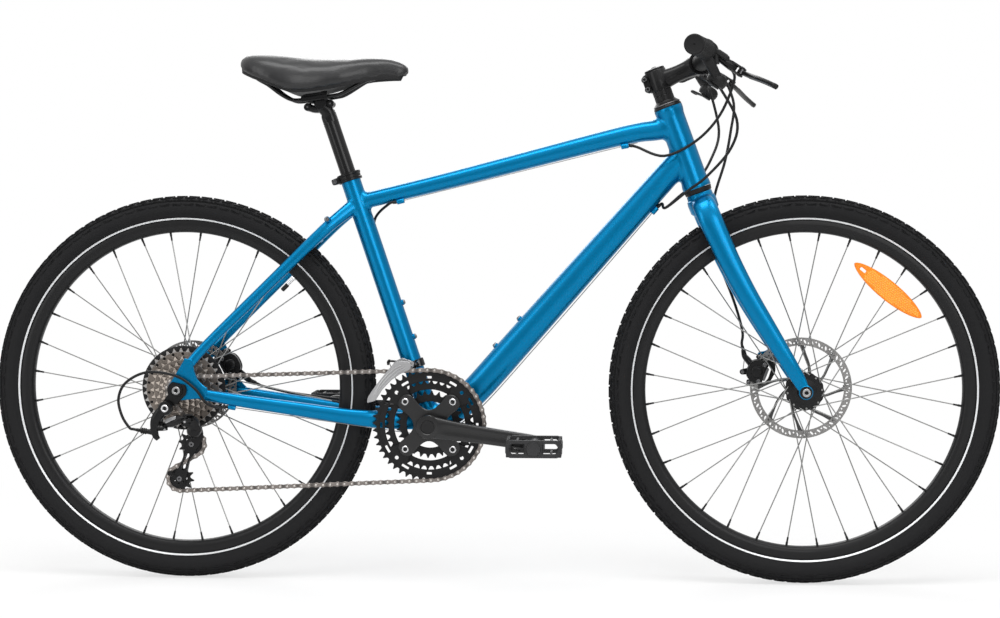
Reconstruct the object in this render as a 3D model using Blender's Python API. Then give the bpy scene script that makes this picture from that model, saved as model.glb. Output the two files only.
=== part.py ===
"""Flat-bar bicycle with disc brakes and a triple crankset, each physical piece its own object at real size.

Metres. +X is forward, +Y is the rider's left, +Z is up. The origin is on the ground, halfway between the wheels.
"""
import math

import bmesh
import bpy
from mathutils import Matrix, Vector
from mathutils.geometry import tessellate_polygon

MM = 0.001
TURN = 2 * math.pi
GAP = 0.3 * MM  # clearance between pieces that seat on each other
FLAT_ANGLE = math.radians(0.3)

# Stance: wheels, frame angles and lengths
WHEELBASE = 1097 * MM
BEAD_SEAT_RADIUS = 292 * MM
TYRE_WIDTH = 50 * MM
CHAINSTAY_LENGTH = 446 * MM
BOTTOM_BRACKET_DROP = 61 * MM
SEAT_ANGLE = math.radians(71.4)
SEAT_TUBE_LENGTH = 465 * MM
HEAD_ANGLE = math.radians(69.9)
FORK_RAKE = 54 * MM
FORK_LENGTH = 388 * MM  # from the axle's height to the crown race, along the steering axis
LOWER_STACK = 9 * MM
HEAD_TUBE_LENGTH = 150 * MM
REAR_SPACING = 135 * MM
FRONT_SPACING = 100 * MM

# Tubes
HEAD_TUBE_RADIUS = 23.5 * MM
CUP_SEAT_RADIUS = 18.2 * MM
SEAT_TUBE_RADIUS = 17.5 * MM
POST_RADIUS = 13.6 * MM
POST_BORE_DEPTH = 350 * MM
SHELL_RADIUS = 20.5 * MM
SHELL_WIDTH = 68 * MM
CARTRIDGE_RADIUS = 17 * MM
STEERER_RADIUS = 14.3 * MM
DROPOUT_THICKNESS = 7 * MM
AXLE_RADIUS = 4.8 * MM

# Wheels
RIM_FLANGE_HEIGHT = 6 * MM
RIM_DEPTH = 21.5 * MM
RIM_HALF_WIDTH = 13 * MM
RIM_WELL_DEPTH = 9 * MM
WELL_HALF_WIDTH = 9.5 * MM
WHEEL_STEPS = 32
HUB_STEPS = 12
SPOKE_COUNT = 32
SPOKE_RADIUS = 1.1 * MM
SPOKE_OFFSET = 1.9 * MM
HUB_FLANGE_HALF = 1.6 * MM
SPOKE_CROSS_HOLES = 3
ROTOR_THICKNESS = 2 * MM
FRONT_ROTOR_RADIUS = 90 * MM
REAR_ROTOR_RADIUS = 80 * MM
ROTOR_BAND = 15 * MM
ROTOR_ARMS = 6

# Drive
CHAIN_PITCH = 12.7 * MM
CHAIN_PITCHES = 116
CHAIN_HEIGHT = 8.4 * MM
CHAIN_INNER_HALF = 1.7 * MM
CHAIN_OUTER_HALF = 3.3 * MM
ROLLER_RADIUS = 3.4 * MM
ROLLER_EVERY = 4
TOOTH_THICKNESS = 1.6 * MM
RING_TEETH = (48, 38, 28)
RING_SPACING = 7 * MM
OUTER_RING_Y = -54.5 * MM
COG_TEETH = (11, 13, 15, 18, 22, 27, 34)
COG_SPACING = 5 * MM
SMALL_COG_Y = -62 * MM
PULLEY_TEETH = 11
CRANK_LENGTH = 190 * MM
CRANK_DROP = math.radians(7.85)
CRANK_INNER_Y = 68 * MM
CRANK_THICKNESS = 14 * MM
SPIDER_BOLT_RADIUS = 59 * MM
SPINDLE_RADIUS = 8 * MM
PEDAL_AXLE_RADIUS = 6 * MM
PEDAL_LENGTH = 95 * MM
PEDAL_WIDTH = 78 * MM
PEDAL_HEIGHT = 30 * MM

# Cockpit
STEM_LENGTH = 80 * MM
STEM_RISE = math.radians(23.8)
STEM_CLAMP_HEIGHT = 36 * MM
SPACER_RADIUS = 17 * MM
COVER_HEIGHT = 13 * MM
SPACER_HEIGHT = 20 * MM
BAR_CLAMP_RADIUS = 15.9 * MM
BAR_RADIUS = 11.1 * MM
BAR_HALF_WIDTH = 310 * MM
GRIP_RADIUS = 16.5 * MM
GRIP_LENGTH = 125 * MM
LEVER_SLOPE = math.radians(33)
PERCH_Y = BAR_HALF_WIDTH - 160 * MM
SHIFTER_Y = BAR_HALF_WIDTH - 138 * MM
HOUSING_RADIUS = 2.4 * MM
WIRE_RADIUS = 0.8 * MM

# Seat
SEAT_HEAD_RADIUS = 11 * MM
RAIL_RADIUS = 3.5 * MM
RAIL_Y = 22 * MM
RAIL_SLOPE = math.radians(7.4)

BLACK_PAINT = ("black_paint", (0.02, 0.02, 0.022), 0.35, 0.3)
BLACK_PLASTIC = ("black_plastic", (0.025, 0.025, 0.027), 0.5, 0.0)
RUBBER = ("rubber", (0.03, 0.03, 0.03), 0.75, 0.0)
VINYL = ("vinyl", (0.035, 0.035, 0.04), 0.45, 0.0)
BLUE = ("blue_paint", (0.0, 0.19, 0.42), 0.25, 0.45)
STEEL = ("steel", (0.55, 0.54, 0.52), 0.35, 1.0)
CHAIN_STEEL = ("chain_steel", (0.33, 0.30, 0.28), 0.4, 1.0)
SILVER = ("silver", (0.75, 0.75, 0.76), 0.3, 1.0)
AMBER = ("amber", (0.9, 0.25, 0.02), 0.2, 0.0)

TYRE_RADIUS = BEAD_SEAT_RADIUS + TYRE_WIDTH
RIM_OUTER_RADIUS = BEAD_SEAT_RADIUS + RIM_FLANGE_HEIGHT
RIM_INNER_RADIUS = RIM_OUTER_RADIUS - RIM_DEPTH
REAR_AXLE = Vector((-WHEELBASE / 2, 0, TYRE_RADIUS))
FRONT_AXLE = Vector((WHEELBASE / 2, 0, TYRE_RADIUS))
BOTTOM_BRACKET = REAR_AXLE + Vector(
    (math.sqrt(CHAINSTAY_LENGTH**2 - BOTTOM_BRACKET_DROP**2), 0, -BOTTOM_BRACKET_DROP)
)
SEAT_UP = Vector((-math.cos(SEAT_ANGLE), 0, math.sin(SEAT_ANGLE)))
STEER_UP = Vector((-math.cos(HEAD_ANGLE), 0, math.sin(HEAD_ANGLE)))
STEER_FORWARD = Vector((math.sin(HEAD_ANGLE), 0, math.cos(HEAD_ANGLE)))
STEER_FOOT = FRONT_AXLE - STEER_FORWARD * FORK_RAKE
LEFT = Vector((0, 1, 0))
UP = Vector((0, 0, 1))


def on_steering(height, forward=0.0, y=0.0):
    """A point from its height along the steering axis, its distance ahead of the axis and its side."""
    return STEER_FOOT + STEER_UP * height + STEER_FORWARD * forward + LEFT * y


def on_seat_tube(height, back=0.0, y=0.0):
    """A point from its height along the seat tube, its distance behind the axis and its side."""
    behind = Vector((-math.sin(SEAT_ANGLE), 0, -math.cos(SEAT_ANGLE)))
    return BOTTOM_BRACKET + SEAT_UP * height + behind * back + LEFT * y


def at(x, z, y=0.0):
    """A point from millimetres forward, up and to the left, as measured with the wheels 1097 mm apart.

    A longer wheelbase moves the rear end and the front end apart and stretches the tubes between them.
    """
    spread = (WHEELBASE / MM - 1097) / 2
    share = min(max((x + 108) / 398, 0), 1)
    return Vector((x + spread * (2 * share - 1), y, z)) * MM


def drawn(line):
    """An outline of points drawn in millimetres, as pairs forward and up."""
    return [(p.x, p.z) for p in (at(x, z) for x, z in line)]


def step(x, z, y=0.0):
    """A shift from millimetres forward, up and to the left."""
    return Vector((x, y, z)) * MM


SEAT_HEAD = at(-303, 847)


HEAD_BOTTOM = FORK_LENGTH + LOWER_STACK
HEAD_TOP = HEAD_BOTTOM + HEAD_TUBE_LENGTH
COVER_TOP = HEAD_TOP + COVER_HEIGHT
STEM_BOTTOM = COVER_TOP + SPACER_HEIGHT
STEM_TOP = STEM_BOTTOM + STEM_CLAMP_HEIGHT
STEM_ROOT = on_steering(STEM_BOTTOM + 0.42 * STEM_CLAMP_HEIGHT)
STEM_AIM = Vector((math.cos(STEM_RISE), 0, math.sin(STEM_RISE)))
BAR_CENTRE = STEM_ROOT + STEM_AIM * STEM_LENGTH
SEAT_TOP = on_seat_tube(SEAT_TUBE_LENGTH)


# Shape tools

def clear_scene():
    for item in list(bpy.data.objects):
        bpy.data.objects.remove(item, do_unlink=True)


def material(look):
    name, colour, roughness, metallic = look
    found = bpy.data.materials.get(name)
    if found:
        return found
    made = bpy.data.materials.new(name)
    made.use_nodes = True
    shader = made.node_tree.nodes["Principled BSDF"]
    shader.inputs["Base Color"].default_value = (*colour, 1)
    shader.inputs["Roughness"].default_value = roughness
    shader.inputs["Metallic"].default_value = metallic
    return made


def linked(mesh, name="piece"):
    made = bpy.data.objects.new(name, mesh)
    bpy.context.collection.objects.link(made)
    return made


def from_bmesh(bm):
    bmesh.ops.remove_doubles(bm, verts=bm.verts, dist=1e-6)
    bmesh.ops.recalc_face_normals(bm, faces=bm.faces)
    mesh = bpy.data.meshes.new("piece")
    bm.to_mesh(mesh)
    bm.free()
    return linked(mesh)


def axes_matrix(origin, x_axis, y_axis):
    """A matrix whose local X and Y run along the given directions, with Z square to both."""
    x_axis = x_axis.normalized()
    z_axis = x_axis.cross(y_axis).normalized()
    y_axis = z_axis.cross(x_axis)
    turned = Matrix((x_axis, y_axis, z_axis)).transposed().to_4x4()
    return Matrix.Translation(origin) @ turned


def side_plane(y=0.0, origin=Vector((0, 0, 0))):
    """Local X forward and local Y up, so that a plate lies in the bicycle's side view."""
    return axes_matrix(origin + LEFT * y, Vector((1, 0, 0)), UP)


def plate(outline, thickness, place, holes=()):
    """A flat plate of the outline, with holes, centred on the plane of its matrix."""
    loops = [list(outline), *[list(hole) for hole in holes]]
    flat = [[Vector((x, y, 0)) for x, y in loop] for loop in loops]
    points = [p for loop in flat for p in loop]
    bm = bmesh.new()
    low = [bm.verts.new(place @ (p - UP * thickness / 2)) for p in points]
    high = [bm.verts.new(place @ (p + UP * thickness / 2)) for p in points]
    for a, b, c in tessellate_polygon(flat):
        bm.faces.new((low[a], low[b], low[c]))
        bm.faces.new((high[c], high[b], high[a]))
    start = 0
    for loop in flat:
        count = len(loop)
        for i in range(count):
            a, b = start + i, start + (i + 1) % count
            bm.faces.new((low[a], low[b], high[b], high[a]))
        start += count
    return from_bmesh(bm)


def loft(loops, closed=False):
    """A skin over loops of equally many points, with both ends capped or joined to each other."""
    bm = bmesh.new()
    rings = [[bm.verts.new(p) for p in loop] for loop in loops]
    pairs = list(zip(rings, rings[1:]))
    if closed:
        pairs.append((rings[-1], rings[0]))
    for one, other in pairs:
        for i in range(len(one)):
            j = (i + 1) % len(one)
            bm.faces.new((one[i], one[j], other[j], other[i]))
    if not closed:
        bm.faces.new(rings[0])
        bm.faces.new(rings[-1][::-1])
    return from_bmesh(bm)


def oval(centre, across, upward, half_across, half_up, sides=12, power=2.0):
    """A loop of points round a centre: an ellipse at power 2, and a rounder box above it."""
    loop = []
    for i in range(sides):
        c, s = math.cos(TURN * i / sides), math.sin(TURN * i / sides)
        x = math.copysign(abs(c) ** (2 / power), c) * half_across
        y = math.copysign(abs(s) ** (2 / power), s) * half_up
        loop.append(centre + across * x + upward * y)
    return loop


def tube(points, sizes, sides=12, power=2.0, across=LEFT):
    """A tube through the points. Each size is the half width along `across` and the half height square to it."""
    loops = []
    for i, p in enumerate(points):
        before, after = points[max(i - 1, 0)], points[min(i + 1, len(points) - 1)]
        along = (after - before).normalized()
        side = (across - along * across.dot(along)).normalized()
        wide, tall = sizes[i]
        loops.append(oval(p, side, along.cross(side), wide, tall, sides, power))
    return loft(loops)


def round_tube(points, radii, sides=8):
    """A round tube carried along the points without twist, with one radius for each point."""
    loops, side = [], None
    for i, p in enumerate(points):
        before, after = points[max(i - 1, 0)], points[min(i + 1, len(points) - 1)]
        along = (after - before).normalized()
        if side is None:
            side = along.orthogonal()
        side = (side - along * side.dot(along)).normalized()
        loops.append(oval(p, side, along.cross(side), radii[i], radii[i], sides))
    return loft(loops)


def rod(start, end, radius, sides=12, end_radius=None):
    return round_tube([start, end], [radius, radius if end_radius is None else end_radius], sides)


def around(radius, sides):
    """The radius of a many-sided hole whose flats clear a round pin."""
    return (radius + GAP) / math.cos(math.pi / sides)


def slab(start, end, wide, thick, normal):
    """A flat bar from one point to another, of the given width and thickness, facing along the normal."""
    along = end - start
    place = axes_matrix((start + end) / 2, along, normal.cross(along))
    half, side = along.length / 2, wide / 2
    return plate([(-half, -side), (half, -side), (half, side), (-half, side)], thick, place)


def lathe(profile, origin, axis=LEFT, steps=24):
    """A profile of (radius, height along the axis) points, spun a full turn. A ring's profile is a closed loop."""
    side = axis.orthogonal().normalized()
    bm = bmesh.new()
    verts = [bm.verts.new(origin + side * r + axis * h) for r, h in profile]
    solid_of_turn = profile[0][0] == 0
    pairs = list(zip(verts, verts[1:]))
    if not solid_of_turn:
        pairs.append((verts[-1], verts[0]))
    edges = [bm.edges.new(pair) for pair in pairs]
    bmesh.ops.spin(bm, geom=verts + edges, cent=origin, axis=axis, angle=TURN, steps=steps, use_merge=True)
    return from_bmesh(bm)


def baked(item):
    """The object with its modifiers applied, as plain mesh."""
    graph = bpy.context.evaluated_depsgraph_get()
    mesh = bpy.data.meshes.new_from_object(item.evaluated_get(graph))
    item.modifiers.clear()
    item.data = mesh
    return item


def boolean(item, others, operation, solver="EXACT"):
    """Joins other solids to the item or cuts them from it, and removes them."""
    if not others:
        return item
    helpers = bpy.data.collections.new("helpers")
    bpy.context.scene.collection.children.link(helpers)
    for other in others:
        bpy.context.collection.objects.unlink(other)
        helpers.objects.link(other)
    change = item.modifiers.new(operation.lower(), "BOOLEAN")
    change.operation = operation
    change.solver = solver
    change.operand_type = "COLLECTION"
    change.collection = helpers
    baked(item)
    for other in others:
        bpy.data.objects.remove(other, do_unlink=True)
    bpy.data.collections.remove(helpers)
    return item


def flattened(item):
    """The object with the flat faces that booleans split made whole again."""
    bm = bmesh.new()
    bm.from_mesh(item.data)
    bmesh.ops.dissolve_limit(bm, angle_limit=FLAT_ANGLE, verts=bm.verts, edges=bm.edges)
    bm.to_mesh(item.data)
    bm.free()
    return item


def node(name, look, add, cut=(), flat=False, solver="EXACT"):
    """One finished piece: its shapes joined, its cuts taken away, named and given its material."""
    first, *rest = add
    boolean(first, rest, "UNION", solver)
    boolean(first, list(cut), "DIFFERENCE", solver)
    if flat:
        flattened(first)
    first.name = name
    first.data.name = name
    first.data.materials.clear()
    first.data.materials.append(material(look))
    first.data.shade_smooth()
    first.data.set_sharp_from_angle(angle=math.radians(35))
    return first


def smooth(points, per_span=4):
    """Points on a smooth curve that passes through the given ones."""
    out = []
    ends = [points[0] * 2 - points[1], *points, points[-1] * 2 - points[-2]]
    for i in range(1, len(ends) - 2):
        a, b, c, d = ends[i - 1 : i + 3]
        for k in range(per_span):
            t = k / per_span
            bend = 2 * b + (c - a) * t + (2 * a - 5 * b + 4 * c - d) * t**2
            out.append((bend + (3 * b - a - 3 * c + d) * t**3) / 2)
    return [*out, points[-1]]


def arc(centre, radius, start, end, steps):
    """Points on an arc in a plate's plane, from one angle to another in degrees."""
    cx, cy = centre
    found = []
    for i in range(steps + 1):
        angle = math.radians(start + (end - start) * i / steps)
        found.append((cx + radius * math.cos(angle), cy + radius * math.sin(angle)))
    return found


def circle(centre, radius, steps=12):
    return arc(centre, radius, 0, 360 * (1 - 1 / steps), steps - 1)


# Frame

def raised(run):
    """A tube's stations, measured on a 465 mm seat tube. With a longer one, the end on it rises."""
    rise = SEAT_UP * (SEAT_TUBE_LENGTH / MM - 465)
    joint, fixed = run[0][0], run[-1][0]
    found = []
    for x, z, *rest in run:
        share = (x - fixed) / (joint - fixed)
        found.append((x + rise.x * share, z + rise.z * share, *rest))
    return found


# Each run lists its tube's stations: forward, up, left, half width and half height in mm
CHAINSTAY_RUN = (
    (-112, 283, 16, 8, 14),
    (-165, 286, 28, 7.5, 15),
    (-208, 290, 41, 8, 15),
    (-260, 296, 46, 9, 13.5),
    (-440, 323, 61, 8.5, 11),
    (-505, 334, 68, 6, 9.5),
    (-530, 338, 71, 3.4, 9),
)
SEATSTAY_RUN = raised((
    (-242, 668, 7, 9, 13),
    (-268, 646, 20, 9, 11.5),
    (-300, 617, 33, 8.5, 10.5),
    (-490, 430, 62, 7, 8.5),
    (-525, 391, 69, 5.5, 8.5),
    (-536, 374, 71, 3.4, 8.5),
))
TOP_TUBE_RUN = raised((
    (-246, 670, 0, 14, 14),
    (-217, 676.5, 0, 14, 14),
    (-56.6, 715.5, 0, 15, 14.5),
    (215.8, 785, 0, 17, 16.5),
    (289, 798, 0, 17.5, 18),
    (318, 803, 0, 18, 19),
))
DOWN_TUBE_RUN = (
    (-104, 283, 0, 20, 20),
    (-75, 298, 0, 21, 24),
    (-30, 337, 0, 21.5, 25.5),
    (66.4, 445.8, 0, 22, 25.5),
    (285, 693, 0, 21, 22.5),
    (338, 752, 0, 20, 22),
)
STOP_RADIUS = 4.6 * MM
STOP_BORE = 3 * MM
STOP_LIFT = 3.1 * MM
STOP_LENGTH = 13 * MM
STOP_TURN = math.radians(30)
BOSS_RADIUS = 5 * MM
BOSS_HEIGHT = 3 * MM
BOSS_SPACING = 64 * MM
DOWN_TUBE_BOSSES = (26.4, 68.8)  # places forward, in mm
RACK_BOSS = -286
TOP_STOPS = (231, -165)  # each stop's place forward, in mm
DOWN_STOP = 268
REAR_STOP = -452


def frame_tube(run, side=1, sides=12, power=2.4):
    points = [at(x, z, side * y) for x, z, y, *_ in run]
    return tube(points, [(w * MM, h * MM) for *_, w, h in run], sides=sides, power=power)


def under_tube(run, x, turn=0.0, lift=0.0, side=1):
    """A point on a tube's skin at x mm and the tube's heading, turned from its underside towards the right."""
    for here, after in zip(run, run[1:]):
        if min(here[0], after[0]) <= x <= max(here[0], after[0]):
            break
    share = (x - here[0]) / (after[0] - here[0])
    _, z, y, wide, tall = (p + (q - p) * share for p, q in zip(here, after))
    along = (at(after[0], after[1], side * after[2]) - at(here[0], here[1], side * here[2])).normalized()
    along *= 1 if along.x > 0 else -1
    down = LEFT.cross(along)
    out = -LEFT * math.sin(turn) * (wide * MM + lift) + down * math.cos(turn) * (tall * MM + lift)
    return at(x, z, side * y) + out, along


def top_stop(number):
    return under_tube(TOP_TUBE_RUN, TOP_STOPS[number], STOP_TURN, STOP_LIFT + 1 * MM)


def down_stop(side):
    return under_tube(DOWN_TUBE_RUN, DOWN_STOP, -side * STOP_TURN / 2, STOP_LIFT)


def rear_stop():
    return under_tube(CHAINSTAY_RUN, REAR_STOP, 0, STOP_LIFT, side=-1)


def cable_stop(point, along):
    """A drilled barrel brazed on a tube, and the cutter of its hole."""
    reach = along * STOP_LENGTH / 2
    barrel = rod(point - reach, point + reach, STOP_RADIUS, sides=6)
    hole = rod(point - reach * 1.5, point + reach * 1.5, STOP_BORE, sides=6)
    return barrel, hole


def dropout(side):
    """The plate at a stay end: a rounded shape round the axle with an open slot below it."""
    ax, az = -548.5, TYRE_RADIUS / MM
    y = side * (REAR_SPACING / 2 + GAP + DROPOUT_THICKNESS / 2)
    outline = [
        (-500, 326), (-495, 345), (-505, 352), (-514, 362), (-519, 376), (-522, 396), (-538, 398),
        *arc((ax, az), 18, 132, 250, 6),
        (-545, 324), (-525, 326),
    ]
    opening = [*arc((ax, az), 5.2, -20, 160, 6), (ax - 12, az - 26), (ax - 2, az - 30)]
    body = plate(drawn(outline), DROPOUT_THICKNESS, side_plane(y))
    return body, plate(drawn(opening), DROPOUT_THICKNESS * 2, side_plane(y))


REAR_TAB_Y = 64.6 * MM
TAB_THICKNESS = 5 * MM


def head_tube():
    """The head tube with a thicker lip at each end, and its bore."""
    lip, whole = 1.6 * MM, HEAD_TUBE_LENGTH
    profile = [(0, 0), (HEAD_TUBE_RADIUS + lip, 0), (HEAD_TUBE_RADIUS, 14 * MM), (HEAD_TUBE_RADIUS, whole - 14 * MM),
               (HEAD_TUBE_RADIUS + lip, whole), (0, whole)]
    base = on_steering(HEAD_BOTTOM)
    bore = rod(base - STEER_UP * 5 * MM, base + STEER_UP * (whole + 5 * MM), around(CUP_SEAT_RADIUS, 16), sides=16)
    return lathe(profile, base, STEER_UP, steps=16), bore


def seat_tube():
    """The seat tube with the post's bore and the slit that the collar closes."""
    outside = rod(BOTTOM_BRACKET, SEAT_TOP, SEAT_TUBE_RADIUS, sides=14)
    bottom = on_seat_tube(SEAT_TUBE_LENGTH - POST_BORE_DEPTH)
    bore = rod(bottom, on_seat_tube(SEAT_TUBE_LENGTH + 5 * MM), around(POST_RADIUS, 14), sides=14)
    half, deep = 1 * MM, 30 * MM
    back = axes_matrix(SEAT_TOP, SEAT_UP, LEFT)
    slit = plate([(-deep, -half), (deep, -half), (deep, half), (-deep, half)], 40 * MM,
                 back @ Matrix.Translation((0, 0, 20 * MM)))
    return outside, bore, slit


def bridge(run, x):
    """A round bridge between both stays of a pair."""
    ends = []
    for side in (1, -1):
        ends.append(under_tube(run, x, lift=-10 * MM, side=side)[0])
    return rod(*ends, 6.5 * MM, sides=8)


UPPER_TAB = ((-522, 398), (-512, 412), (-500, 421), (-491, 414), (-484, 396), (-497, 380), (-507, 388))
LOWER_TAB = ((-500, 331), (-492, 350), (-486, 362), (-468, 364), (-466, 350), (-455, 338), (-444, 328), (-470, 322))


def frame():
    half = LEFT * SHELL_WIDTH / 2
    shell = rod(BOTTOM_BRACKET - half, BOTTOM_BRACKET + half, SHELL_RADIUS, sides=14)
    shell_bore = rod(BOTTOM_BRACKET - half * 1.2, BOTTOM_BRACKET + half * 1.2, around(CARTRIDGE_RADIUS, 12), sides=12)
    head, head_bore = head_tube()
    upright, post_bore, slit = seat_tube()
    add = [upright, head, frame_tube(TOP_TUBE_RUN), frame_tube(DOWN_TUBE_RUN)]
    cut = [head_bore, post_bore, slit, shell_bore]
    for side in (1, -1):
        body, slot = dropout(side)
        add += [frame_tube(CHAINSTAY_RUN, side, sides=8), frame_tube(SEATSTAY_RUN, side, sides=8), body]
        cut.append(slot)
        add.append(rack_boss(side))
    add += [bridge(CHAINSTAY_RUN, -190), bridge(SEATSTAY_RUN, -310)]
    for point, along in (top_stop(0), top_stop(1), down_stop(1), down_stop(-1), rear_stop()):
        barrel, hole = cable_stop(point, along)
        add.append(barrel)
        cut.append(hole)
    for root, aim in bottle_bosses():
        add.append(rod(root - aim * 8 * MM, root, BOSS_RADIUS, sides=6))
    for line in (UPPER_TAB, LOWER_TAB):
        add.append(plate(drawn(line), TAB_THICKNESS, side_plane(REAR_TAB_Y)))
    return node("frame", BLUE, [shell, *add], cut)


def rack_boss(side):
    """The threaded boss on the outside of a seatstay."""
    quarter = -side * math.pi / 2
    inside = under_tube(SEATSTAY_RUN, RACK_BOSS, quarter, -4 * MM, side)[0]
    return rod(inside, under_tube(SEATSTAY_RUN, RACK_BOSS, quarter, 7 * MM, side)[0], BOSS_RADIUS, sides=6)


def bottle_bosses():
    """The top point and direction of each bottle boss: two on the down tube and two on the seat tube."""
    out_of_seat_tube = Vector((math.sin(SEAT_ANGLE), 0, math.cos(SEAT_ANGLE)))
    found = []
    for x in DOWN_TUBE_BOSSES:
        top, along = under_tube(DOWN_TUBE_RUN, x, math.pi, BOSS_HEIGHT)
        found.append((top, along.cross(LEFT)))
    for height in (155 * MM, 155 * MM + BOSS_SPACING):
        found.append((on_seat_tube(height, back=-(SEAT_TUBE_RADIUS + BOSS_HEIGHT)), out_of_seat_tube))
    return found


def headset_cup(name, base, aim):
    """A bearing cup pressed into the head tube, whose rim stands outside it."""
    seat = CUP_SEAT_RADIUS
    rim = LOWER_STACK - 2 * GAP
    bore = around(STEERER_RADIUS, 14)
    profile = [(bore, -10 * MM), (seat, -10 * MM), (seat, GAP), (HEAD_TUBE_RADIUS + 1 * MM, GAP),
               (HEAD_TUBE_RADIUS - 1 * MM, rim), (bore, rim)]
    return node(name, BLACK_PAINT, [lathe(profile, base, aim, steps=14)])


def bottom_bracket():
    """The sealed cartridge with a cup at each end of the shell."""
    half, lip = SHELL_WIDTH / 2, 3.5 * MM
    bore, cup = around(SPINDLE_RADIUS, 12), SHELL_RADIUS - 1 * MM
    profile = [(bore, -half - lip), (cup, -half - lip), (cup, -half - GAP), (CARTRIDGE_RADIUS, -half - GAP),
               (CARTRIDGE_RADIUS, half + GAP), (cup, half + GAP), (cup, half + lip), (bore, half + lip)]
    return node("bottom_bracket", BLACK_PAINT, [lathe(profile, BOTTOM_BRACKET, steps=12)])


def seat_clamp():
    """The collar round the top of the seat tube, with its ears and bolt behind."""
    inner, outer, height = around(SEAT_TUBE_RADIUS, 14), SEAT_TUBE_RADIUS + 4 * MM, 15 * MM
    middle = on_seat_tube(SEAT_TUBE_LENGTH - height / 2 + 2 * MM)
    ring = lathe([(inner, -height / 2), (outer, -height / 2), (outer, height / 2), (inner, height / 2)],
                 middle, SEAT_UP, steps=14)
    back = on_seat_tube(0, back=1) - BOTTOM_BRACKET
    bolt_at = middle + back * (outer + 5 * MM)
    ears = slab(middle + back * (outer - 2 * MM), bolt_at + back * 5 * MM, 18 * MM, height - 4 * MM, SEAT_UP)
    slit = slab(middle + back * (inner - 4 * MM), bolt_at + back * 15 * MM, 2 * MM, height * 2, SEAT_UP)
    bolt = rod(bolt_at - LEFT * 12 * MM, bolt_at + LEFT * 12 * MM, 3.4 * MM, sides=6)
    boolean(ring, [ears], "UNION")
    boolean(ring, [slit], "DIFFERENCE")
    return node("seat_clamp", BLACK_PAINT, [ring, bolt], flat=True)


HANGER_BOLT = at(-567, 311.5)
HANGER_THICKNESS = 4 * MM
HANGER_OUTER_Y = REAR_SPACING / 2 + GAP + DROPOUT_THICKNESS + GAP + HANGER_THICKNESS


def derailleur_hanger():
    """The plate that carries the derailleur, outside the right dropout's lower edge."""
    ax, az = REAR_AXLE.x, REAR_AXLE.z
    y = HANGER_THICKNESS / 2 - HANGER_OUTER_Y
    outline = [*arc((ax, az), 17 * MM, 215, 120, 4), *arc((ax, az), 17 * MM, 35, -30, 3),
               (ax + 4 * MM, az - 22 * MM), (HANGER_BOLT.x + 9 * MM, HANGER_BOLT.z + 2 * MM),
               *arc((HANGER_BOLT.x, HANGER_BOLT.z), 9 * MM, -20, -200, 6)]
    hole = circle((ax, az), around(AXLE_RADIUS, 8), 8)
    return node("derailleur_hanger", BLACK_PAINT,
                [plate(outline, HANGER_THICKNESS, side_plane(y), holes=[hole])])


def axle(name, centre, spacing, reach):
    """A solid axle with a flanged nut outside each fork or stay end."""
    half = spacing / 2
    outside = half + GAP + DROPOUT_THICKNESS + GAP
    shaft = rod(centre - LEFT * (half + reach), centre + LEFT * (half + reach), AXLE_RADIUS, sides=8)
    pieces = []
    for side in (1, -1):
        extra = HANGER_THICKNESS + GAP if (side < 0 and name == "rear_axle") else 0
        face = outside + extra
        profile = [(0, face), (10.5 * MM, face), (10.5 * MM, face + 2.5 * MM), (7.5 * MM, face + 2.5 * MM),
                   (7.5 * MM, face + 9 * MM), (0, face + 9 * MM)]
        pieces.append(lathe(profile, centre, LEFT * side, steps=6))
    return node(name, BLACK_PAINT, [shaft, *pieces])


# Wheels

def rim():
    """The rim's section: a flange each side of the tyre's well, and the deep wall inside."""
    flange, wall = RIM_OUTER_RADIUS, RIM_HALF_WIDTH
    side = [(flange, wall), (flange - RIM_WELL_DEPTH, WELL_HALF_WIDTH)]
    return [*side, *[(r, -y) for r, y in reversed(side)], (RIM_INNER_RADIUS, -9 * MM), (RIM_INNER_RADIUS, 9 * MM)]


def wheel_ring(profile, centre):
    """A ring of a wheel, with one of its corners straight below the axle."""
    loops = []
    for i in range(WHEEL_STEPS):
        turn = TURN * (i / WHEEL_STEPS) - TURN / 4
        out = Vector((math.cos(turn), 0, math.sin(turn)))
        loops.append([centre + out * r + LEFT * y for r, y in profile])
    return loft(loops, closed=True)


def spokes(centre, right_y, right_radius, left_y, left_radius):
    """Thirty-two spokes laced three-cross, half of them to each flange."""
    found = []
    hole = TURN * 2 / SPOKE_COUNT
    for i in range(SPOKE_COUNT):
        to_right = i % 2 == 0
        flange_y, flange_radius = (right_y, right_radius) if to_right else (left_y, left_radius)
        lean = 1 if (i // 2) % 2 else -1
        rim_turn = TURN * (i + 0.5) / SPOKE_COUNT
        hub_turn = rim_turn + lean * hole * SPOKE_CROSS_HOLES
        on_rim = centre + Vector((math.cos(rim_turn), 0, math.sin(rim_turn))) * (RIM_INNER_RADIUS + 2 * MM)
        on_hub = centre + Vector((math.cos(hub_turn), 0, math.sin(hub_turn))) * flange_radius
        start = on_hub + LEFT * (flange_y + lean * SPOKE_OFFSET)
        found.append(rod(start, on_rim + LEFT * (flange_y / 12), SPOKE_RADIUS, sides=3))
    return found


def hub(centre, right_end, right_y, right_radius, left_y, left_radius, left_end, body):
    bore = around(AXLE_RADIUS, HUB_STEPS)
    flange = HUB_FLANGE_HALF
    rise = 3.5 * MM
    profile = [
        (bore, right_end), (10 * MM, right_end), (body, right_y - flange), (right_radius + rise, right_y - flange),
        (right_radius + rise, right_y + flange), (body, right_y + flange + 3 * MM), (body, left_y - flange - 3 * MM),
        (left_radius + rise, left_y - flange), (left_radius + rise, left_y + flange), (body, left_y + flange),
        (body, left_end - 8 * MM), (10 * MM, left_end), (bore, left_end),
    ]
    return lathe(profile, centre, LEFT, steps=HUB_STEPS)


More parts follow.
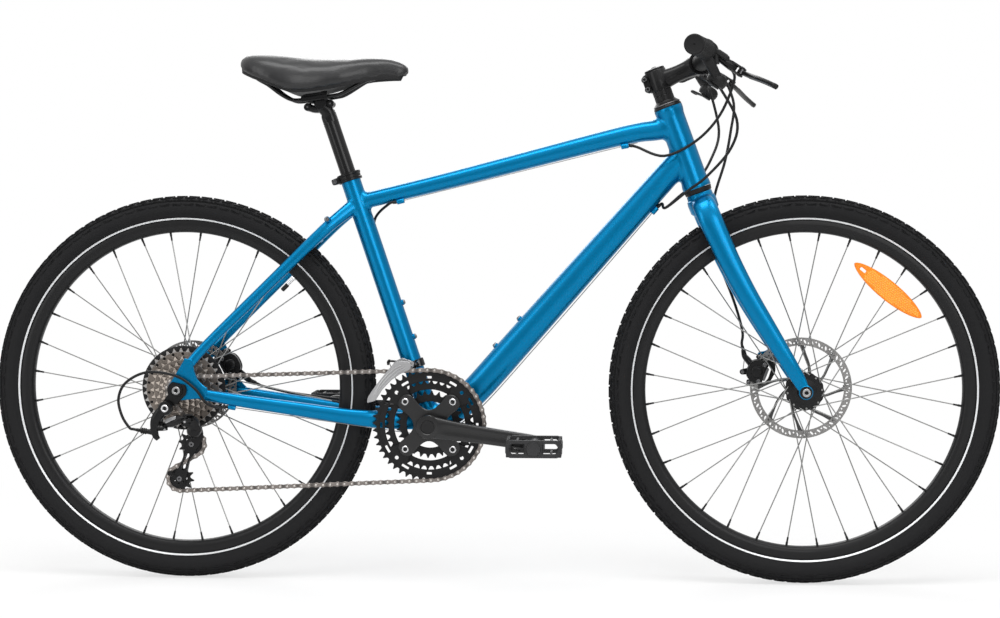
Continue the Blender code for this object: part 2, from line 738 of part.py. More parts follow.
def tyre(name, centre):
    half = TYRE_WIDTH / 2
    inner = RIM_OUTER_RADIUS - RIM_WELL_DEPTH + GAP
    seat = RIM_OUTER_RADIUS + GAP
    crown = TYRE_RADIUS
    bead = WELL_HALF_WIDTH - GAP
    side = [(inner, bead), (seat, bead + 0.5 * MM), (seat + 19 * MM, half), (crown - 7 * MM, half - 5 * MM),
            (crown, half - 18 * MM)]
    profile = side + [(r, -y) for r, y in reversed(side)]
    return node(name, RUBBER, [wheel_ring(profile, centre)])


FRONT_HUB = dict(right_end=-49 * MM, right_y=-31 * MM, right_radius=30 * MM, left_y=22 * MM, left_radius=26 * MM,
                 left_end=49 * MM, body=15 * MM)
REAR_HUB = dict(right_end=-25 * MM, right_y=-20 * MM, right_radius=27 * MM, left_y=33 * MM, left_radius=26 * MM,
                left_end=66 * MM, body=17 * MM)
FRONT_ROTOR_Y = 39 * MM
REAR_ROTOR_Y = 52 * MM


def wheel(name, centre, sizes):
    lacing = spokes(centre, sizes["right_y"], sizes["right_radius"], sizes["left_y"], sizes["left_radius"])
    return node(name, STEEL, [wheel_ring(rim(), centre), hub(centre, **sizes), *lacing])


def rotor(name, centre, radius, y, hub_body):
    """A brake disc: an outer band carried by arms that sweep forward from a ring round the hub."""
    band, root = radius - ROTOR_BAND, hub_body + 14 * MM
    windows = []
    step = 360 / ROTOR_ARMS
    arm, sweep = 9, 26
    for i in range(ROTOR_ARMS):
        start = i * step
        outer = arc((0, 0), band, start + arm / 2, start + step - arm / 2, 4)
        inner = arc((0, 0), root, start + step - arm * 1.3 - sweep, start + arm * 1.3 - sweep, 1)
        windows.append(outer + inner)
    bore = circle((0, 0), around(hub_body, HUB_STEPS), HUB_STEPS)
    return node(name, STEEL, [plate(circle((0, 0), radius, 30), ROTOR_THICKNESS, side_plane(y, centre),
                                    holes=[bore, *windows])])


def spoke_protector():
    """A thin dish between the large cog and the spokes, whose collar seats against the hub's flange."""
    inner, outer, y = around(REAR_HUB["body"], 20), 75 * MM, REAR_HUB["right_y"] - 5.6 * MM
    collar, seat = inner + 4 * MM, REAR_HUB["right_y"] - HUB_FLANGE_HALF - GAP
    profile = [(inner, y), (outer, y + 1.2 * MM), (outer, y + 2.4 * MM), (collar, y + 1.2 * MM), (collar, seat),
               (inner, seat)]
    return node("spoke_protector", BLACK_PLASTIC, [lathe(profile, REAR_AXLE, LEFT, steps=20)])


REFLECTOR_CENTRE = Vector((144 * MM, 0, 176 * MM))
REFLECTOR_LENGTH = 150 * MM
REFLECTOR_WIDTH = 34 * MM
REFLECTOR_THICKNESS = 7 * MM


def wheel_reflector():
    """The boat-shaped reflector clipped between the front wheel's spokes."""
    out = REFLECTOR_CENTRE.normalized()
    along = Vector((out.z, 0, -out.x))
    half, rise = REFLECTOR_LENGTH / 2, REFLECTOR_WIDTH / 2
    outline = []
    for sign in (1, -1):
        for i in range(7):
            share = math.cos(math.pi * i / 7) * sign
            bow = rise * math.sqrt(max(1 - share**2, 0)) ** 1.2
            outline.append((share * half, sign * bow))
    inner = REFLECTOR_CENTRE.length - rise
    share = 1 - (inner - FRONT_HUB["right_radius"]) / (RIM_INNER_RADIUS - FRONT_HUB["right_radius"])
    spoke_y = FRONT_HUB["right_y"] * (1 / 12 + share * 11 / 12) - SPOKE_OFFSET * share - SPOKE_RADIUS
    y = spoke_y - GAP - REFLECTOR_THICKNESS / 2
    place = axes_matrix(FRONT_AXLE + REFLECTOR_CENTRE + LEFT * y, along, out)
    hole = circle((-half * 0.78, 0), 3 * MM, 6)
    return node("wheel_reflector", AMBER, [plate(outline, REFLECTOR_THICKNESS, place, holes=[hole])])


# Drive

def pitch_radius(teeth):
    return teeth * CHAIN_PITCH / TURN


def toothed(teeth, first_angle, holes, place, meshing):
    """A sprocket plate. Its first valley lies at the given angle. One in mesh has a flat-bottomed valley."""
    radius = pitch_radius(teeth)
    root, tip = radius - CHAIN_HEIGHT / 2 - GAP, radius + 3.2 * MM
    shape = ((-0.28, root), (0.28, root), (0.5, tip)) if meshing else ((0, root), (0.5, tip))
    outline = []
    for i in range(teeth):
        for share, r in shape:
            angle = first_angle + TURN * (i + share) / teeth
            outline.append((r * math.cos(angle), r * math.sin(angle)))
    return plate(outline, TOOTH_THICKNESS, place, holes=holes)


CAGE_PIVOT = at(-517, 272)
GUIDE_ARM = (27 * MM, math.radians(-112))
TENSION_ARM = (92 * MM, math.radians(-113))


def pulley_centres(turn):
    """Both pulleys' centres with the cage turned about its pivot."""
    found = []
    for reach, angle in (GUIDE_ARM, TENSION_ARM):
        found.append(CAGE_PIVOT + Vector((math.cos(angle + turn), 0, math.sin(angle + turn))) * reach)
    return found


def chain_circles(turn):
    """Each wheel that the chain passes: centre, radius, sense of its turning in the side view, and side."""
    guide, tension = pulley_centres(turn)
    small = pitch_radius(PULLEY_TEETH)
    return [
        (BOTTOM_BRACKET, pitch_radius(RING_TEETH[0]), -1, OUTER_RING_Y),
        (tension, small, -1, SMALL_COG_Y),
        (guide, small, 1, SMALL_COG_Y),
        (REAR_AXLE, pitch_radius(COG_TEETH[0]), -1, SMALL_COG_Y),
    ]


def tangent_angle(one, other):
    """The heading of the run that leaves one wheel and reaches the next."""
    (a, radius_a, sense_a, _), (b, radius_b, sense_b, _) = one, other
    between = b - a
    away = math.hypot(between.x, between.z)
    return math.atan2(between.z, between.x) - math.asin((radius_b * sense_b - radius_a * sense_a) / away)


def chain_path(turn):
    """Stretches of the closed chain: (length, function from distance along it to a point and a heading)."""
    wheels = chain_circles(turn)
    count = len(wheels)
    heading = [tangent_angle(wheels[i], wheels[(i + 1) % count]) for i in range(count)]
    stretches, first_angles = [], []
    for i, (centre, radius, sense, y) in enumerate(wheels):
        arrive, leave = heading[i - 1], heading[i]
        swept = ((leave - arrive) * sense) % TURN
        first_angles.append(arrive - sense * TURN / 4)

        def round_wheel(s, c=centre, r=radius, k=sense, start=arrive, side=y):
            angle = start - k * TURN / 4 + k * s / r
            return c + Vector((math.cos(angle), 0, math.sin(angle))) * r + LEFT * side, start + k * s / r

        stretches.append((swept * radius, round_wheel))
        after, after_radius, after_sense, after_y = wheels[(i + 1) % count]
        normal = leave - TURN / 4
        start = centre + Vector((math.cos(normal), 0, math.sin(normal))) * radius * sense + LEFT * y
        end = after + Vector((math.cos(normal), 0, math.sin(normal))) * after_radius * after_sense + LEFT * after_y
        run = (end - start).length

        def straight(s, a=start, b=end, whole=run, way=leave):
            return a.lerp(b, s / whole), way

        stretches.append((run, straight))
    return stretches, first_angles


def chain_length(turn):
    return sum(length for length, _ in chain_path(turn)[0])


def cage_turn():
    """The cage's angle at which the chain closes on a whole number of links."""
    low, high = math.radians(-30), math.radians(75)
    wanted = CHAIN_PITCHES * CHAIN_PITCH
    for _ in range(40):
        middle = (low + high) / 2
        if chain_length(middle) > wanted:
            low = middle
        else:
            high = middle
    return (low + high) / 2


CAGE_TURN = cage_turn()
GUIDE_PULLEY, TENSION_PULLEY = pulley_centres(CAGE_TURN)


def chain_points(step):
    """Points and headings along the closed chain, one for each step."""
    stretches, _ = chain_path(CAGE_TURN)
    whole = sum(length for length, _ in stretches)
    count = round(whole / step)
    found = []
    for i in range(count):
        s = whole * i / count
        for length, place in stretches:
            if s <= length:
                found.append(place(s))
                break
            s -= length
    return found


def valley_angle(number):
    """The angle of a valley that holds a roller, on the wheel of that number along the chain."""
    stretches, first_angles = chain_path(CAGE_TURN)
    before = sum(length for length, _ in stretches[: 2 * number])
    _, radius, sense, _ = chain_circles(CAGE_TURN)[number]
    to_next = (-before) % CHAIN_PITCH
    return first_angles[number] + sense * to_next / radius


def chain():
    """The closed chain: a band of plates each side, joined by a roller at every fourth pin."""
    bm = bmesh.new()
    half, roller = CHAIN_HEIGHT / 2, ROLLER_RADIUS
    stations = []
    for number, (point, heading) in enumerate(chain_points(CHAIN_PITCH)):
        along = Vector((math.cos(heading), 0, math.sin(heading)))
        normal = Vector((-along.z, 0, along.x))
        bands = []
        for side in (1, -1):
            inner, outer = point + LEFT * side * CHAIN_INNER_HALF, point + LEFT * side * CHAIN_OUTER_HALF
            spots = {"outer_low": outer - normal * half, "outer_high": outer + normal * half,
                     "low": inner - normal * half, "high": inner + normal * half}
            if number % ROLLER_EVERY == 0:
                spots["front"] = inner + along * roller
                spots["back"] = inner - along * roller
            bands.append({key: bm.verts.new(p) for key, p in spots.items()})
        stations.append(bands)
    for i, here in enumerate(stations):
        there = stations[(i + 1) % len(stations)]
        for a, b in zip(here, there):
            bm.faces.new((a["outer_low"], b["outer_low"], b["outer_high"], a["outer_high"]))
            bm.faces.new((a["outer_high"], b["outer_high"], b["high"], a["high"]))
            bm.faces.new((a["outer_low"], a["low"], b["low"], b["outer_low"]))
            ahead, behind = a.get("front"), b.get("back")
            loop = [a["high"], b["high"], behind, b["low"], a["low"], ahead]
            bm.faces.new([v for v in loop if v])
        if "front" in here[0]:
            left, right = here
            rounds = ("front", "high", "back", "low")
            for one, other in zip(rounds, (*rounds[1:], rounds[0])):
                bm.faces.new((left[one], left[other], right[other], right[one]))
    return node("chain", CHAIN_STEEL, [from_bmesh(bm)])


RING_BORE = (47 * MM, 40 * MM, 30 * MM)
PLAIN_RING_STEPS = 20
INNER_BOLT_RADIUS = 46 * MM
RIVET_RADIUS = 4 * MM


def ring_windows(band):
    """The four windows between a ring's toothed band and its bolts."""
    windows = []
    for i in range(4):
        middle = 90 * i
        outer = arc((0, 0), band, middle - 31, middle + 31, 4)
        inner = arc((0, 0), SPIDER_BOLT_RADIUS - 3 * MM, middle + 24, middle - 24, 1)
        windows.append(outer + inner)
    return windows


def chainrings():
    """Three riveted rings, the large one in mesh with the chain. The two inner ones have plain edges."""
    pieces = []
    for i, teeth in enumerate(RING_TEETH):
        first = i == 0
        holes = [circle((0, 0), RING_BORE[i], 12)]
        if first:
            holes += ring_windows(pitch_radius(teeth) - 13 * MM)
        place = side_plane(OUTER_RING_Y + i * RING_SPACING, BOTTOM_BRACKET)
        if first:
            pieces.append(toothed(teeth, valley_angle(0), holes, place, meshing=True))
        else:
            edge = circle((0, 0), pitch_radius(teeth), PLAIN_RING_STEPS)
            pieces.append(plate(edge, TOOTH_THICKNESS, place, holes=holes))
    for i in range(4):
        angle = math.radians(45 + 90 * i)
        out = Vector((math.cos(angle), 0, math.sin(angle)))
        for number, reach in enumerate((SPIDER_BOLT_RADIUS, INNER_BOLT_RADIUS)):
            foot = BOTTOM_BRACKET + out * reach + LEFT * (OUTER_RING_Y + number * RING_SPACING)
            pieces.append(rod(foot, foot + LEFT * RING_SPACING, RIVET_RADIUS, sides=4))
    return node("chainrings", BLACK_PAINT, pieces, flat=True)


ARM_DIRECTION = Vector((math.cos(CRANK_DROP), 0, -math.sin(CRANK_DROP)))


def pedal_axis(side):
    """The point on a pedal's axle at the bicycle's middle plane. The right arm points forward, the left one back."""
    return BOTTOM_BRACKET + ARM_DIRECTION * CRANK_LENGTH * (1 if side < 0 else -1)


ARM_RUN = (
    # distance out from the spindle, outward lean of the arm's middle, half width in the side view, in mm
    (-17, 0, 10),
    (-6, 0, 19),
    (10, 1, 19),
    (45, 5, 16.5),
    (150, 10, 14),
    (190, 12, 13.5),
    (203, 12, 6),
)
ARM_MIDDLE = CRANK_INNER_Y + 4 * MM + CRANK_THICKNESS / 2
ARM_OFFSET = 12 * MM  # how much further out the arm stands at the pedal


def crank_arm(side):
    """A tapered arm that leans outwards from its boss to the pedal eye."""
    way = ARM_DIRECTION * (1 if side < 0 else -1)
    upward = LEFT.cross(way)
    loops = []
    stretch = CRANK_LENGTH / (190 * MM)
    for out, lean, wide in ARM_RUN:
        centre = BOTTOM_BRACKET + way * out * MM * stretch + LEFT * side * (ARM_MIDDLE + lean * MM)
        loops.append(oval(centre, LEFT, upward, CRANK_THICKNESS / 2, wide * MM, sides=8, power=3.2))
    return loft(loops)


def crank(side):
    """An arm bored for the spindle and the pedal. The right one carries the spider."""
    boss_in = 40 * MM if side > 0 else 57 * MM
    outward = LEFT * side
    add = [crank_arm(side),
           rod(BOTTOM_BRACKET + outward * boss_in, BOTTOM_BRACKET + outward * (ARM_MIDDLE + 9 * MM), 19 * MM, sides=14)]
    cut = [rod(BOTTOM_BRACKET + outward * (boss_in - 5 * MM), BOTTOM_BRACKET + outward * ARM_MIDDLE,
               around(SPINDLE_RADIUS, 8), sides=8),
           rod(pedal_axis(side) + outward * CRANK_INNER_Y, pedal_axis(side) + outward * (CRANK_INNER_Y + 60 * MM),
               around(PEDAL_AXLE_RADIUS, 8), sides=8)]
    if side < 0:
        add.append(spider())
    return node("crank_right" if side < 0 else "crank_left", BLACK_PAINT, add, cut, flat=True)


def spider():
    """Four curved arms from the boss out to the chainring bolts, outside the large ring."""
    outline = []
    for i in range(4):
        middle = 45 + 90 * i
        for turn, r in ((-45, 27), (-27, 30), (-12, 44), (-9, 56), (-6, 64), (6, 64), (9, 56), (12, 44), (27, 30)):
            angle = math.radians(middle + turn)
            outline.append((r * MM * math.cos(angle), r * MM * math.sin(angle)))
    y = OUTER_RING_Y - TOOTH_THICKNESS / 2 - GAP - 2.5 * MM
    return plate(outline, 5 * MM, side_plane(y, BOTTOM_BRACKET))


def spindle():
    half = LEFT * (ARM_MIDDLE - GAP)
    return node("crank_spindle", STEEL, [rod(BOTTOM_BRACKET - half, BOTTOM_BRACKET + half, SPINDLE_RADIUS, sides=8)])


def pedal(side):
    """A moulded platform with two windows and open sides round its barrel, on an axle."""
    outward = LEFT * side
    inner = ARM_MIDDLE + ARM_OFFSET + CRANK_THICKNESS / 2 + 6 * MM
    middle = pedal_axis(side) + outward * (inner + PEDAL_WIDTH / 2)
    half_x, half_y = PEDAL_LENGTH / 2, PEDAL_WIDTH / 2
    chamfer, wall, core = 13 * MM, 8 * MM, 14 * MM
    outline = [(half_x, half_y - chamfer), (half_x - chamfer, half_y), (-half_x + chamfer, half_y),
               (-half_x, half_y - chamfer), (-half_x, -half_y + chamfer), (-half_x + chamfer, -half_y),
               (half_x - chamfer, -half_y), (half_x, -half_y + chamfer)]
    windows, openings = [], []
    for s in (1, -1):
        near, far, edge = s * core, s * (half_x - wall), half_y - wall
        windows.append([(near, -edge), (far, -edge), (far, edge), (near, edge)])
        low, high = -PEDAL_HEIGHT * 0.15, PEDAL_HEIGHT * 0.25
        side_window = [(near, low), (far, low), (far, high), (near, high)]
        openings.append(plate(side_window, PEDAL_WIDTH * 1.2, side_plane(0, middle)))
    body = plate(outline, PEDAL_HEIGHT, axes_matrix(middle, Vector((1, 0, 0)), LEFT), holes=windows)
    shaft = rod(pedal_axis(side) + outward * (CRANK_INNER_Y + 14 * MM), middle, PEDAL_AXLE_RADIUS, sides=8)
    reach = outward * (half_y + 3 * MM)
    barrel = rod(middle - reach, middle + reach, 12.5 * MM, sides=10)
    name = "pedal_right" if side < 0 else "pedal_left"
    return node(name, BLACK_PLASTIC, [body, barrel, shaft], openings, flat=True)


TOOTHED_COGS = (11, 34)


def cassette():
    """Seven cogs on the freehub, the smallest outside and in mesh with the chain. The middle ones have plain edges."""
    pieces = []
    for i, teeth in enumerate(COG_TEETH):
        y = SMALL_COG_Y + i * COG_SPACING
        place = side_plane(y, REAR_AXLE)
        if teeth in TOOTHED_COGS:
            pieces.append(toothed(teeth, valley_angle(3), [], place, meshing=i == 0))
        else:
            pieces.append(plate(circle((0, 0), pitch_radius(teeth), 16), TOOTH_THICKNESS, place))
    last = SMALL_COG_Y + (len(COG_TEETH) - 1) * COG_SPACING
    body = rod(REAR_AXLE + LEFT * (SMALL_COG_Y - 4 * MM), REAR_AXLE + LEFT * (last + 3 * MM), 15 * MM, sides=6)
    bore = rod(REAR_AXLE + LEFT * (SMALL_COG_Y - 9 * MM), REAR_AXLE + LEFT * (last + 9 * MM),
               around(AXLE_RADIUS, 6), sides=6)
    return node("cassette", STEEL, [body, *pieces], [bore], flat=True)


# Rear derailleur

SLANT = math.radians(45)
SWING_AXIS = Vector((0, math.sin(SLANT), math.cos(SLANT)))
LINK_FOOT = at(-568, 279, -84)
LINK_SPAN = 45 * MM
LINK_REST = math.radians(-30)
KNUCKLE_RADIUS = 12 * MM


def link_vector():
    """From the link's fixed pins to its moving pins, with the chain on the smallest cog."""
    inward = Vector((0, math.cos(SLANT), -math.sin(SLANT)))
    return (Vector((1, 0, 0)) * math.cos(LINK_REST) + inward * math.sin(LINK_REST)) * LINK_SPAN


LINK_HEAD = LINK_FOOT + link_vector()
PIN_RADIUS = 2.5 * MM
PIN_REACH = 9 * MM
LINK_THICKNESS = 5 * MM


def link_ears(point, reach):
    """A pair of flat ears on a link's pin, and the cutter of the pin's hole."""
    ears = []
    for sign in (1, -1):
        root = point + SWING_AXIS * sign * (LINK_THICKNESS / 2 + GAP + 2 * MM)
        ears.append(slab(root - reach.normalized() * 3 * MM, root + reach, 9 * MM, 4 * MM, SWING_AXIS))
    hole = rod(point - SWING_AXIS * 12 * MM, point + SWING_AXIS * 12 * MM, around(PIN_RADIUS, 6), sides=6)
    return ears, hole


def derailleur_mount():
    """The upper knuckle: a pivot on the hanger, an arm down to the link's ears and the barrel adjuster's boss."""
    pivot = HANGER_BOLT - LEFT * (HANGER_OUTER_Y + GAP)
    collar = rod(pivot, pivot - LEFT * 14 * MM, 12 * MM, sides=12)
    line = [pivot + step(x, z, -7) for x, z in ((-4, -4), (-17, -24), (-19, -46), (-14, -54))]
    sizes = [(5.5 * MM, 9 * MM), (5.5 * MM, 8.5 * MM), (5.5 * MM, 7 * MM), (5 * MM, 4 * MM)]
    arm = tube(line, sizes, sides=8, power=3)
    barrel = rod(line[2] + step(0, 2), BARREL, 5 * MM, sides=6, end_radius=4 * MM)
    ears, hole = link_ears(LINK_FOOT, Vector((-17, 0, 0)) * MM)
    return node("rear_derailleur_mount", BLACK_PAINT, [collar, arm, barrel, *ears], [hole], flat=True)


BARREL = at(-612, 272, -86)


def derailleur_link():
    """The parallelogram's bowed cover link with a pin through each end."""
    along = (LINK_HEAD - LINK_FOOT).normalized()
    outward = along.cross(SWING_AXIS)
    middle = (LINK_FOOT + LINK_HEAD) / 2 + outward * 2.5 * MM
    points = [LINK_FOOT - along * 4 * MM, LINK_FOOT + along * 8 * MM, middle, LINK_HEAD - along * 8 * MM,
              LINK_HEAD + along * 4 * MM]
    half = LINK_THICKNESS / 2
    sizes = [(half, 4 * MM), (half, 5 * MM), (half + 5 * MM, 8 * MM), (half, 5 * MM), (half, 4 * MM)]
    body = tube(points, sizes, sides=8, power=3, across=SWING_AXIS)
    reach = SWING_AXIS * PIN_REACH
    pins = [rod(p - reach, p + reach, PIN_RADIUS, sides=6) for p in (LINK_FOOT, LINK_HEAD)]
    return node("derailleur_link", BLACK_PAINT, [body, *pins])


KNUCKLE_INNER_Y = -78 * MM
KNUCKLE_OUTER_Y = -96 * MM
STUB_RADIUS = 4 * MM


def derailleur_knuckle():
    """The lower knuckle: ears on the link's pins and the round housing of the cage pivot."""
    inner, outer = CAGE_PIVOT + LEFT * KNUCKLE_INNER_Y, CAGE_PIVOT + LEFT * KNUCKLE_OUTER_Y
    drum = rod(inner, outer, KNUCKLE_RADIUS, sides=14)
    neck = tube([LINK_HEAD + step(14, 0), (inner + outer) / 2], [(7 * MM, 5 * MM), (7 * MM, 8 * MM)], sides=8,
                power=3)
    ears, hole = link_ears(LINK_HEAD, Vector((13, 0, 0)) * MM)
    bore = rod(inner + LEFT * 5 * MM, outer + LEFT * 4 * MM, around(STUB_RADIUS, 8), sides=8)
    return node("derailleur_knuckle", BLACK_PAINT, [drum, neck, *ears], [hole, bore], flat=True)


PULLEY_BOLT = 3 * MM
CAGE_PLATE = 2 * MM
CAGE_HALF = 7 * MM


def derailleur_cage():
    """Two plates joined by the pulley bolts, hung on a stub in the lower knuckle."""
    down = TENSION_PULLEY - GUIDE_PULLEY
    base = math.degrees(math.atan2(down.z, down.x))
    top, low = (GUIDE_PULLEY.x, GUIDE_PULLEY.z), (TENSION_PULLEY.x, TENSION_PULLEY.z)
    pieces = []
    for sign, width in ((1, 9 * MM), (-1, 11 * MM)):
        outline = [*arc(low, width + 2 * MM, base - 90, base + 90, 5), *arc(top, width, base + 90, base + 270, 5)]
        pieces.append(plate(outline, CAGE_PLATE, side_plane(SMALL_COG_Y + sign * CAGE_HALF)))
    outer_y = SMALL_COG_Y - CAGE_HALF
    pieces.append(slab(GUIDE_PULLEY + LEFT * outer_y, CAGE_PIVOT + LEFT * outer_y, 20 * MM, CAGE_PLATE, LEFT))
    pieces.append(rod(CAGE_PIVOT + LEFT * (outer_y + CAGE_PLATE / 2), CAGE_PIVOT + LEFT * (KNUCKLE_INNER_Y + GAP),
                      11 * MM, sides=12))
    pieces.append(rod(CAGE_PIVOT + LEFT * outer_y, CAGE_PIVOT + LEFT * (KNUCKLE_OUTER_Y + 6 * MM), STUB_RADIUS, sides=8))
    for centre in (GUIDE_PULLEY, TENSION_PULLEY):
        pieces.append(rod(centre + LEFT * (SMALL_COG_Y + CAGE_HALF), centre + LEFT * (outer_y - 2 * MM), PULLEY_BOLT,
                          sides=6))
    return node("derailleur_cage", BLACK_PAINT, pieces, flat=True)


def pulley(name, centre, number):
    bore = circle((0, 0), around(PULLEY_BOLT, 6), 6)
    return node(name, BLACK_PLASTIC,
                [toothed(PULLEY_TEETH, valley_angle(number), [bore], side_plane(SMALL_COG_Y, centre), True)])


# Front derailleur

FRONT_CLAMP_HEIGHT = 108 * MM
SWING_PIVOT = on_seat_tube(FRONT_CLAMP_HEIGHT, back=-2 * MM, y=-40 * MM)
SWING_ALONG = Vector((math.sin(SEAT_ANGLE), 0, math.cos(SEAT_ANGLE)))


def front_clamp():
    """The band round the seat tube, with the pivot bar held in two ears at its right."""
    inner, outer, height = around(SEAT_TUBE_RADIUS, 14), SEAT_TUBE_RADIUS + 3.5 * MM, 14 * MM
    centre = on_seat_tube(FRONT_CLAMP_HEIGHT)
    band = rod(centre - SEAT_UP * height / 2, centre + SEAT_UP * height / 2, outer, sides=14)
    bar = rod(SWING_PIVOT - SWING_ALONG * 15 * MM, SWING_PIVOT + SWING_ALONG * 15 * MM, 3 * MM, sides=6)
    ears = []
    for sign in (1, -1):
        end = SWING_PIVOT + SWING_ALONG * sign * 12 * MM
        ears.append(slab(end + LEFT * 25 * MM, end - LEFT * 4 * MM, 10 * MM, 4.5 * MM, SWING_ALONG))
    boolean(band, [bar, *ears], "UNION")
    tube_room = rod(centre - SEAT_UP * 30 * MM, centre + SEAT_UP * 30 * MM, inner, sides=14)
    return node("front_derailleur_clamp", BLACK_PAINT, [band], [tube_room], flat=True)


CAGE_CLEARANCE = 8 * MM
FRONT_WIRE_ARM = at(-181, 391, -20)


def front_cage():
    """The swinging sleeve on the bar and the two plates that guide the chain over the rings."""
    reach = pitch_radius(RING_TEETH[0]) + CAGE_CLEARANCE
    outer_line = [*arc((0, 0), reach, 78, 152, 7), *arc((0, 0), reach + 13 * MM, 152, 140, 1),
                  *arc((0, 0), reach + 24 * MM, 112, 82, 3)]
    inner_line = [*arc((0, 0), reach, 82, 142, 5), *arc((0, 0), reach + 17 * MM, 138, 84, 4)]
    outer_y, inner_y = OUTER_RING_Y - 6.5 * MM, OUTER_RING_Y + 6 * MM
    pieces = [plate(outer_line, 1.6 * MM, side_plane(outer_y, BOTTOM_BRACKET)),
              plate(inner_line, 1.6 * MM, side_plane(inner_y, BOTTOM_BRACKET))]
    for angle, lift in ((103, 14 * MM), (139, 4 * MM)):
        turn = math.radians(angle)
        out = Vector((math.cos(turn), 0, math.sin(turn)))
        spot = BOTTOM_BRACKET + out * (reach + lift)
        pieces.append(slab(spot + LEFT * inner_y, spot + LEFT * outer_y, 12 * MM, 2 * MM, out))
    pieces.append(rod(SWING_PIVOT - SWING_ALONG * 8.5 * MM, SWING_PIVOT + SWING_ALONG * 8.5 * MM, 6 * MM, sides=8))
    turn = math.radians(107)
    foot = BOTTOM_BRACKET + Vector((math.cos(turn), 0, math.sin(turn))) * (reach + 12 * MM)
    pieces.append(slab(SWING_PIVOT - LEFT * 2 * MM, foot + LEFT * (inner_y - 0.5 * MM), 13 * MM, 4 * MM,
                       LEFT.cross(SWING_ALONG)))
    lift = SWING_ALONG.cross(LEFT)
    hook = [SWING_PIVOT + lift * 4 * MM, SWING_PIVOT + lift * 11 * MM - SWING_ALONG * 13 * MM, FRONT_WIRE_ARM]
    pieces.append(tube(hook, [(3 * MM, 2 * MM)] * 3, sides=4))
    bore = rod(SWING_PIVOT - SWING_ALONG * 20 * MM, SWING_PIVOT + SWING_ALONG * 20 * MM, around(3 * MM, 6), sides=6)
    return node("front_derailleur_cage", SILVER, pieces, [bore], flat=True)


# Fork and cockpit

LEG_RUN = (
    # height along the steering axis, distance ahead of it, side, half thickness, half width, in mm
    (372, -1, 10, 12.5, 19),
    (364, 0, 32, 13, 20),
    (340, 1, 44, 12.5, 20.5),
    (250, 8.5, 48.5, 12, 18.8),
    (190, 17, 50, 11, 17.6),
    (124, 29.7, 51, 9.5, 16.4),
    (60, 43, 53, 7, 14),
    (22, 50.5, 53.8, 3.4, 11.8),
)
FORK_END_Y = FRONT_SPACING / 2 + GAP + DROPOUT_THICKNESS / 2
FORK_EYE_RADIUS = 12.3 * MM
FRONT_TAB_Y = 54.3 * MM
FORK_TAB = ((60, 42), (56, 24), (60, 9), (74, -8), (96, -3), (128, 20), (120, 33))


def fork():
    """Steerer, crown and two raked legs that end in round dropouts, with the caliper tab on the left one."""
    crown = lathe([(0, 352 * MM), (21 * MM, 352 * MM), (25 * MM, 360 * MM), (25 * MM, 378 * MM),
                   (20 * MM, FORK_LENGTH - GAP), (0, FORK_LENGTH - GAP)], STEER_FOOT, STEER_UP, steps=12)
    steerer = rod(on_steering(360 * MM), on_steering(STEM_TOP - 3 * MM), STEERER_RADIUS, sides=12)
    add = [crown, steerer]
    cut = [rod(on_steering(HEAD_TOP), on_steering(STEM_TOP + 5 * MM), STEERER_RADIUS - 2.5 * MM, sides=8)]
    half = LEFT * DROPOUT_THICKNESS / 2
    for side in (1, -1):
        points = [on_steering(h * MM, f * MM, side * y * MM) for h, f, y, *_ in LEG_RUN]
        add.append(tube(points, [(w * MM, d * MM) for *_, w, d in LEG_RUN], sides=8, power=2.4))
        eye = FRONT_AXLE + LEFT * side * FORK_END_Y
        add.append(rod(eye - half, eye + half, FORK_EYE_RADIUS, sides=12))
        root = on_steering(30 * MM, 49 * MM, side * FORK_END_Y)
        add.append(slab(root, eye, 22 * MM, DROPOUT_THICKNESS - 1 * MM, LEFT))
        cut.append(rod(eye - half * 2, eye + half * 2, around(AXLE_RADIUS, 8), sides=8))
    inward = axes_matrix(STEER_FOOT + LEFT * FRONT_TAB_Y, STEER_UP, STEER_FORWARD)
    add.append(plate([(h * MM, f * MM) for h, f in FORK_TAB], TAB_THICKNESS, inward))
    return node("fork", BLUE, add, cut, solver="MANIFOLD")


def headset_spacers():
    """The conical dust cover and the straight spacers above it, round the steerer."""
    bore = around(STEERER_RADIUS, 14)
    cover = HEAD_TOP + LOWER_STACK - GAP
    profile = [(bore, cover), (HEAD_TUBE_RADIUS + 0.5 * MM, cover), (HEAD_TUBE_RADIUS, cover + 1.5 * MM),
               (SPACER_RADIUS + 0.5 * MM, COVER_TOP), (SPACER_RADIUS, STEM_BOTTOM - GAP), (bore, STEM_BOTTOM - GAP)]
    return node("headset_spacers", BLACK_PAINT, [lathe(profile, STEER_FOOT, STEER_UP, steps=14)])


STEM_CLAMP_RADIUS = 19 * MM
BAR_CLAMP_WIDTH = 42 * MM
BAR_CLAMP_OUTER = 21.5 * MM


def bar_clamp_half(front):
    """Half of the barrel that holds the bar: a full ring with the other half cut away, and its cutters."""
    half = LEFT * BAR_CLAMP_WIDTH / 2
    barrel = rod(BAR_CENTRE - half, BAR_CENTRE + half, BAR_CLAMP_OUTER, sides=14)
    bar_hole = rod(BAR_CENTRE - half * 2, BAR_CENTRE + half * 2, around(BAR_CLAMP_RADIUS, 14), sides=14)
    gap = 0.6 * MM
    first, last = (-40 * MM, gap) if front else (-gap, 40 * MM)
    place = side_plane(0, BAR_CENTRE) @ Matrix.Rotation(STEM_RISE, 4, "Z")
    other = plate([(first, -40 * MM), (last, -40 * MM), (last, 40 * MM), (first, 40 * MM)], 60 * MM, place)
    return barrel, bar_hole, other


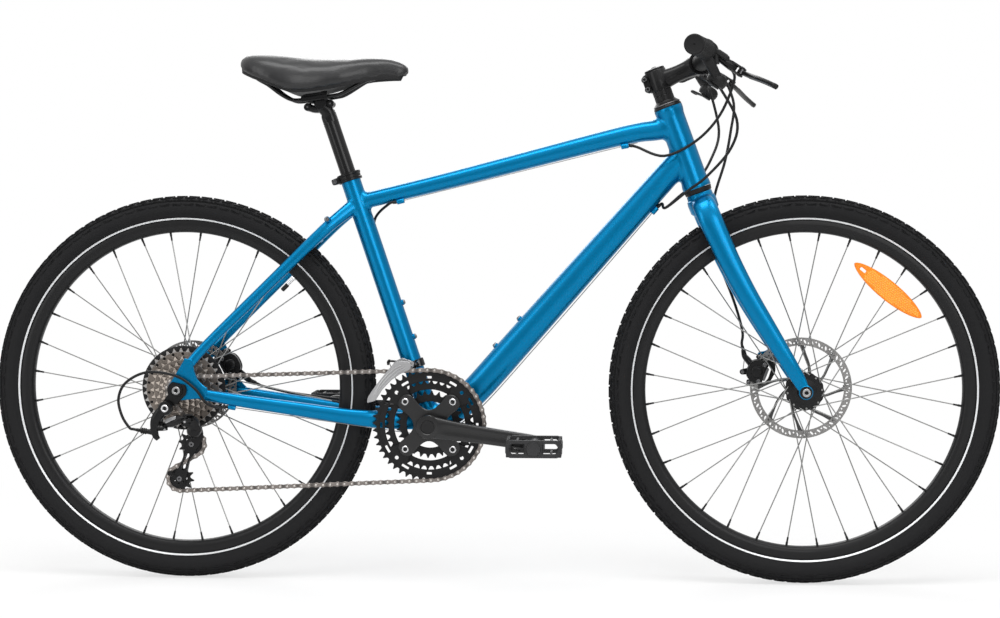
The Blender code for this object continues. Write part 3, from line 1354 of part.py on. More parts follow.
def stem():
    """Steerer clamp with two bolts behind and a stout extension up to the open half of the bar clamp."""
    middle = on_steering((STEM_BOTTOM + STEM_TOP) / 2)
    clamp = rod(on_steering(STEM_BOTTOM), on_steering(STEM_TOP), STEM_CLAMP_RADIUS, sides=14)
    back = STEM_CLAMP_RADIUS + 7 * MM
    ears = slab(middle, middle - STEER_FORWARD * back, 20 * MM, STEM_CLAMP_HEIGHT - 2 * MM, STEER_UP)
    slit = slab(middle, middle - STEER_FORWARD * back * 1.5, 2 * MM, STEM_CLAMP_HEIGHT * 2, STEER_UP)
    extension = tube([STEM_ROOT, STEM_ROOT + STEM_AIM * 30 * MM, BAR_CENTRE - STEM_AIM * 12 * MM],
                     [(16 * MM, 17 * MM), (15 * MM, 15.5 * MM), (20 * MM, 18 * MM)], sides=8, power=2.6)
    barrel, bar_hole, other = bar_clamp_half(front=False)
    steerer_hole = rod(on_steering(STEM_BOTTOM - 5 * MM), on_steering(STEM_TOP + 5 * MM),
                       around(STEERER_RADIUS, 12), sides=12)
    bolts = []
    for height in (9 * MM, 27 * MM):
        spot = on_steering(STEM_BOTTOM + height, -back + 4 * MM)
        bolts.append(rod(spot - LEFT * 13 * MM, spot + LEFT * 13 * MM, 4 * MM, sides=6))
    body = boolean(clamp, [ears, extension, barrel], "UNION")
    boolean(body, [other, bar_hole, steerer_hole, slit], "DIFFERENCE")
    return node("stem", BLACK_PAINT, [body, *bolts], flat=True)


def stem_faceplate():
    barrel, bar_hole, other = bar_clamp_half(front=True)
    return node("stem_faceplate", BLACK_PAINT, [barrel], [other, bar_hole])


def stem_cap():
    base = STEM_TOP + GAP
    profile = [(0, STEM_TOP - 12 * MM), (9 * MM, STEM_TOP - 12 * MM), (9 * MM, base), (18 * MM, base),
               (17 * MM, base + 4 * MM), (0, base + 4 * MM)]
    return node("stem_cap", BLACK_PAINT, [lathe(profile, STEER_FOOT, STEER_UP, steps=12)])


BAR_RUN = (
    # side, forward and up from the clamp in mm
    (0, 0, 0),
    (26, 0, 0),
    (50, 2, 1.5),
    (85, 8, 6),
    (120, 11, 8.5),
    (150, 7, 8.8),
    (BAR_HALF_WIDTH / MM, -24, 5),
)


def bar_point(y):
    """The bar's centre at a side distance, from the run's points."""
    reach = abs(y) / MM
    for (y0, x0, z0), (y1, x1, z1) in zip(BAR_RUN, BAR_RUN[1:]):
        share = (reach - y0) / (y1 - y0)
        if share <= 1:
            break
    return BAR_CENTRE + Vector((x0 + (x1 - x0) * share, 0, z0 + (z1 - z0) * share)) * MM + LEFT * y


def handlebar():
    half = [y * MM for y, _, _ in BAR_RUN]
    radii = [BAR_CLAMP_RADIUS, BAR_CLAMP_RADIUS, BAR_RADIUS + 3 * MM] + [BAR_RADIUS] * (len(half) - 3)
    points = [bar_point(y) for y in [-y for y in reversed(half[1:])] + half]
    return node("handlebar", BLACK_PAINT, [round_tube(points, radii[:0:-1] + radii, sides=12)])


def grip(side):
    """A rubber sleeve with a flange inside and a closed end."""
    end = side * (BAR_HALF_WIDTH + 2 * MM)
    start = end - side * GRIP_LENGTH
    inside, outside = bar_point(start), bar_point(side * BAR_HALF_WIDTH) + LEFT * side * 2 * MM
    along = (outside - inside).normalized()
    whole = (outside - inside).length
    bore, wall = around(BAR_RADIUS, 12), GRIP_RADIUS
    profile = [(bore, 0), (wall + 2 * MM, 0), (wall + 2 * MM, 4 * MM), (wall - 0.5 * MM, 6 * MM),
               (wall + 0.5 * MM, whole - 6 * MM), (wall - 2 * MM, whole), (bore, whole)]
    name = "grip_right" if side < 0 else "grip_left"
    return node(name, RUBBER, [lathe(profile, inside, along, steps=12)])


LEVER_OUT = Vector((math.cos(LEVER_SLOPE), 0, -math.sin(LEVER_SLOPE)))
LEVER_NORMAL = Vector((math.sin(LEVER_SLOPE), 0, math.cos(LEVER_SLOPE)))
LEVER_PIVOT_REACH = 64 * MM


def lever_point(side, reach, y, lift=0.0):
    """A point on a brake lever's plane, from its distance ahead of the bar and its side."""
    return bar_point(side * PERCH_Y) + LEVER_OUT * reach + LEFT * side * (y - PERCH_Y) + LEVER_NORMAL * lift


def bar_heading(y):
    return (bar_point(y + 5 * MM) - bar_point(y - 5 * MM)).normalized()


def bar_band(y, width, wall):
    """A band round the bar, and the cutter that keeps the bar's own room in it."""
    along, centre, bore = bar_heading(y), bar_point(y), around(BAR_RADIUS, 12)
    band = rod(centre - along * width / 2, centre + along * width / 2, bore + wall, sides=12)
    return band, rod(centre - along * 20 * MM, centre + along * 20 * MM, bore, sides=12)


LEVER_PIN_RADIUS = 2.5 * MM
LEVER_HALF = 3.9 * MM
PIVOT_Y = PERCH_Y - 6 * MM
PERCH_EAR = 3.6 * MM


def brake_perch(side):
    """The lever's bracket: a band on the bar, a body reaching forward and a fork for the lever's pivot."""
    band, bar_room = bar_band(side * PERCH_Y, 13 * MM, 5 * MM)
    body = tube([lever_point(side, 8 * MM, PERCH_Y), lever_point(side, 34 * MM, PERCH_Y - 6 * MM),
                 lever_point(side, 52 * MM, PERCH_Y - 8 * MM)],
                [(5 * MM, 6 * MM), (7 * MM, 9 * MM), (8 * MM, 8.5 * MM)], sides=8, power=3, across=LEVER_NORMAL)
    barrel = rod(lever_point(side, 47 * MM, PERCH_Y - 12 * MM), lever_barrel(side), 5.5 * MM, sides=6,
                 end_radius=4.5 * MM)
    ears = []
    for sign in (1, -1):
        lift = sign * (LEVER_HALF + GAP + PERCH_EAR / 2)
        ears.append(slab(lever_point(side, 46 * MM, PIVOT_Y, lift),
                         lever_point(side, LEVER_PIVOT_REACH + 6 * MM, PIVOT_Y, lift), 14 * MM, PERCH_EAR, LEVER_NORMAL))
    pivot = lever_point(side, LEVER_PIVOT_REACH, PIVOT_Y)
    pin = rod(pivot - LEVER_NORMAL * 7 * MM, pivot + LEVER_NORMAL * 7 * MM, LEVER_PIN_RADIUS, sides=6)
    boolean(band, [body, barrel, *ears], "UNION")
    boolean(band, [bar_room], "DIFFERENCE")
    return node("brake_perch_right" if side < 0 else "brake_perch_left", BLACK_PAINT, [band, pin], flat=True)


def lever_barrel(side):
    """The inner end of the lever's barrel adjuster, where the brake cable leaves."""
    return lever_point(side, 47 * MM, PERCH_Y - 34 * MM)


BLADE_RUN = (
    # distance ahead of the pivot, side from the pivot, half width, in mm
    (-5, 0, 5),
    (3, 2, 6.5),
    (14, 20, 5.5),
    (33, 66, 6),
    (48, 93, 6.5),
    (61, 109, 3),
)


def brake_lever(side):
    """A blade that curves outwards from its pivot, ending in a rounded tip."""
    points = [lever_point(side, LEVER_PIVOT_REACH + ahead * MM, PIVOT_Y + out * MM) for ahead, out, _ in BLADE_RUN]
    blade = tube(points, [(LEVER_HALF, wide * MM) for *_, wide in BLADE_RUN], sides=8, power=3, across=LEVER_NORMAL)
    pivot = lever_point(side, LEVER_PIVOT_REACH, PIVOT_Y)
    hole = rod(pivot - LEVER_NORMAL * 12 * MM, pivot + LEVER_NORMAL * 12 * MM, around(LEVER_PIN_RADIUS, 6), sides=6)
    return node("brake_lever_right" if side < 0 else "brake_lever_left", BLACK_PAINT, [blade], [hole])


POD_DROP = 30 * MM
POD_REACH = 42 * MM
POD_INSET = 24 * MM
POD_RADIUS = 18 * MM
POD_HALF = 9 * MM
STUD_RADIUS = 3 * MM


def shifter_centre(side):
    """The middle of a shifter's round pod, below and ahead of the bar."""
    return (bar_point(side * SHIFTER_Y) + LEVER_OUT * POD_REACH - LEVER_NORMAL * POD_DROP - LEFT * side * POD_INSET)


def shifter_spigot(side):
    """The inner end of the shifter's spigot, where the gear cable leaves."""
    return shifter_centre(side) - LEFT * side * 28 * MM


def shifter(side):
    """A round pod under the bar, with its clamp band, the cable's spigot and the lever's stud."""
    y = side * (SHIFTER_Y - 3 * MM)
    band, bar_room = bar_band(y, 9 * MM, 4 * MM)
    centre = shifter_centre(side)
    pod = lathe([(0, -POD_HALF), (POD_RADIUS - 2 * MM, -POD_HALF), (POD_RADIUS, 0), (POD_RADIUS - 4 * MM, POD_HALF),
                 (0, POD_HALF)], centre, LEVER_NORMAL, steps=12)
    neck = rod(bar_point(y) + LEVER_OUT * 3 * MM - LEVER_NORMAL * 9 * MM, centre, 6 * MM, sides=8, end_radius=8 * MM)
    spigot = rod(centre - LEFT * side * 12 * MM, shifter_spigot(side), 4.5 * MM, sides=6)
    stud = rod(centre, centre - LEVER_NORMAL * (POD_HALF + 4.5 * MM), STUD_RADIUS, sides=6)
    name = "shifter_right" if side < 0 else "shifter_left"
    return node(name, BLACK_PLASTIC, [band, neck, pod, spigot, stud], [bar_room], solver="MANIFOLD")


def shift_lever(side):
    """The thumb lever below the pod: a hub on the stud and a paddle that reaches out to the rider."""
    centre = shifter_centre(side) - LEVER_NORMAL * (POD_HALF + GAP)
    hub_part = rod(centre, centre - LEVER_NORMAL * 4 * MM, 10 * MM, sides=8)
    run = ((6, 3, 2), (20, 16, 3), (38, 24, 4))
    points = [centre + LEFT * side * out * MM - LEVER_OUT * back * MM - LEVER_NORMAL * down * MM
              for out, back, down in run]
    paddle = tube(points, [(2 * MM, 4 * MM), (2 * MM, 5 * MM), (2.5 * MM, 6.5 * MM)], sides=6, power=2,
                  across=LEVER_NORMAL)
    hole = rod(centre - LEVER_NORMAL * 9 * MM, centre + LEVER_NORMAL * 5 * MM, around(STUD_RADIUS, 6), sides=6)
    return node("shift_lever_right" if side < 0 else "shift_lever_left", BLACK_PLASTIC, [hub_part, paddle], [hole])


# Brakes

CALIPER_SIZE = (44 * MM, 34 * MM)
FRONT_CALIPER = at(470, 372)
REAR_CALIPER = at(-478, 379)
CALIPER_INNER_REACH = 13 * MM
ARM_PIN_RADIUS = 4 * MM
ARM_REACH = 24 * MM
ARM_THICKNESS = 4 * MM
FRONT_ARM_AIM = Vector((-0.99, 0, -0.14))
REAR_ARM_AIM = Vector((-0.24, 0, -0.97))


def arm_face(tab_y):
    """The inner side of the cable arm that turns outside a caliper's tab."""
    return tab_y + TAB_THICKNESS / 2 + 2 * GAP


FRONT_FERRULE = (at(450, 397), at(447.5, 408))
REAR_FERRULE = (at(-448, 347), at(-437, 342.5))
FRONT_FERRULE_Y = arm_face(FRONT_TAB_Y) + ARM_THICKNESS
REAR_FERRULE_Y = arm_face(REAR_TAB_Y) + ARM_THICKNESS


def caliper(name, centre, wheel_centre, rotor_y, rotor_radius, tab_y, ferrule):
    """A caliper that straddles the disc's edge, seated on its tab's inner side, with a drum, a pin and a ferrule."""
    out = (centre - wheel_centre).normalized()
    along = LEFT.cross(out)
    half_l, half_h = CALIPER_SIZE[0] / 2, CALIPER_SIZE[1] / 2
    inner_y, outer_y = rotor_y - CALIPER_INNER_REACH, tab_y - TAB_THICKNESS / 2 - GAP
    outline = [(half_l, -half_h), (half_l, half_h - 8 * MM), (half_l - 10 * MM, half_h), (-half_l + 10 * MM, half_h),
               (-half_l, half_h - 8 * MM), (-half_l, -half_h)]
    place = axes_matrix(centre + LEFT * (inner_y + outer_y) / 2, along, out)
    body = plate(outline, outer_y - inner_y, place)
    slot = rod(wheel_centre + LEFT * (rotor_y - 2.2 * MM), wheel_centre + LEFT * (rotor_y + 2.2 * MM),
               rotor_radius + 3 * MM, sides=24)
    face = arm_face(tab_y)
    drum = rod(centre + LEFT * (outer_y - 3 * MM), centre + LEFT * (face - GAP), 12 * MM, sides=10)
    pin = rod(centre + LEFT * outer_y, centre + LEFT * (face + ARM_THICKNESS + 2 * MM), ARM_PIN_RADIUS, sides=6)
    low, high = ferrule
    root = centre + (low - centre) * 0.45 + LEFT * (outer_y - 4 * MM)
    spots = [root, low + LEFT * (face + ARM_THICKNESS), high + LEFT * (face + ARM_THICKNESS)]
    holder = round_tube(spots, [6 * MM, 5 * MM, 4 * MM], sides=6)
    return node(name, BLACK_PAINT, [body, drum, pin, holder], [slot], flat=True)


def brake_arm(name, centre, tab_y, aim):
    """The caliper's cable arm: an eye on the post and a tapered lever to the cable's clamp."""
    along = aim.normalized()
    outline = [*arc((0, 0), 9.5 * MM, 60, 300, 6), *arc((ARM_REACH, 0), 5 * MM, -60, 60, 3)]
    hole = circle((0, 0), around(ARM_PIN_RADIUS, 6), 6)
    place = axes_matrix(centre + LEFT * (arm_face(tab_y) + ARM_THICKNESS / 2), along, LEFT.cross(along))
    return node(name, BLACK_PAINT, [plate(outline, ARM_THICKNESS, place, holes=[hole])])


# Seat

def seatpost():
    """The post, with its head: a round bed that the saddle clamp tilts on, and the ear of its rear bolt."""
    lower = on_seat_tube(SEAT_TUBE_LENGTH - POST_BORE_DEPTH + 112 * MM)
    reach = (SEAT_HEAD.z - BOTTOM_BRACKET.z) / math.sin(SEAT_ANGLE) - 8 * MM
    post = rod(lower, on_seat_tube(reach - 6 * MM), POST_RADIUS, sides=14)
    head = rod(SEAT_HEAD - LEFT * 17 * MM, SEAT_HEAD + LEFT * 17 * MM, SEAT_HEAD_RADIUS, sides=14)
    neck = tube([on_seat_tube(reach - 26 * MM), on_seat_tube(reach - 8 * MM), SEAT_HEAD - UP * 2 * MM],
                [(POST_RADIUS - 0.4 * MM, POST_RADIUS - 0.4 * MM), (14 * MM, 13 * MM), (15 * MM, 9 * MM)],
                sides=8, power=2.6)
    ear = tube([SEAT_HEAD + step(-2, -8), SEAT_HEAD + step(-20, -15), SEAT_HEAD + step(-28, -15)],
               [(12 * MM, 5 * MM), (10 * MM, 4.5 * MM), (9 * MM, 4 * MM)], sides=8, power=3)
    return node("seatpost", BLACK_PAINT, [post, neck, head, ear], flat=True)


RAIL_LINE = Vector((math.cos(RAIL_SLOPE), 0, math.sin(RAIL_SLOPE)))
RAIL_MIDDLE = at(-312, 855)


def saddle_clamp():
    """The cradle on the post's head, grooved for both rails, with its upper bolt."""
    up = Vector((-RAIL_LINE.z, 0, RAIL_LINE.x))
    place = axes_matrix(RAIL_MIDDLE, RAIL_LINE, up)
    half = RAIL_Y + 7 * MM
    block = plate([(-22 * MM, -6 * MM), (-10 * MM, -9 * MM), (14 * MM, -9 * MM), (24 * MM, -6 * MM), (24 * MM, 6 * MM),
                   (-22 * MM, 7 * MM)], 2 * half, place)
    bed = rod(SEAT_HEAD - LEFT * half * 2, SEAT_HEAD + LEFT * half * 2, around(SEAT_HEAD_RADIUS, 14), sides=14)
    cut = [bed]
    for side in (1, -1):
        middle = RAIL_MIDDLE + LEFT * side * RAIL_Y
        cut.append(rod(middle - RAIL_LINE * 60 * MM, middle + RAIL_LINE * 60 * MM, around(RAIL_RADIUS, 8), sides=8))
    bolt_at = RAIL_MIDDLE + RAIL_LINE * 15 * MM
    bolt = rod(bolt_at + up * 3 * MM, bolt_at + up * 12 * MM, 6 * MM, sides=6)
    return node("saddle_clamp", BLACK_PAINT, [block, bolt], cut, flat=True)


RAIL_RUN = (
    # forward, up, side in mm, from the tail to the nose
    (-420, 895.4, 40),
    (-392, 878, 32),
    (-371, 862, 25),
    (-352, 850.5, 22),
    (-335, 852, 22),
    (-280, 859.2, 22),
    (-262, 864, 21),
    (-230, 882.5, 14),
    (-214, 890.4, 7),
    (-210, 892.7, 0),
)


def saddle_rails():
    """One bent wire: from the tail under the seat, round the nose and back."""
    near = [at(x, z, -y) for x, z, y in RAIL_RUN]
    far = [at(x, z, y) for x, z, y in reversed(RAIL_RUN[:-1])]
    points = near + far
    return node("saddle_rails", BLACK_PAINT, [round_tube(points, [RAIL_RADIUS] * len(points), sides=6)])


SADDLE_RUN = (
    # forward, half width, lower edge, edge crease, top of the crown in mm
    (-443, 26, 905, 912, 922),
    (-436, 50, 899, 908, 929),
    (-420, 70, 891, 903, 933),
    (-385, 82, 878, 893, 931),
    (-345, 80, 864, 884, 925.5),
    (-300, 62, 868, 886, 921),
    (-262, 40, 876, 893, 922.5),
    (-220, 27, 884, 899, 926.5),
    (-185, 22, 890, 902, 925),
    (-160, 17, 893.5, 900, 915.5),
    (-149, 8, 896.5, 899, 905),
)


def saddle():
    """The padded seat: a wide crowned tail that draws in to a narrow nose, on a hollow shell."""
    loops = []
    for x, wide, low, crease, crown in SADDLE_RUN:
        loop = []
        for share, z in ((0, low + 11), (0.6, low + 8), (0.93, low), (1.0, crease), (0.9, (crease + crown * 2) / 3),
                         (0.55, crown - 1.5), (0, crown)):
            loop.append((share * wide, z))
        half = [at(x, z, y) for y, z in loop]
        loops.append(half + [at(x, z, -y) for y, z in reversed(loop[1:-1])])
    return node("saddle", VINYL, [loft(loops)])


# Cables

CABLE_BEND = math.radians(16)
CABLE_STEPS = 3
WIRE_SPOTS = (160, 66, -30, -75)


def bent(points):
    """The smooth curve through the points, straight in its end spans and without points where it barely turns."""
    route = smooth(points, CABLE_STEPS)
    first, last = CABLE_STEPS, len(route) - 1 - CABLE_STEPS
    kept = [route[0]]
    for i in range(first, last + 1):
        turn = (route[i] - kept[-1]).angle(route[i + 1] - route[i])
        if i in (first, last) or turn > CABLE_BEND:
            kept.append(route[i])
    return [*kept, route[-1]]


def cable(name, points, wire=None):
    """A housing on a smooth curve, thinned to its bare wire, straight from point to point, between two numbers."""
    first, after = wire or (len(points), len(points))
    spots = [(p, HOUSING_RADIUS) for p in bent(points[:first])]
    spots += [(p, WIRE_RADIUS) for p in points[first:after]]
    if after < len(points):
        spots += [(p, HOUSING_RADIUS) for p in bent(points[after:])]
    return node(name, RUBBER, [round_tube([p for p, _ in spots], [r for _, r in spots], sides=5)])


def rear_brake_route():
    """Right lever, under the top tube, past the seat tube's left and along the chainstay to the rear caliper."""
    start = lever_barrel(-1) + LEFT * GAP
    front, front_way = top_stop(0)
    rear, rear_way = top_stop(1)
    end = REAR_FERRULE[1] + LEFT * REAR_FERRULE_Y
    way = (REAR_FERRULE[1] - REAR_FERRULE[0]).normalized()
    return [start, start + LEFT * 14 * MM, at(420, 878, -84), at(398, 822, -50), at(358, 778, -38), at(303, 752, -31),
            front + front_way * 21 * MM - UP * 5 * MM, front + front_way * 7 * MM, front - front_way * 9 * MM,
            rear + rear_way * 9 * MM, rear - rear_way * 7 * MM, rear - rear_way * 22 * MM, at(-212, 640, 24),
            at(-207, 590, 25), at(-180, 500, 24), at(-148, 400, 24), at(-140, 345, 27), at(-155, 315, 34),
            at(-200, 313, 48), at(-270, 315, 54), at(-360, 325, 60), at(-400, 332, 67), end + way * 12 * MM,
            end + way * GAP]


def front_brake_route():
    """Left lever, past the crown's front and down the outside of the left leg to the front caliper."""
    start = lever_barrel(1) - LEFT * GAP
    end = FRONT_FERRULE[1] + LEFT * FRONT_FERRULE_Y
    way = (FRONT_FERRULE[1] - FRONT_FERRULE[0]).normalized()
    return [start, start - LEFT * 14 * MM, at(430, 850, 92), at(424, 800, 76), at(413, 745, 60), at(396, 690, 50),
            at(388, 640, 60), at(388, 605, 68), at(402, 568, 71), at(431, 495, 71), at(446, 442, 66),
            end + way * 12 * MM, end + way * GAP]


def rear_shift_route():
    """Right shifter, round the head tube, bare under the down tube and the shell, then the loop behind the axle."""
    start = shifter_spigot(-1) + LEFT * GAP
    stop, way = down_stop(-1)
    last, last_way = rear_stop()
    wires = [under_tube(DOWN_TUBE_RUN, x, STOP_TURN / 2, 4 * MM)[0] for x in WIRE_SPOTS]
    return [start, start + LEFT * 12 * MM, at(424, 812, -92), at(416, 764, -72), at(376, 716, -48), at(342, 690, -38),
            at(306, 662, -20), stop + way * 20 * MM - UP * 3 * MM, stop + way * 7 * MM, stop - way * 9 * MM,
            *wires, at(-92, 258.5, -8), at(-122, 259, -11), last + last_way * 9 * MM, last - last_way * 7 * MM, at(-480, 312, -72),
            at(-498, 322, -80), at(-516, 346, -83), at(-550, 368, -82), at(-600, 374, -81), at(-638, 356, -80),
            at(-652, 328, -80), at(-646, 298, -82), at(-632, 277, -85), BARREL + step(-12, 2.1),
            BARREL + step(-0.4, 0.07)]


def front_shift_route():
    """Left shifter, round the head tube, bare under the down tube and up behind the seat tube."""
    start = shifter_spigot(1) - LEFT * GAP
    stop, way = down_stop(1)
    wires = [under_tube(DOWN_TUBE_RUN, x, -STOP_TURN / 2, 4 * MM)[0] for x in WIRE_SPOTS]
    return [start, start - LEFT * 12 * MM, at(404, 800, 96), at(388, 748, 66), at(362, 708, 48), at(334, 685, 36),
            at(306, 662, 20), stop + way * 20 * MM - UP * 3 * MM, stop + way * 7 * MM, stop - way * 9 * MM,
            *wires, at(-90, 258.5, 6), at(-112, 257, 3), at(-133, 266, -3), at(-150, 306, -9),
            FRONT_WIRE_ARM - UP * 2.5 * MM]


def cables():
    """Each cable from the handlebar to what it pulls. The numbers are its first bare point and the one after them."""
    cable("rear_brake_cable", rear_brake_route(), (8, 10))
    cable("front_brake_cable", front_brake_route())
    cable("rear_shift_cable", rear_shift_route(), (9, 17))
    cable("front_shift_cable", front_shift_route(), (9, 19))


JOINT_ORIGINS = {
    "front_wheel": FRONT_AXLE, "front_tyre": FRONT_AXLE, "front_rotor": FRONT_AXLE, "rear_wheel": REAR_AXLE,
    "rear_tyre": REAR_AXLE, "rear_rotor": REAR_AXLE, "cassette": REAR_AXLE, "chainrings": BOTTOM_BRACKET,
    "crank_right": BOTTOM_BRACKET, "crank_left": BOTTOM_BRACKET, "crank_spindle": BOTTOM_BRACKET,
    "pedal_right": pedal_axis(-1), "pedal_left": pedal_axis(1), "guide_pulley": GUIDE_PULLEY,
    "tension_pulley": TENSION_PULLEY, "derailleur_cage": CAGE_PIVOT, "derailleur_knuckle": LINK_HEAD,
    "derailleur_link": LINK_FOOT, "front_derailleur_cage": SWING_PIVOT, "front_brake_arm": FRONT_CALIPER,
    "rear_brake_arm": REAR_CALIPER, "fork": STEER_FOOT, "seatpost": SEAT_TOP, "saddle_clamp": SEAT_HEAD,
    "brake_lever_right": lever_point(-1, LEVER_PIVOT_REACH, PIVOT_Y),
    "brake_lever_left": lever_point(1, LEVER_PIVOT_REACH, PIVOT_Y),
    "shift_lever_right": shifter_centre(-1), "shift_lever_left": shifter_centre(1),
}


def place_origins():
    """Moves each of these pieces' origins onto its joint's axis, with its surface left where it is."""
    for name, point in JOINT_ORIGINS.items():
        item = bpy.data.objects[name]
        item.data.transform(Matrix.Translation(-point))
        item.location = point


def build():
    clear_scene()
    frame()
    headset_cup("headset_lower_cup", on_steering(HEAD_BOTTOM), -STEER_UP)
    headset_cup("headset_upper_cup", on_steering(HEAD_TOP), STEER_UP)
    bottom_bracket()
    seat_clamp()
    derailleur_hanger()
    axle("rear_axle", REAR_AXLE, REAR_SPACING, 20 * MM)
    axle("front_axle", FRONT_AXLE, FRONT_SPACING, 14 * MM)
    for name, centre, sizes in (("front", FRONT_AXLE, FRONT_HUB), ("rear", REAR_AXLE, REAR_HUB)):
        wheel(name + "_wheel", centre, sizes)
        tyre(name + "_tyre", centre)
    rotor("front_rotor", FRONT_AXLE, FRONT_ROTOR_RADIUS, FRONT_ROTOR_Y, FRONT_HUB["body"])
    rotor("rear_rotor", REAR_AXLE, REAR_ROTOR_RADIUS, REAR_ROTOR_Y, REAR_HUB["body"])
    spoke_protector()
    wheel_reflector()
    chain()
    chainrings()
    for side in (1, -1):
        crank(side)
        pedal(side)
        grip(side)
        brake_perch(side)
        brake_lever(side)
        shifter(side)
        shift_lever(side)
    spindle()
    cassette()
    derailleur_mount()
    derailleur_link()
    derailleur_knuckle()
    derailleur_cage()
    pulley("guide_pulley", GUIDE_PULLEY, 2)
    pulley("tension_pulley", TENSION_PULLEY, 1)
    front_clamp()
    front_cage()
    fork()
    headset_spacers()
    stem()
    stem_faceplate()
    stem_cap()
    handlebar()
    caliper("front_brake_caliper", FRONT_CALIPER, FRONT_AXLE, FRONT_ROTOR_Y, FRONT_ROTOR_RADIUS, FRONT_TAB_Y,
            FRONT_FERRULE)
    caliper("rear_brake_caliper", REAR_CALIPER, REAR_AXLE, REAR_ROTOR_Y, REAR_ROTOR_RADIUS, REAR_TAB_Y, REAR_FERRULE)
    brake_arm("front_brake_arm", FRONT_CALIPER, FRONT_TAB_Y, FRONT_ARM_AIM)
    brake_arm("rear_brake_arm", REAR_CALIPER, REAR_TAB_Y, REAR_ARM_AIM)
    seatpost()
    saddle_clamp()
    saddle_rails()
    saddle()
    cables()
    place_origins()


build()
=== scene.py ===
"""Looks for the flat-bar bicycle: each piece modelled and finished as the real one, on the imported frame.

+X is forward, +Y is the rider's left, +Z is up, and the ground is at zero. Sizes are in millimetres, and each
piece is turned into metres when it is done.
"""
import math

import bmesh
import bpy
from mathutils import Matrix, Vector
from mathutils.bvhtree import BVHTree
from mathutils.geometry import tessellate_polygon


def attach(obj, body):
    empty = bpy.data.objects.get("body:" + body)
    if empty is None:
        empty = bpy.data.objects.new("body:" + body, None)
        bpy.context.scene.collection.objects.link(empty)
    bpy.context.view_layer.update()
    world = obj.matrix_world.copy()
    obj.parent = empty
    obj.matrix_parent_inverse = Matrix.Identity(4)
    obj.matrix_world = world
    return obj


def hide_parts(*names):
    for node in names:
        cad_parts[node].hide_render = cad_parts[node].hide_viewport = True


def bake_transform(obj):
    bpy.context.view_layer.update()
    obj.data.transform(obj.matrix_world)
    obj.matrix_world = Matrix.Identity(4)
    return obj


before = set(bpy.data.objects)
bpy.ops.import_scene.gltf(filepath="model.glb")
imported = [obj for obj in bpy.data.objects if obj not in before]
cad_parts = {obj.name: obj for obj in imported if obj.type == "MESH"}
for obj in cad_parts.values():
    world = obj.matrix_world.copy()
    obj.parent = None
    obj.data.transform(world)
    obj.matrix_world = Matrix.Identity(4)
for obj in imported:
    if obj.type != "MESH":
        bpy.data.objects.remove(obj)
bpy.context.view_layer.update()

# The frame is welded from hydroformed aluminium tubes, and its weld beads are filed smooth before it is
# painted. Metallic blue lies under a clear lacquer. Stays, dropouts, brake tab, cable stops and bosses belong
# to it.

MM = 0.001
TURN = 2 * math.pi
LEFT = Vector((0, 1, 0))
UP = Vector((0, 0, 1))
FORWARD = Vector((1, 0, 0))


def at(x, z, y=0.0):
    """A point forward, up and to the left."""
    return Vector((x, y, z))


def polar(angle, radius, y=0.0):
    """A point at an angle in degrees in the side view."""
    turn = math.radians(angle)
    return Vector((radius * math.cos(turn), y, radius * math.sin(turn)))


def axes(origin, x_axis, y_axis):
    """A matrix whose local X and Y run along the given directions."""
    x_axis = x_axis.normalized()
    z_axis = x_axis.cross(y_axis).normalized()
    turned = Matrix((x_axis, z_axis.cross(x_axis), z_axis)).transposed().to_4x4()
    return Matrix.Translation(origin) @ turned


def side_view(origin=Vector((0, 0, 0)), y=0.0):
    """Local X forward and local Y up, on a plane of the side view."""
    return axes(origin + LEFT * y, FORWARD, UP)


def curve_through(rows, per_span=6):
    """Rows of numbers interpolated along a smooth curve through them."""
    ends = [[2 * a - b for a, b in zip(rows[0], rows[1])], *rows,
        [2 * a - b for a, b in zip(rows[-1], rows[-2])]]
    found = []
    for i in range(1, len(ends) - 2):
        for k in range(per_span):
            t = k / per_span
            row = []
            for a, b, c, d in zip(*ends[i - 1 : i + 3]):
                bend = 2 * b + (c - a) * t + (2 * a - 5 * b + 4 * c - d) * t**2
                row.append((bend + (3 * b - a - 3 * c + d) * t**3) / 2)
            found.append(row)
    return [*found, list(rows[-1])]


def smooth(points, per_span=6):
    return [Vector(p) for p in curve_through([tuple(p) for p in points], per_span)]


def strip(bm, one, other, look=0):
    """Quads between two loops of corners."""
    for i in range(len(one)):
        j = (i + 1) % len(one)
        bm.faces.new((one[i], one[j], other[j], other[i])).material_index = look


def skin(bm, loops, look=0, capped=True):
    """Quads over loops of equally many points, with capped ends."""
    rings = [[bm.verts.new(p) for p in loop] for loop in loops]
    for one, other in zip(rings, rings[1:]):
        strip(bm, one, other, look)
    if capped:
        bm.faces.new(rings[0]).material_index = look
        bm.faces.new(rings[-1][::-1]).material_index = look


def oval(centre, across, upward, wide, tall, sides, power=2.0):
    """A loop round a centre: an ellipse at power 2 and a rounded box above it."""
    loop = []
    for i in range(sides):
        c, s = math.cos(TURN * i / sides), math.sin(TURN * i / sides)
        x = math.copysign(abs(c) ** (2 / power), c) * wide
        y = math.copysign(abs(s) ** (2 / power), s) * tall
        loop.append(centre + across * x + upward * y)
    return loop


def heading(points, i):
    """The direction of a line of points at one of them."""
    return (points[min(i + 1, len(points) - 1)] - points[max(i - 1, 0)]).normalized()


def tube_loops(points, sizes, sides=32, power=2.0, across=LEFT):
    loops = []
    for i, p in enumerate(points):
        along = heading(points, i)
        side = (across - along * across.dot(along)).normalized()
        loops.append(oval(p, side, along.cross(side), *sizes[i], sides, power))
    return loops


def tube(bm, points, sizes, sides=32, power=2.0, across=LEFT, look=0):
    """A tube whose sizes are half widths along `across` and half heights square to it."""
    skin(bm, tube_loops(points, sizes, sides, power, across), look)


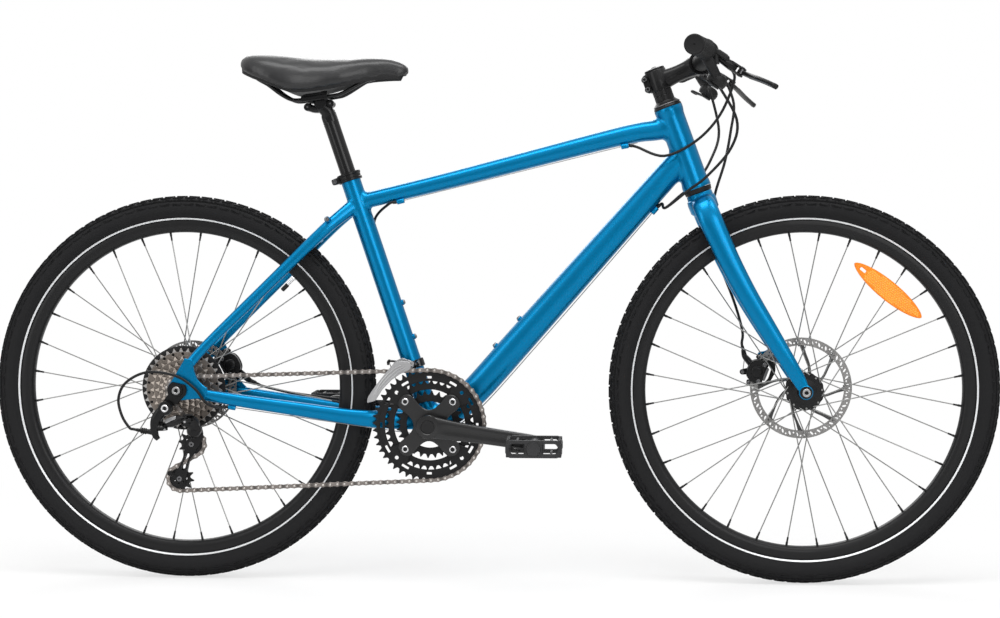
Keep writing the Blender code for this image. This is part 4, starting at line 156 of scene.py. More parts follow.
def smooth_tube(bm, points, sizes, per_span, sides, power=2.0, across=LEFT, look=0):
    """A tube along a smooth curve through a few points, its sizes eased between them."""
    tube(bm, smooth(points, per_span), curve_through(sizes, per_span), sides, power, across, look)


def hose(bm, points, radii, sides=10, look=0):
    """A round tube carried along the points without twist."""
    radii = radii if isinstance(radii, (list, tuple)) else [radii] * len(points)
    loops, side = [], None
    for i, p in enumerate(points):
        along = heading(points, i)
        side = along.orthogonal() if side is None else side
        side = (side - along * side.dot(along)).normalized()
        loops.append(oval(p, side, along.cross(side), radii[i], radii[i], sides))
    skin(bm, loops, look)


def rod(bm, start, end, radius, sides=16, look=0, bevel=0.0):
    """A round bar with bevelled ends."""
    if not bevel:
        return hose(bm, [start, end], radius, sides, look)
    along = (end - start).normalized()
    side = along.orthogonal().normalized()
    loops = []
    for p, r in ((start, radius - bevel), (start + along * bevel, radius), (end - along * bevel, radius),
            (end, radius - bevel)):
        loops.append(oval(p, side, along.cross(side), r, r, sides))
    skin(bm, loops, look)


def peg(bm, centre, way, start, end, radius, sides=16, look=0, bevel=0.0):
    """A round bar along a direction, between two distances from a point."""
    rod(bm, centre + way * start, centre + way * end, radius, sides, look, bevel)


def lathe(bm, profile, origin, axis=LEFT, steps=48, look=0, start=None):
    """A profile of (radius, height) spun round the axis. A ring's profile is a closed loop."""
    axis = axis.normalized()
    side = (start or axis.orthogonal()).normalized()
    across = axis.cross(side)
    closed = profile[0][0] > 1e-6 or profile[-1][0] > 1e-6
    rings = []
    for r, h in profile:
        foot = origin + axis * h
        if r < 1e-6:
            rings.append([bm.verts.new(foot)])
            continue
        turns = [TURN * i / steps for i in range(steps)]
        rings.append([bm.verts.new(foot + (side * math.cos(a) + across * math.sin(a)) * r) for a in turns])
    pairs = list(zip(rings, rings[1:]))
    if closed:
        pairs.append((rings[-1], rings[0]))
    for one, other in pairs:
        for i in range(steps):
            j = (i + 1) % steps
            corners = [one[i % len(one)], one[j % len(one)], other[j % len(other)], other[i % len(other)]]
            unique = list(dict.fromkeys(corners))
            if len(unique) > 2:
                bm.faces.new(unique).material_index = look


def spot_at(angle, radius):
    """A point of an outline at an angle in degrees."""
    turn = math.radians(angle)
    return radius * math.cos(turn), radius * math.sin(turn)


def inset(loop, distance):
    """The outline moved inwards by a distance."""
    area = sum(a[0] * b[1] - b[0] * a[1] for a, b in zip(loop, [*loop[1:], loop[0]]))
    sign = 1 if area > 0 else -1
    found = []
    for i, here in enumerate(loop):
        before, after = Vector(loop[i - 1]), Vector(loop[(i + 1) % len(loop)])
        p = Vector(here)
        one, two = (p - before).normalized(), (after - p).normalized()
        bisector = Vector((-(one + two).y, (one + two).x))
        if bisector.length < 1e-6:
            found.append(tuple(p))
            continue
        bisector.normalize()
        slope = max(bisector.dot(Vector((-one.y, one.x))), 0.4)
        found.append(tuple(p + bisector * sign * distance / slope))
    return found


def plate(bm, outline, thickness, place, holes=(), bevel=0.0, look=0):
    """A flat plate with bevelled edges, and holes, centred on its matrix's plane."""
    loops = [list(outline), *[list(hole) for hole in holes]]
    if bevel:
        faces_at = [inset(loops[0], bevel)] + [inset(loop, -bevel) for loop in loops[1:]]
    else:
        faces_at = loops
    half = thickness / 2
    levels = [(faces_at, -half), (loops, -half + bevel), (loops, half - bevel), (faces_at, half)]
    if not bevel:
        levels = [levels[0], levels[3]]
    rows = []
    for group, z in levels:
        rows.append([[bm.verts.new(place @ Vector((x, y, z))) for x, y in loop] for loop in group])
    flat = [v for loop in rows[0] for v in loop], [v for loop in rows[-1] for v in loop]
    for a, b, c in tessellate_polygon([[Vector((x, y, 0)) for x, y in loop] for loop in faces_at]):
        bm.faces.new((flat[0][a], flat[0][b], flat[0][c])).material_index = look
        bm.faces.new((flat[1][c], flat[1][b], flat[1][a])).material_index = look
    for low, high in zip(rows, rows[1:]):
        for one, other in zip(low, high):
            strip(bm, one, other, look)


def arc(centre, radius, start, end, steps):
    found = []
    for i in range(steps + 1):
        angle = math.radians(start + (end - start) * i / steps)
        found.append((centre[0] + radius * math.cos(angle), centre[1] + radius * math.sin(angle)))
    return found


def circle(centre, radius, steps=24):
    return arc(centre, radius, 0, 360 * (1 - 1 / steps), steps - 1)


def rounded(points, radius, steps=4):
    """An outline with its corners rounded."""
    found = []
    for i, here in enumerate(points):
        p, before, after = Vector(here), Vector(points[i - 1]), Vector(points[(i + 1) % len(points)])
        into, out = p - before, after - p
        reach = min(radius, into.length * 0.45, out.length * 0.45)
        a, b = p - into.normalized() * reach, p + out.normalized() * reach
        for k in range(steps + 1):
            t = k / steps
            found.append(tuple(a * (1 - t) ** 2 + p * 2 * t * (1 - t) + b * t**2))
    return found


def piece(name, bm, body, looks, replaced=(), sharp=35):
    """The finished object, with its materials, the body it rides on and the CAD nodes it stands for."""
    bmesh.ops.scale(bm, vec=(MM, MM, MM), verts=bm.verts)
    bmesh.ops.remove_doubles(bm, verts=bm.verts, dist=1e-6)
    bmesh.ops.recalc_face_normals(bm, faces=bm.faces)
    mesh = bpy.data.meshes.new(name)
    bm.to_mesh(mesh)
    bm.free()
    made = bpy.data.objects.new(name, mesh)
    bpy.context.scene.collection.objects.link(made)
    for look in looks:
        mesh.materials.append(look)
    mesh.shade_smooth()
    mesh.set_sharp_from_angle(angle=math.radians(sharp))
    if body:
        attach(made, body)
    if replaced is not None:
        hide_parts(*(replaced or (name,)))
    return made


def shaped(make):
    """Gives a piece's function an empty mesh to fill, before its own values."""
    def filled(*values):
        bm = bmesh.new()
        make(bm, *values)
        return bm
    return filled


def group_of(name, inputs, outputs):
    """An empty node group with named sockets, and its input and output nodes."""
    group = bpy.data.node_groups.new(name, "ShaderNodeTree")
    for label, kind, value in inputs:
        socket = group.interface.new_socket(label, in_out="INPUT", socket_type=kind)
        socket.default_value = value
    for label, kind in outputs:
        group.interface.new_socket(label, in_out="OUTPUT", socket_type=kind)
    return group, group.nodes.new("NodeGroupInput"), group.nodes.new("NodeGroupOutput")


def worked_out(tree, operation, *feeds):
    """The result of one calculating node, fed by sockets or numbers."""
    made = tree.nodes.new("ShaderNodeMath")
    made.operation = operation
    for socket, feed in zip(made.inputs, feeds):
        if isinstance(feed, bpy.types.NodeSocket):
            tree.links.new(feed, socket)
        else:
            socket.default_value = feed
    return made.outputs[0]


def surface_grain():
    """Shade variation in broad patches, with a fine grain that also varies the roughness and the surface."""
    group, given, out = group_of("surface_grain", [("Colour", "NodeSocketColor", (0.5, 0.5, 0.5, 1)),
        ("Variation", "NodeSocketFloat", 0.15), ("Grain Scale", "NodeSocketFloat", 900.0),
        ("Grain Depth", "NodeSocketFloat", 0.2), ("Roughness", "NodeSocketFloat", 0.5)],
        [("Colour", "NodeSocketColor"), ("Roughness", "NodeSocketFloat"), ("Normal", "NodeSocketVector")])
    nodes, link = group.nodes, group.links.new
    place = nodes.new("ShaderNodeTexCoord")
    broad = nodes.new("ShaderNodeTexNoise")
    broad.inputs["Scale"].default_value = 22
    broad.inputs["Detail"].default_value = 4
    fine = nodes.new("ShaderNodeTexNoise")
    fine.inputs["Detail"].default_value = 3
    link(place.outputs["Object"], broad.inputs["Vector"])
    link(place.outputs["Object"], fine.inputs["Vector"])
    link(given.outputs["Grain Scale"], fine.inputs["Scale"])
    both = worked_out(group, "ADD", broad.outputs["Fac"], fine.outputs["Fac"])
    centred = worked_out(group, "SUBTRACT", both, 1)
    amount = worked_out(group, "MULTIPLY", centred, given.outputs["Variation"])
    gain = worked_out(group, "ADD", amount, 1)
    shade = nodes.new("ShaderNodeVectorMath")
    shade.operation = "SCALE"
    link(given.outputs["Colour"], shade.inputs[0])
    link(gain, shade.inputs["Scale"])
    link(shade.outputs[0], out.inputs["Colour"])
    link(worked_out(group, "MULTIPLY", given.outputs["Roughness"], gain), out.inputs["Roughness"])
    bump = nodes.new("ShaderNodeBump")
    bump.inputs["Distance"].default_value = 0.0004
    link(given.outputs["Grain Depth"], bump.inputs["Strength"])
    link(fine.outputs["Fac"], bump.inputs["Height"])
    link(bump.outputs["Normal"], out.inputs["Normal"])
    return group


GRAIN = surface_grain()


def finish(name, colour, roughness, metallic=0.0, coat=0.0, variation=0.15, scale=900.0, depth=0.15,
        gloss=0.2):
    """A material whose grain group feeds a Principled shader."""
    made = bpy.data.materials.new(name)
    made.use_nodes = True
    tree = made.node_tree
    shader = tree.nodes["Principled BSDF"]
    grain = tree.nodes.new("ShaderNodeGroup")
    grain.node_tree = GRAIN
    grain.name = "grain"
    for label, value in (("Colour", (*colour, 1)), ("Variation", variation), ("Grain Scale", scale),
            ("Grain Depth", depth), ("Roughness", roughness)):
        grain.inputs[label].default_value = value
    for label, target in (("Colour", "Base Color"), ("Roughness", "Roughness"), ("Normal", "Normal")):
        tree.links.new(grain.outputs[label], shader.inputs[target])
    shader.inputs["Metallic"].default_value = metallic
    shader.inputs["Coat Weight"].default_value = coat
    shader.inputs["Coat Roughness"].default_value = 0.06
    shader.inputs["Specular IOR Level"].default_value = gloss
    return made


blue_lacquer = finish("blue_lacquer", (0.0, 0.175, 0.375), 0.3, metallic=0.75, coat=0.10, variation=0.10,
    scale=2600, depth=0.02, gloss=0.1)

WHEELBASE = 1097
WHEEL_RADIUS = 342
REAR_AXLE = at(-WHEELBASE / 2, WHEEL_RADIUS)
FRONT_AXLE = at(WHEELBASE / 2, WHEEL_RADIUS)
BOTTOM_BRACKET = at(-106.69, 281)
SEAT_ANGLE = 71.4
HEAD_ANGLE = 69.9
SEAT_UP = polar(180 - SEAT_ANGLE, 1)
SEAT_BACK = polar(270 - SEAT_ANGLE, 1)
STEER_UP = polar(180 - HEAD_ANGLE, 1)
STEER_FORWARD = polar(90 - HEAD_ANGLE, 1)
STEER_FOOT = FRONT_AXLE - STEER_FORWARD * 54
HEAD_BOTTOM = 397
HEAD_TOP = 547
SEAT_TUBE_TOP = 465
SEAT_STATIONS = range(0, SEAT_TUBE_TOP + 1, 15)


def on_steering(height, forward=0.0, y=0.0):
    return STEER_FOOT + STEER_UP * height + STEER_FORWARD * forward + LEFT * y


def on_seat_tube(height, back=0.0, y=0.0):
    return BOTTOM_BRACKET + SEAT_UP * height + SEAT_BACK * back + LEFT * y


# Stations of each tube: forward, up, left, half width and half height
TUBE_POWER = 2.3
CHAINSTAY = ((-112, 283, 16, 8, 14), (-165, 286, 28, 7.5, 15), (-208, 290, 41, 8, 15),
    (-260, 296, 46, 9, 13.5), (-350, 309.5, 53.5, 8.8, 12.2), (-440, 323, 61, 8.5, 11),
    (-505, 334, 68, 6, 9.5), (-530, 338, 71, 3.4, 9))
SEATSTAY = ((-242, 668, 7, 9, 13), (-268, 646, 20, 9, 11.5), (-300, 617, 33, 8.5, 10.5),
    (-395, 523.5, 47.5, 7.8, 9.5), (-490, 430, 62, 7, 8.5), (-525, 391, 69, 5.5, 8.5),
    (-536, 374, 71, 3.4, 8.5))
TOP_TUBE = ((-246, 670, 0, 14, 14), (-217, 676.5, 0, 14, 14), (-56.6, 715.5, 0, 15, 14.5),
    (215.8, 785, 0, 17, 16.5), (289, 798, 0, 17.5, 18), (318, 803, 0, 18, 19))
DOWN_TUBE = ((-104, 283, 0, 20, 20), (-75, 298, 0, 21, 24), (-30, 337, 0, 21.5, 25.5),
    (66.4, 445.8, 0, 22, 25.5), (285, 693, 0, 21, 22.5), (338, 752, 0, 20, 22))


def run_loops(run, side=1, sides=40):
    """The loops of a tube along its smoothed stations."""
    rows = curve_through(run, 8)
    points = [at(x, z, side * y) for x, z, y, *_ in rows]
    return tube_loops(points, [(w, h) for *_, w, h in rows], sides, TUBE_POWER), points


def surface_of(loops):
    """A search tree over a tube's skin, for finding where another tube meets it."""
    bm = bmesh.new()
    skin(bm, loops)
    bmesh.ops.recalc_face_normals(bm, faces=bm.faces)
    found = BVHTree.FromBMesh(bm)
    bm.free()
    return found


WELD_REACH = 200
WELD_SINK = 0.15
WELD_BACK = 6
WELD_AHEAD = 14
WELD_STEPS = 6


def weld(bm, loops, points, hosts, size):
    """The filed weld where a tube's end runs into others: a hollow fillet from its skin to theirs."""
    last = None
    for i in range(len(loops) - 1):
        ahead = points[i + 1] - points[i]
        if any(host.ray_cast(points[i], ahead, ahead.length)[0] for host in hosts):
            last = i
            break
    outside = loops[max(last - WELD_BACK, 0)] if last is not None else loops[0]
    rows = []
    for k, start in enumerate(outside):
        inner = loops[min((last or 0) + WELD_AHEAD, len(loops) - 1)][k]
        way = (inner - start).normalized()
        best = None
        for host in hosts:
            spot, normal, _, distance = host.ray_cast(start, way, WELD_REACH)
            if spot and (best is None or distance < best[2]):
                best = (spot, normal, distance, host)
        if best is None:
            continue
        spot, normal, distance, host = best
        if normal.dot(way) > 0:
            normal = -normal
        reach = min(size, distance * 0.9)
        outward = (start - points[max(last - WELD_BACK, 0)]).normalized()
        over = outward - normal * outward.dot(normal)
        over = over.normalized() if over.length > 1e-6 else outward
        on_branch = spot - way * reach - outward * WELD_SINK
        near = host.find_nearest(spot + over * reach)[0] or spot + over * reach
        on_host = near - normal * WELD_SINK
        row = []
        for j in range(WELD_STEPS + 1):
            t = j / WELD_STEPS
            row.append(on_branch * (1 - t) ** 2 + spot * 2 * t * (1 - t) + on_host * t**2)
        rows.append(row)
    if len(rows) > 3:
        verts = [[bm.verts.new(p) for p in row] for row in rows]
        for i in range(len(verts)):
            one, other = verts[i], verts[(i + 1) % len(verts)]
            for j in range(WELD_STEPS):
                bm.faces.new((one[j], other[j], other[j + 1], one[j + 1]))


def cable_stop(bm, point, along, out):
    """A drilled barrel on a small foot, where a cable's housing ends."""
    reach = along * 6.5
    ring = [(3, -6.5), (4.3, -6.5), (4.7, -5.8), (4.7, 5.8), (4.3, 6.5), (3, 6.5)]
    lathe(bm, ring, point, along, 20)
    foot = [point + out * -5.5 - reach * 1.1, point + out * -5.5 + reach * 1.1]
    tube(bm, foot, [(3.2, 3.5)] * 2, 12, 2.6, along.cross(out))


def under_tube(run, x, turn, lift, side=1):
    """A point on a tube's skin, its heading and the way out of the tube, at a turn from the underside."""
    for here, after in zip(run, run[1:]):
        if min(here[0], after[0]) <= x <= max(here[0], after[0]):
            break
    share = (x - here[0]) / (after[0] - here[0])
    _, z, y, wide, tall = (p + (q - p) * share for p, q in zip(here, after))
    along = at(after[0] - here[0], after[1] - here[1], side * (after[2] - here[2])).normalized()
    along *= 1 if along.x > 0 else -1
    down = LEFT.cross(along)
    turn = math.radians(turn)
    out = -LEFT * math.sin(turn) * (wide + lift) + down * math.cos(turn) * (tall + lift)
    return at(x, z, side * y) + out, along, out.normalized()


def threaded_boss(bm, root, aim, bolt_look):
    """A boss standing on a tube with its button-head bolt."""
    lathe(bm, [(0, -9), (5.2, -9), (5.2, -0.6), (4.6, 0), (0, 0)], root, aim, 24)
    head = [(0, 0.2), (4.3, 0.2), (4.3, 1), (3.2, 2.4), (1.5, 2.6), (1.5, 1), (0, 1)]
    lathe(bm, head, root, aim, 18, bolt_look)


@shaped
def build_frame(bm):
    head = [(18.2, 0), (24.9, 0), (25.2, 1), (25, 8), (23.7, 15), (23.5, 20), (23.5, 130), (23.7, 135),
        (25, 142), (25.2, 149), (24.9, 150), (18.2, 150)]
    lathe(bm, head, on_steering(HEAD_BOTTOM), STEER_UP, 56)
    seat_loops = [oval(on_seat_tube(h), LEFT, SEAT_BACK, 17.5, 17.5, 48) for h in SEAT_STATIONS]
    skin(bm, seat_loops, capped=False)
    lip = [oval(on_seat_tube(SEAT_TUBE_TOP), LEFT, SEAT_BACK, r, r, 48) for r in (17.5, 13.9)]
    lip.append(oval(on_seat_tube(425), LEFT, SEAT_BACK, 13.9, 13.9, 48))
    skin(bm, lip, capped=False)
    shell = [(17, -34), (20, -34), (20.5, -33.4), (20.5, 33.4), (20, 34), (17, 34)]
    lathe(bm, shell, BOTTOM_BRACKET, LEFT, 56)
    head_solid = [oval(on_steering(h), LEFT, STEER_FORWARD, 23.5, 23.5, 48) for h in (HEAD_BOTTOM, HEAD_TOP)]
    shell_solid = [oval(BOTTOM_BRACKET + LEFT * y, FORWARD, UP, 20.5, 20.5, 48) for y in (-34, 34)]
    heads, seats, shells = surface_of(head_solid), surface_of(seat_loops), surface_of(shell_solid)
    top, top_points = run_loops(TOP_TUBE)
    down, down_points = run_loops(DOWN_TUBE)
    skin(bm, top)
    skin(bm, down)
    downs = surface_of(down)
    weld(bm, top, top_points, [heads, downs], 9)
    weld(bm, top[::-1], top_points[::-1], [seats], 8)
    weld(bm, down, down_points, [heads], 9)
    weld(bm, down[::-1], down_points[::-1], [shells, seats], 9)
    weld(bm, seat_loops[::-1], [on_seat_tube(h) for h in SEAT_STATIONS][::-1], [shells], 6)
    for side in (1, -1):
        stay, stay_points = run_loops(CHAINSTAY, side, 32)
        upper, upper_points = run_loops(SEATSTAY, side, 32)
        skin(bm, stay)
        skin(bm, upper)
        weld(bm, stay[::-1], stay_points[::-1], [shells, seats], 6)
        weld(bm, upper[::-1], upper_points[::-1], [seats, surface_of(top)], 6)
        dropout(bm, side)
        rack_boss = at(-287.5, 642, side * 43.5)
        threaded_boss(bm, rack_boss, (rack_boss - at(-285, 640, side * 26)).normalized(), 1)
    for run, x in ((CHAINSTAY, -190), (SEATSTAY, -310)):
        ends = [under_tube(run, x, 0, -10, s)[0] for s in (1, -1)]
        rod(bm, *ends, 6.5, 20)
    for run, x, turn, lift, side in ((TOP_TUBE, 231, 30, 4.1, 1), (TOP_TUBE, -165, 30, 4.1, 1),
            (DOWN_TUBE, 268, 15, 3.1, 1), (DOWN_TUBE, 268, -15, 3.1, 1), (CHAINSTAY, -452, 0, 3.1, -1)):
        cable_stop(bm, *under_tube(run, x, turn, lift, side))
    for along in (0, 64):
        root = at(26.4, 400.5) + Vector((85, 0, 96)).normalized() * along
        aim = Vector((-96, 0, 85)).normalized()
        threaded_boss(bm, root + aim * 28.5, aim, 1)
        threaded_boss(bm, on_seat_tube(155 + along, -20.5), -SEAT_BACK, 1)
    for line in (((-524, 398), (-512, 412), (-500, 421), (-491, 414), (-484, 396), (-497, 380), (-507, 388)),
            ((-502, 331), (-492, 350), (-486, 362), (-468, 364), (-466, 350), (-455, 338), (-444, 328),
            (-470, 322))):
        plate(bm, rounded(line, 4), 5, side_view(y=64.6), bevel=0.6)


def dropout(bm, side):
    """The plate at the stay ends, round about the axle, with its open slot."""
    ax, az = REAR_AXLE.x, REAR_AXLE.z
    outline = [*rounded([(-500, 326), (-495, 345), (-505, 352), (-514, 362), (-519, 376), (-522, 396),
        (-538, 398)], 3, 3), *arc((ax, az), 18, 132, 250, 16), (-545, 324), (-525, 326)]
    slot = [*arc((ax, az), 5.2, -20, 160, 10), (ax - 11, az - 16.5), (ax - 3, az - 17.3)]
    plate(bm, outline, 7, side_view(y=side * 71.3), [slot], 0.8)


bolt_steel = finish("bolt_steel", (0.16, 0.16, 0.165), 0.32, metallic=0.9, scale=1500, depth=0.05)
piece("painted_frame", build_frame(), "frame", [blue_lacquer, bolt_steel], ["frame"], sharp=40)


# Tyres: moulded black rubber with a smooth matte sidewall, a reflective stripe just above the rim and a tread
# of small slanted blocks that runs well over the shoulder. Each block is its own body, standing in the
# casing.

TYRE_SIDE = ((289.5, 9.3), (298.4, 12.2), (299.4, 14.2), (302.6, 17), (303.2, 18), (307, 20.6), (313, 23.7),
    (319, 24.6), (325, 24), (330.5, 21.6), (335, 17.4), (338.2, 11), (339.6, 4.5), (339.9, 0))
TREAD_RADIUS = 340
TREAD_BLOCKS = 96
TREAD_ROWS = (
    # across from the crown, width, share of a pitch the row is shifted by, slant, height
    (0, 9.6, 0, 0.0, 2),
    (10.4, 8.2, 0.5, 2.6, 2),
    (19.4, 7.2, 0, -2.6, 1.9),
    (27.6, 6.4, 0.5, 2.4, 1.5),
)


def along_profile(side):
    """Each point of half a tyre's section with its distance from the crown, walking down the sidewall."""
    rows, gone = [], 0.0
    line = curve_through(side, 3)[::-1]
    for here, before in zip(line, [line[0], *line]):
        gone += math.dist(here, before)
        rows.append((gone, *here))
    return rows


def on_casing(rows, across, lift):
    """Radius and side distance at a place across the tread, raised from the casing."""
    reach = abs(across)
    for (s0, r0, y0), (s1, r1, y1) in zip(rows, rows[1:]):
        if s1 >= reach:
            break
    share = (reach - s0) / (s1 - s0)
    radius = r0 + (r1 - r0) * share + (y1 - y0) / (s1 - s0) * lift
    y = y0 + (y1 - y0) * share - (r1 - r0) / (s1 - s0) * lift
    return radius, math.copysign(y, across) if across else y


def tread_block(bm, rows, centre, turn, across, width, slant, height, pitch):
    """A six-sided block that follows the casing, with bevelled upper edges."""
    half, long = width / 2, pitch * 0.44
    outline = ((-long + slant, -half), (long * 0.55 + slant, -half), (long, 0), (long - slant, half),
        (-long * 0.55 - slant, half), (-long, 0))
    loops = []
    for shrink, lift in ((1.0, -1.2), (1.0, height - 0.5), (0.9, height)):
        loop = []
        for u, v in outline:
            walked = across + math.copysign(v, across) * shrink if across else v * shrink
            radius, y = on_casing(rows, walked, lift)
            angle = turn + u * shrink / TREAD_RADIUS
            loop.append(centre + Vector((math.cos(angle) * radius, y, math.sin(angle) * radius)))
        loops.append(loop)
    skin(bm, loops, 0)


@shaped
def tyre(bm, centre):
    rows = along_profile(TYRE_SIDE)
    section = [(r, y) for _, r, y in rows]
    section = section[::-1] + [(r, -y) for r, y in section[1:]]
    lathe(bm, section, centre, LEFT, 192, 0, FORWARD)
    pitch = TURN * TREAD_RADIUS / TREAD_BLOCKS
    for across, width, shift, slant, height in TREAD_ROWS:
        for side in (1, -1) if across else (1,):
            for i in range(TREAD_BLOCKS):
                turn = (i + shift + (0.25 if side > 0 else 0)) * TURN / TREAD_BLOCKS
                tread_block(bm, rows, centre, turn, across * side, width, slant, height, pitch)
    for side in (1, -1):
        stripe = [(299.9, 14.3), (302.4, 16.6), (302.1, 16.9), (299.6, 14.7)]
        lathe(bm, [(r, side * (y + 0.25)) for r, y in stripe], centre, LEFT, 192, 1, FORWARD)


tyre_rubber = finish("tyre_rubber", (0.010, 0.010, 0.0107), 0.7, variation=0.35, scale=700, depth=0.5,
    gloss=0.16)
reflective_stripe = finish("reflective_stripe", (0.78, 0.79, 0.8), 0.38, metallic=0.2, variation=0.2,
    scale=1400)
for end, centre in (("front", FRONT_AXLE), ("rear", REAR_AXLE)):
    piece(end + "_tyre_rubber", tyre(centre), end + "_wheel", [tyre_rubber, reflective_stripe],
        [end + "_tyre"], sharp=28)


# Wheels: a rolled box-section rim, bent-head steel spokes laced three-cross to drilled hub flanges and held
# by black nipples at the rim. Rim and hub shell are black anodised aluminium.

RIM_SIDE = ((289, 0), (289, 8.6), (290.4, 10.4), (297.4, 11), (298.3, 11.6), (298.3, 12.6), (297.4, 13),
    (286, 12.5), (281.5, 11.3), (278.2, 8.2), (276.8, 4.4), (276.5, 0))
SPOKES = 32
CROSSED = 6
SPOKE_SEAT = 278.5
FRONT_HUB = dict(right_end=-49, right_y=-31, right_r=30, left_y=22, left_r=26, left_end=49, body=15)
REAR_HUB = dict(right_end=-25, right_y=-20, right_r=27, left_y=33, left_r=26, left_end=66, body=17)


def scalloped(radius, bumps, depth, steps):
    """A round outline with shallow scallops."""
    found = []
    for i in range(steps):
        turn = TURN * i / steps
        reach = radius + depth * math.cos(bumps * turn)
        found.append((reach * math.cos(turn), reach * math.sin(turn)))
    return found


def hub_shell(bm, centre, hub, look):
    """The turned shell and its two drilled flanges."""
    body, right, left = hub["body"], hub["right_y"], hub["left_y"]
    bore, ends = 5.4, (hub["right_end"], hub["left_end"])
    line = [(bore, ends[0]), (9, ends[0]), (10.2, ends[0] + 1), (body - 1, right - 5),
        (body + 4, right - 2.6), (body + 8, right - 1), (body + 8, right + 1), (body + 3, right + 3),
        (body, right + 7), (body - 1.2, (right + left) / 2), (body, left - 7), (body + 3, left - 3),
        (body + 7, left - 1), (body + 7, left + 1), (body + 1, left + 2.6), (body, left + 4),
        (body, ends[1] - 8), (10.2, ends[1] - 1), (9, ends[1]), (bore, ends[1])]
    lathe(bm, line, centre, LEFT, 48, look)
    for y, radius, first in ((right, hub["right_r"], 0), (left, hub["left_r"], 1)):
        holes = [circle((0, 0), body + 1, 32)]
        for i in range(SPOKES // 2):
            number = 2 * i + first
            turn = 360 / SPOKES * (number + 0.5 + (CROSSED if i % 2 else -CROSSED))
            holes.append(circle(spot_at(turn, radius), 1.4, 8))
        plate(bm, scalloped(radius + 3.4, 16, 0.5, 96), 3.2, side_view(centre, y), holes, 0.5, look)


def lacing(bm, centre, hub, spoke_look, nipple_look):
    """Each spoke from its nipple, across its three neighbours, to the bend in the flange's hole."""
    for i in range(SPOKES):
        right = i % 2 == 0
        y, radius = (hub["right_y"], hub["right_r"]) if right else (hub["left_y"], hub["left_r"])
        lean = 1 if (i // 2) % 2 else -1
        rim_turn = 360 * (i + 0.5) / SPOKES
        hub_turn = rim_turn + lean * 360 / SPOKES * CROSSED
        on_rim = centre + polar(rim_turn, SPOKE_SEAT, y / 12)
        hole = centre + polar(hub_turn, radius, y)
        bend = hole + LEFT * lean * 2.6
        way = (on_rim - bend).normalized()
        inner = hole - LEFT * lean * 2.4
        path = [on_rim, bend + way * 12, bend + way * 3, bend + way * 0.9 - LEFT * lean * 0.3,
            hole + LEFT * lean * 1.4 + way * 0.1, inner]
        hose(bm, path, [1.05] * 6, 8, spoke_look)
        rod(bm, inner + LEFT * lean * 0.2, inner - LEFT * lean * 0.6, 1.9, 8, spoke_look)
        seat = on_rim + way * -1
        nipple = [seat, seat - way * 6, seat - way * 7, seat - way * 15]
        hose(bm, nipple, [2.1, 2.1, 1.75, 1.6], 8, nipple_look)


def valve(bm, centre, turn, looks):
    """A threaded valve stem with its ring and dust cap."""
    out = polar(turn, 1)
    foot = centre + polar(turn, 279)
    hose(bm, [foot, foot - out * 22], 3, 12, looks[0])
    peg(bm, foot, out, -1.5, -4.5, 5.5, 6, looks[0], 0.5)
    peg(bm, foot, out, -19, -34, 4, 12, looks[1], 1.2)


@shaped
def wheel(bm, centre, hub, valve_turn):
    section = [*RIM_SIDE, *[(r, -y) for r, y in reversed(RIM_SIDE[1:-1])]]
    lathe(bm, section, centre, LEFT, 192, 0, FORWARD)
    hub_shell(bm, centre, hub, 0)
    lacing(bm, centre, hub, 1, 2)
    valve(bm, centre, valve_turn, (3, 2))


black_anodised = finish("black_anodised", (0.009, 0.009, 0.0095), 0.4, metallic=0.1, coat=0.06, scale=1500,
    depth=0.06)
spoke_steel = finish("spoke_steel", (0.24, 0.24, 0.235), 0.32, metallic=0.9, scale=1500, depth=0.04)
black_nylon = finish("black_nylon", (0.013, 0.013, 0.0135), 0.5, variation=0.2, scale=1300, depth=0.2)
bright_metal = finish("bright_metal", (0.72, 0.72, 0.73), 0.26, metallic=0.95, scale=1500, depth=0.04)
for end, centre, hub, valve_turn in (("front", FRONT_AXLE, FRONT_HUB, 360 / SPOKES * 10.5),
        ("rear", REAR_AXLE, REAR_HUB, 360 / SPOKES * 4)):
    piece(end + "_rim_and_spokes", wheel(centre, hub, valve_turn), end + "_wheel",
        [black_anodised, spoke_steel, black_nylon, bright_metal], [end + "_wheel"])


# Axles: a solid black axle runs through each hub, with a socket-head bolt in a knurled washer outside each
# end of the fork and the stays.

def hexagon(across):
    return circle((0, 0), across / 2 / math.cos(math.pi / 6), 6)


def socket_bolt(bm, seat, out, radius, height, across, look=0, floor_look=None):
    """A round bolt head with a hexagonal socket, standing on its seat."""
    side = out.orthogonal()
    middle = seat + out * height / 2
    plate(bm, circle((0, 0), radius, 28), height, axes(middle, side, out.cross(side)), [hexagon(across)],
        min(0.6, height * 0.3), look)
    floor = look if floor_look is None else floor_look
    lathe(bm, [(0, 0.2), (across * 0.62, 0.2), (across * 0.62, 0.5), (0, 0.5)], seat, out, 12, floor)


@shaped
def axle(bm, centre, face_left, face_right):
    rod(bm, centre - LEFT * face_right, centre + LEFT * face_left, 4.7, 16)
    for sign, face in ((1, face_left), (-1, face_right)):
        seat = centre + LEFT * sign * face
        ring = [(4, 0), (10.6, 0), (10.8, 0.6), (10.2, 1.8), (4, 1.8)]
        lathe(bm, ring, seat, LEFT * sign, 32, 0)
        socket_bolt(bm, seat + LEFT * sign * 1.7, LEFT * sign, 7.2, 6.4, 6.4, 1, 0)


axle_chrome = finish("axle_chrome", (0.4, 0.4, 0.4), 0.3, metallic=0.95, scale=1500, depth=0.04)
piece("front_axle_bolts", axle(FRONT_AXLE, 57.6, 57.6), "steering", [black_anodised, axle_chrome],
    ["front_axle"])
piece("rear_axle_bolts", axle(REAR_AXLE, 75.1, 79.4), "frame", [black_anodised, axle_chrome],
    ["rear_axle"])


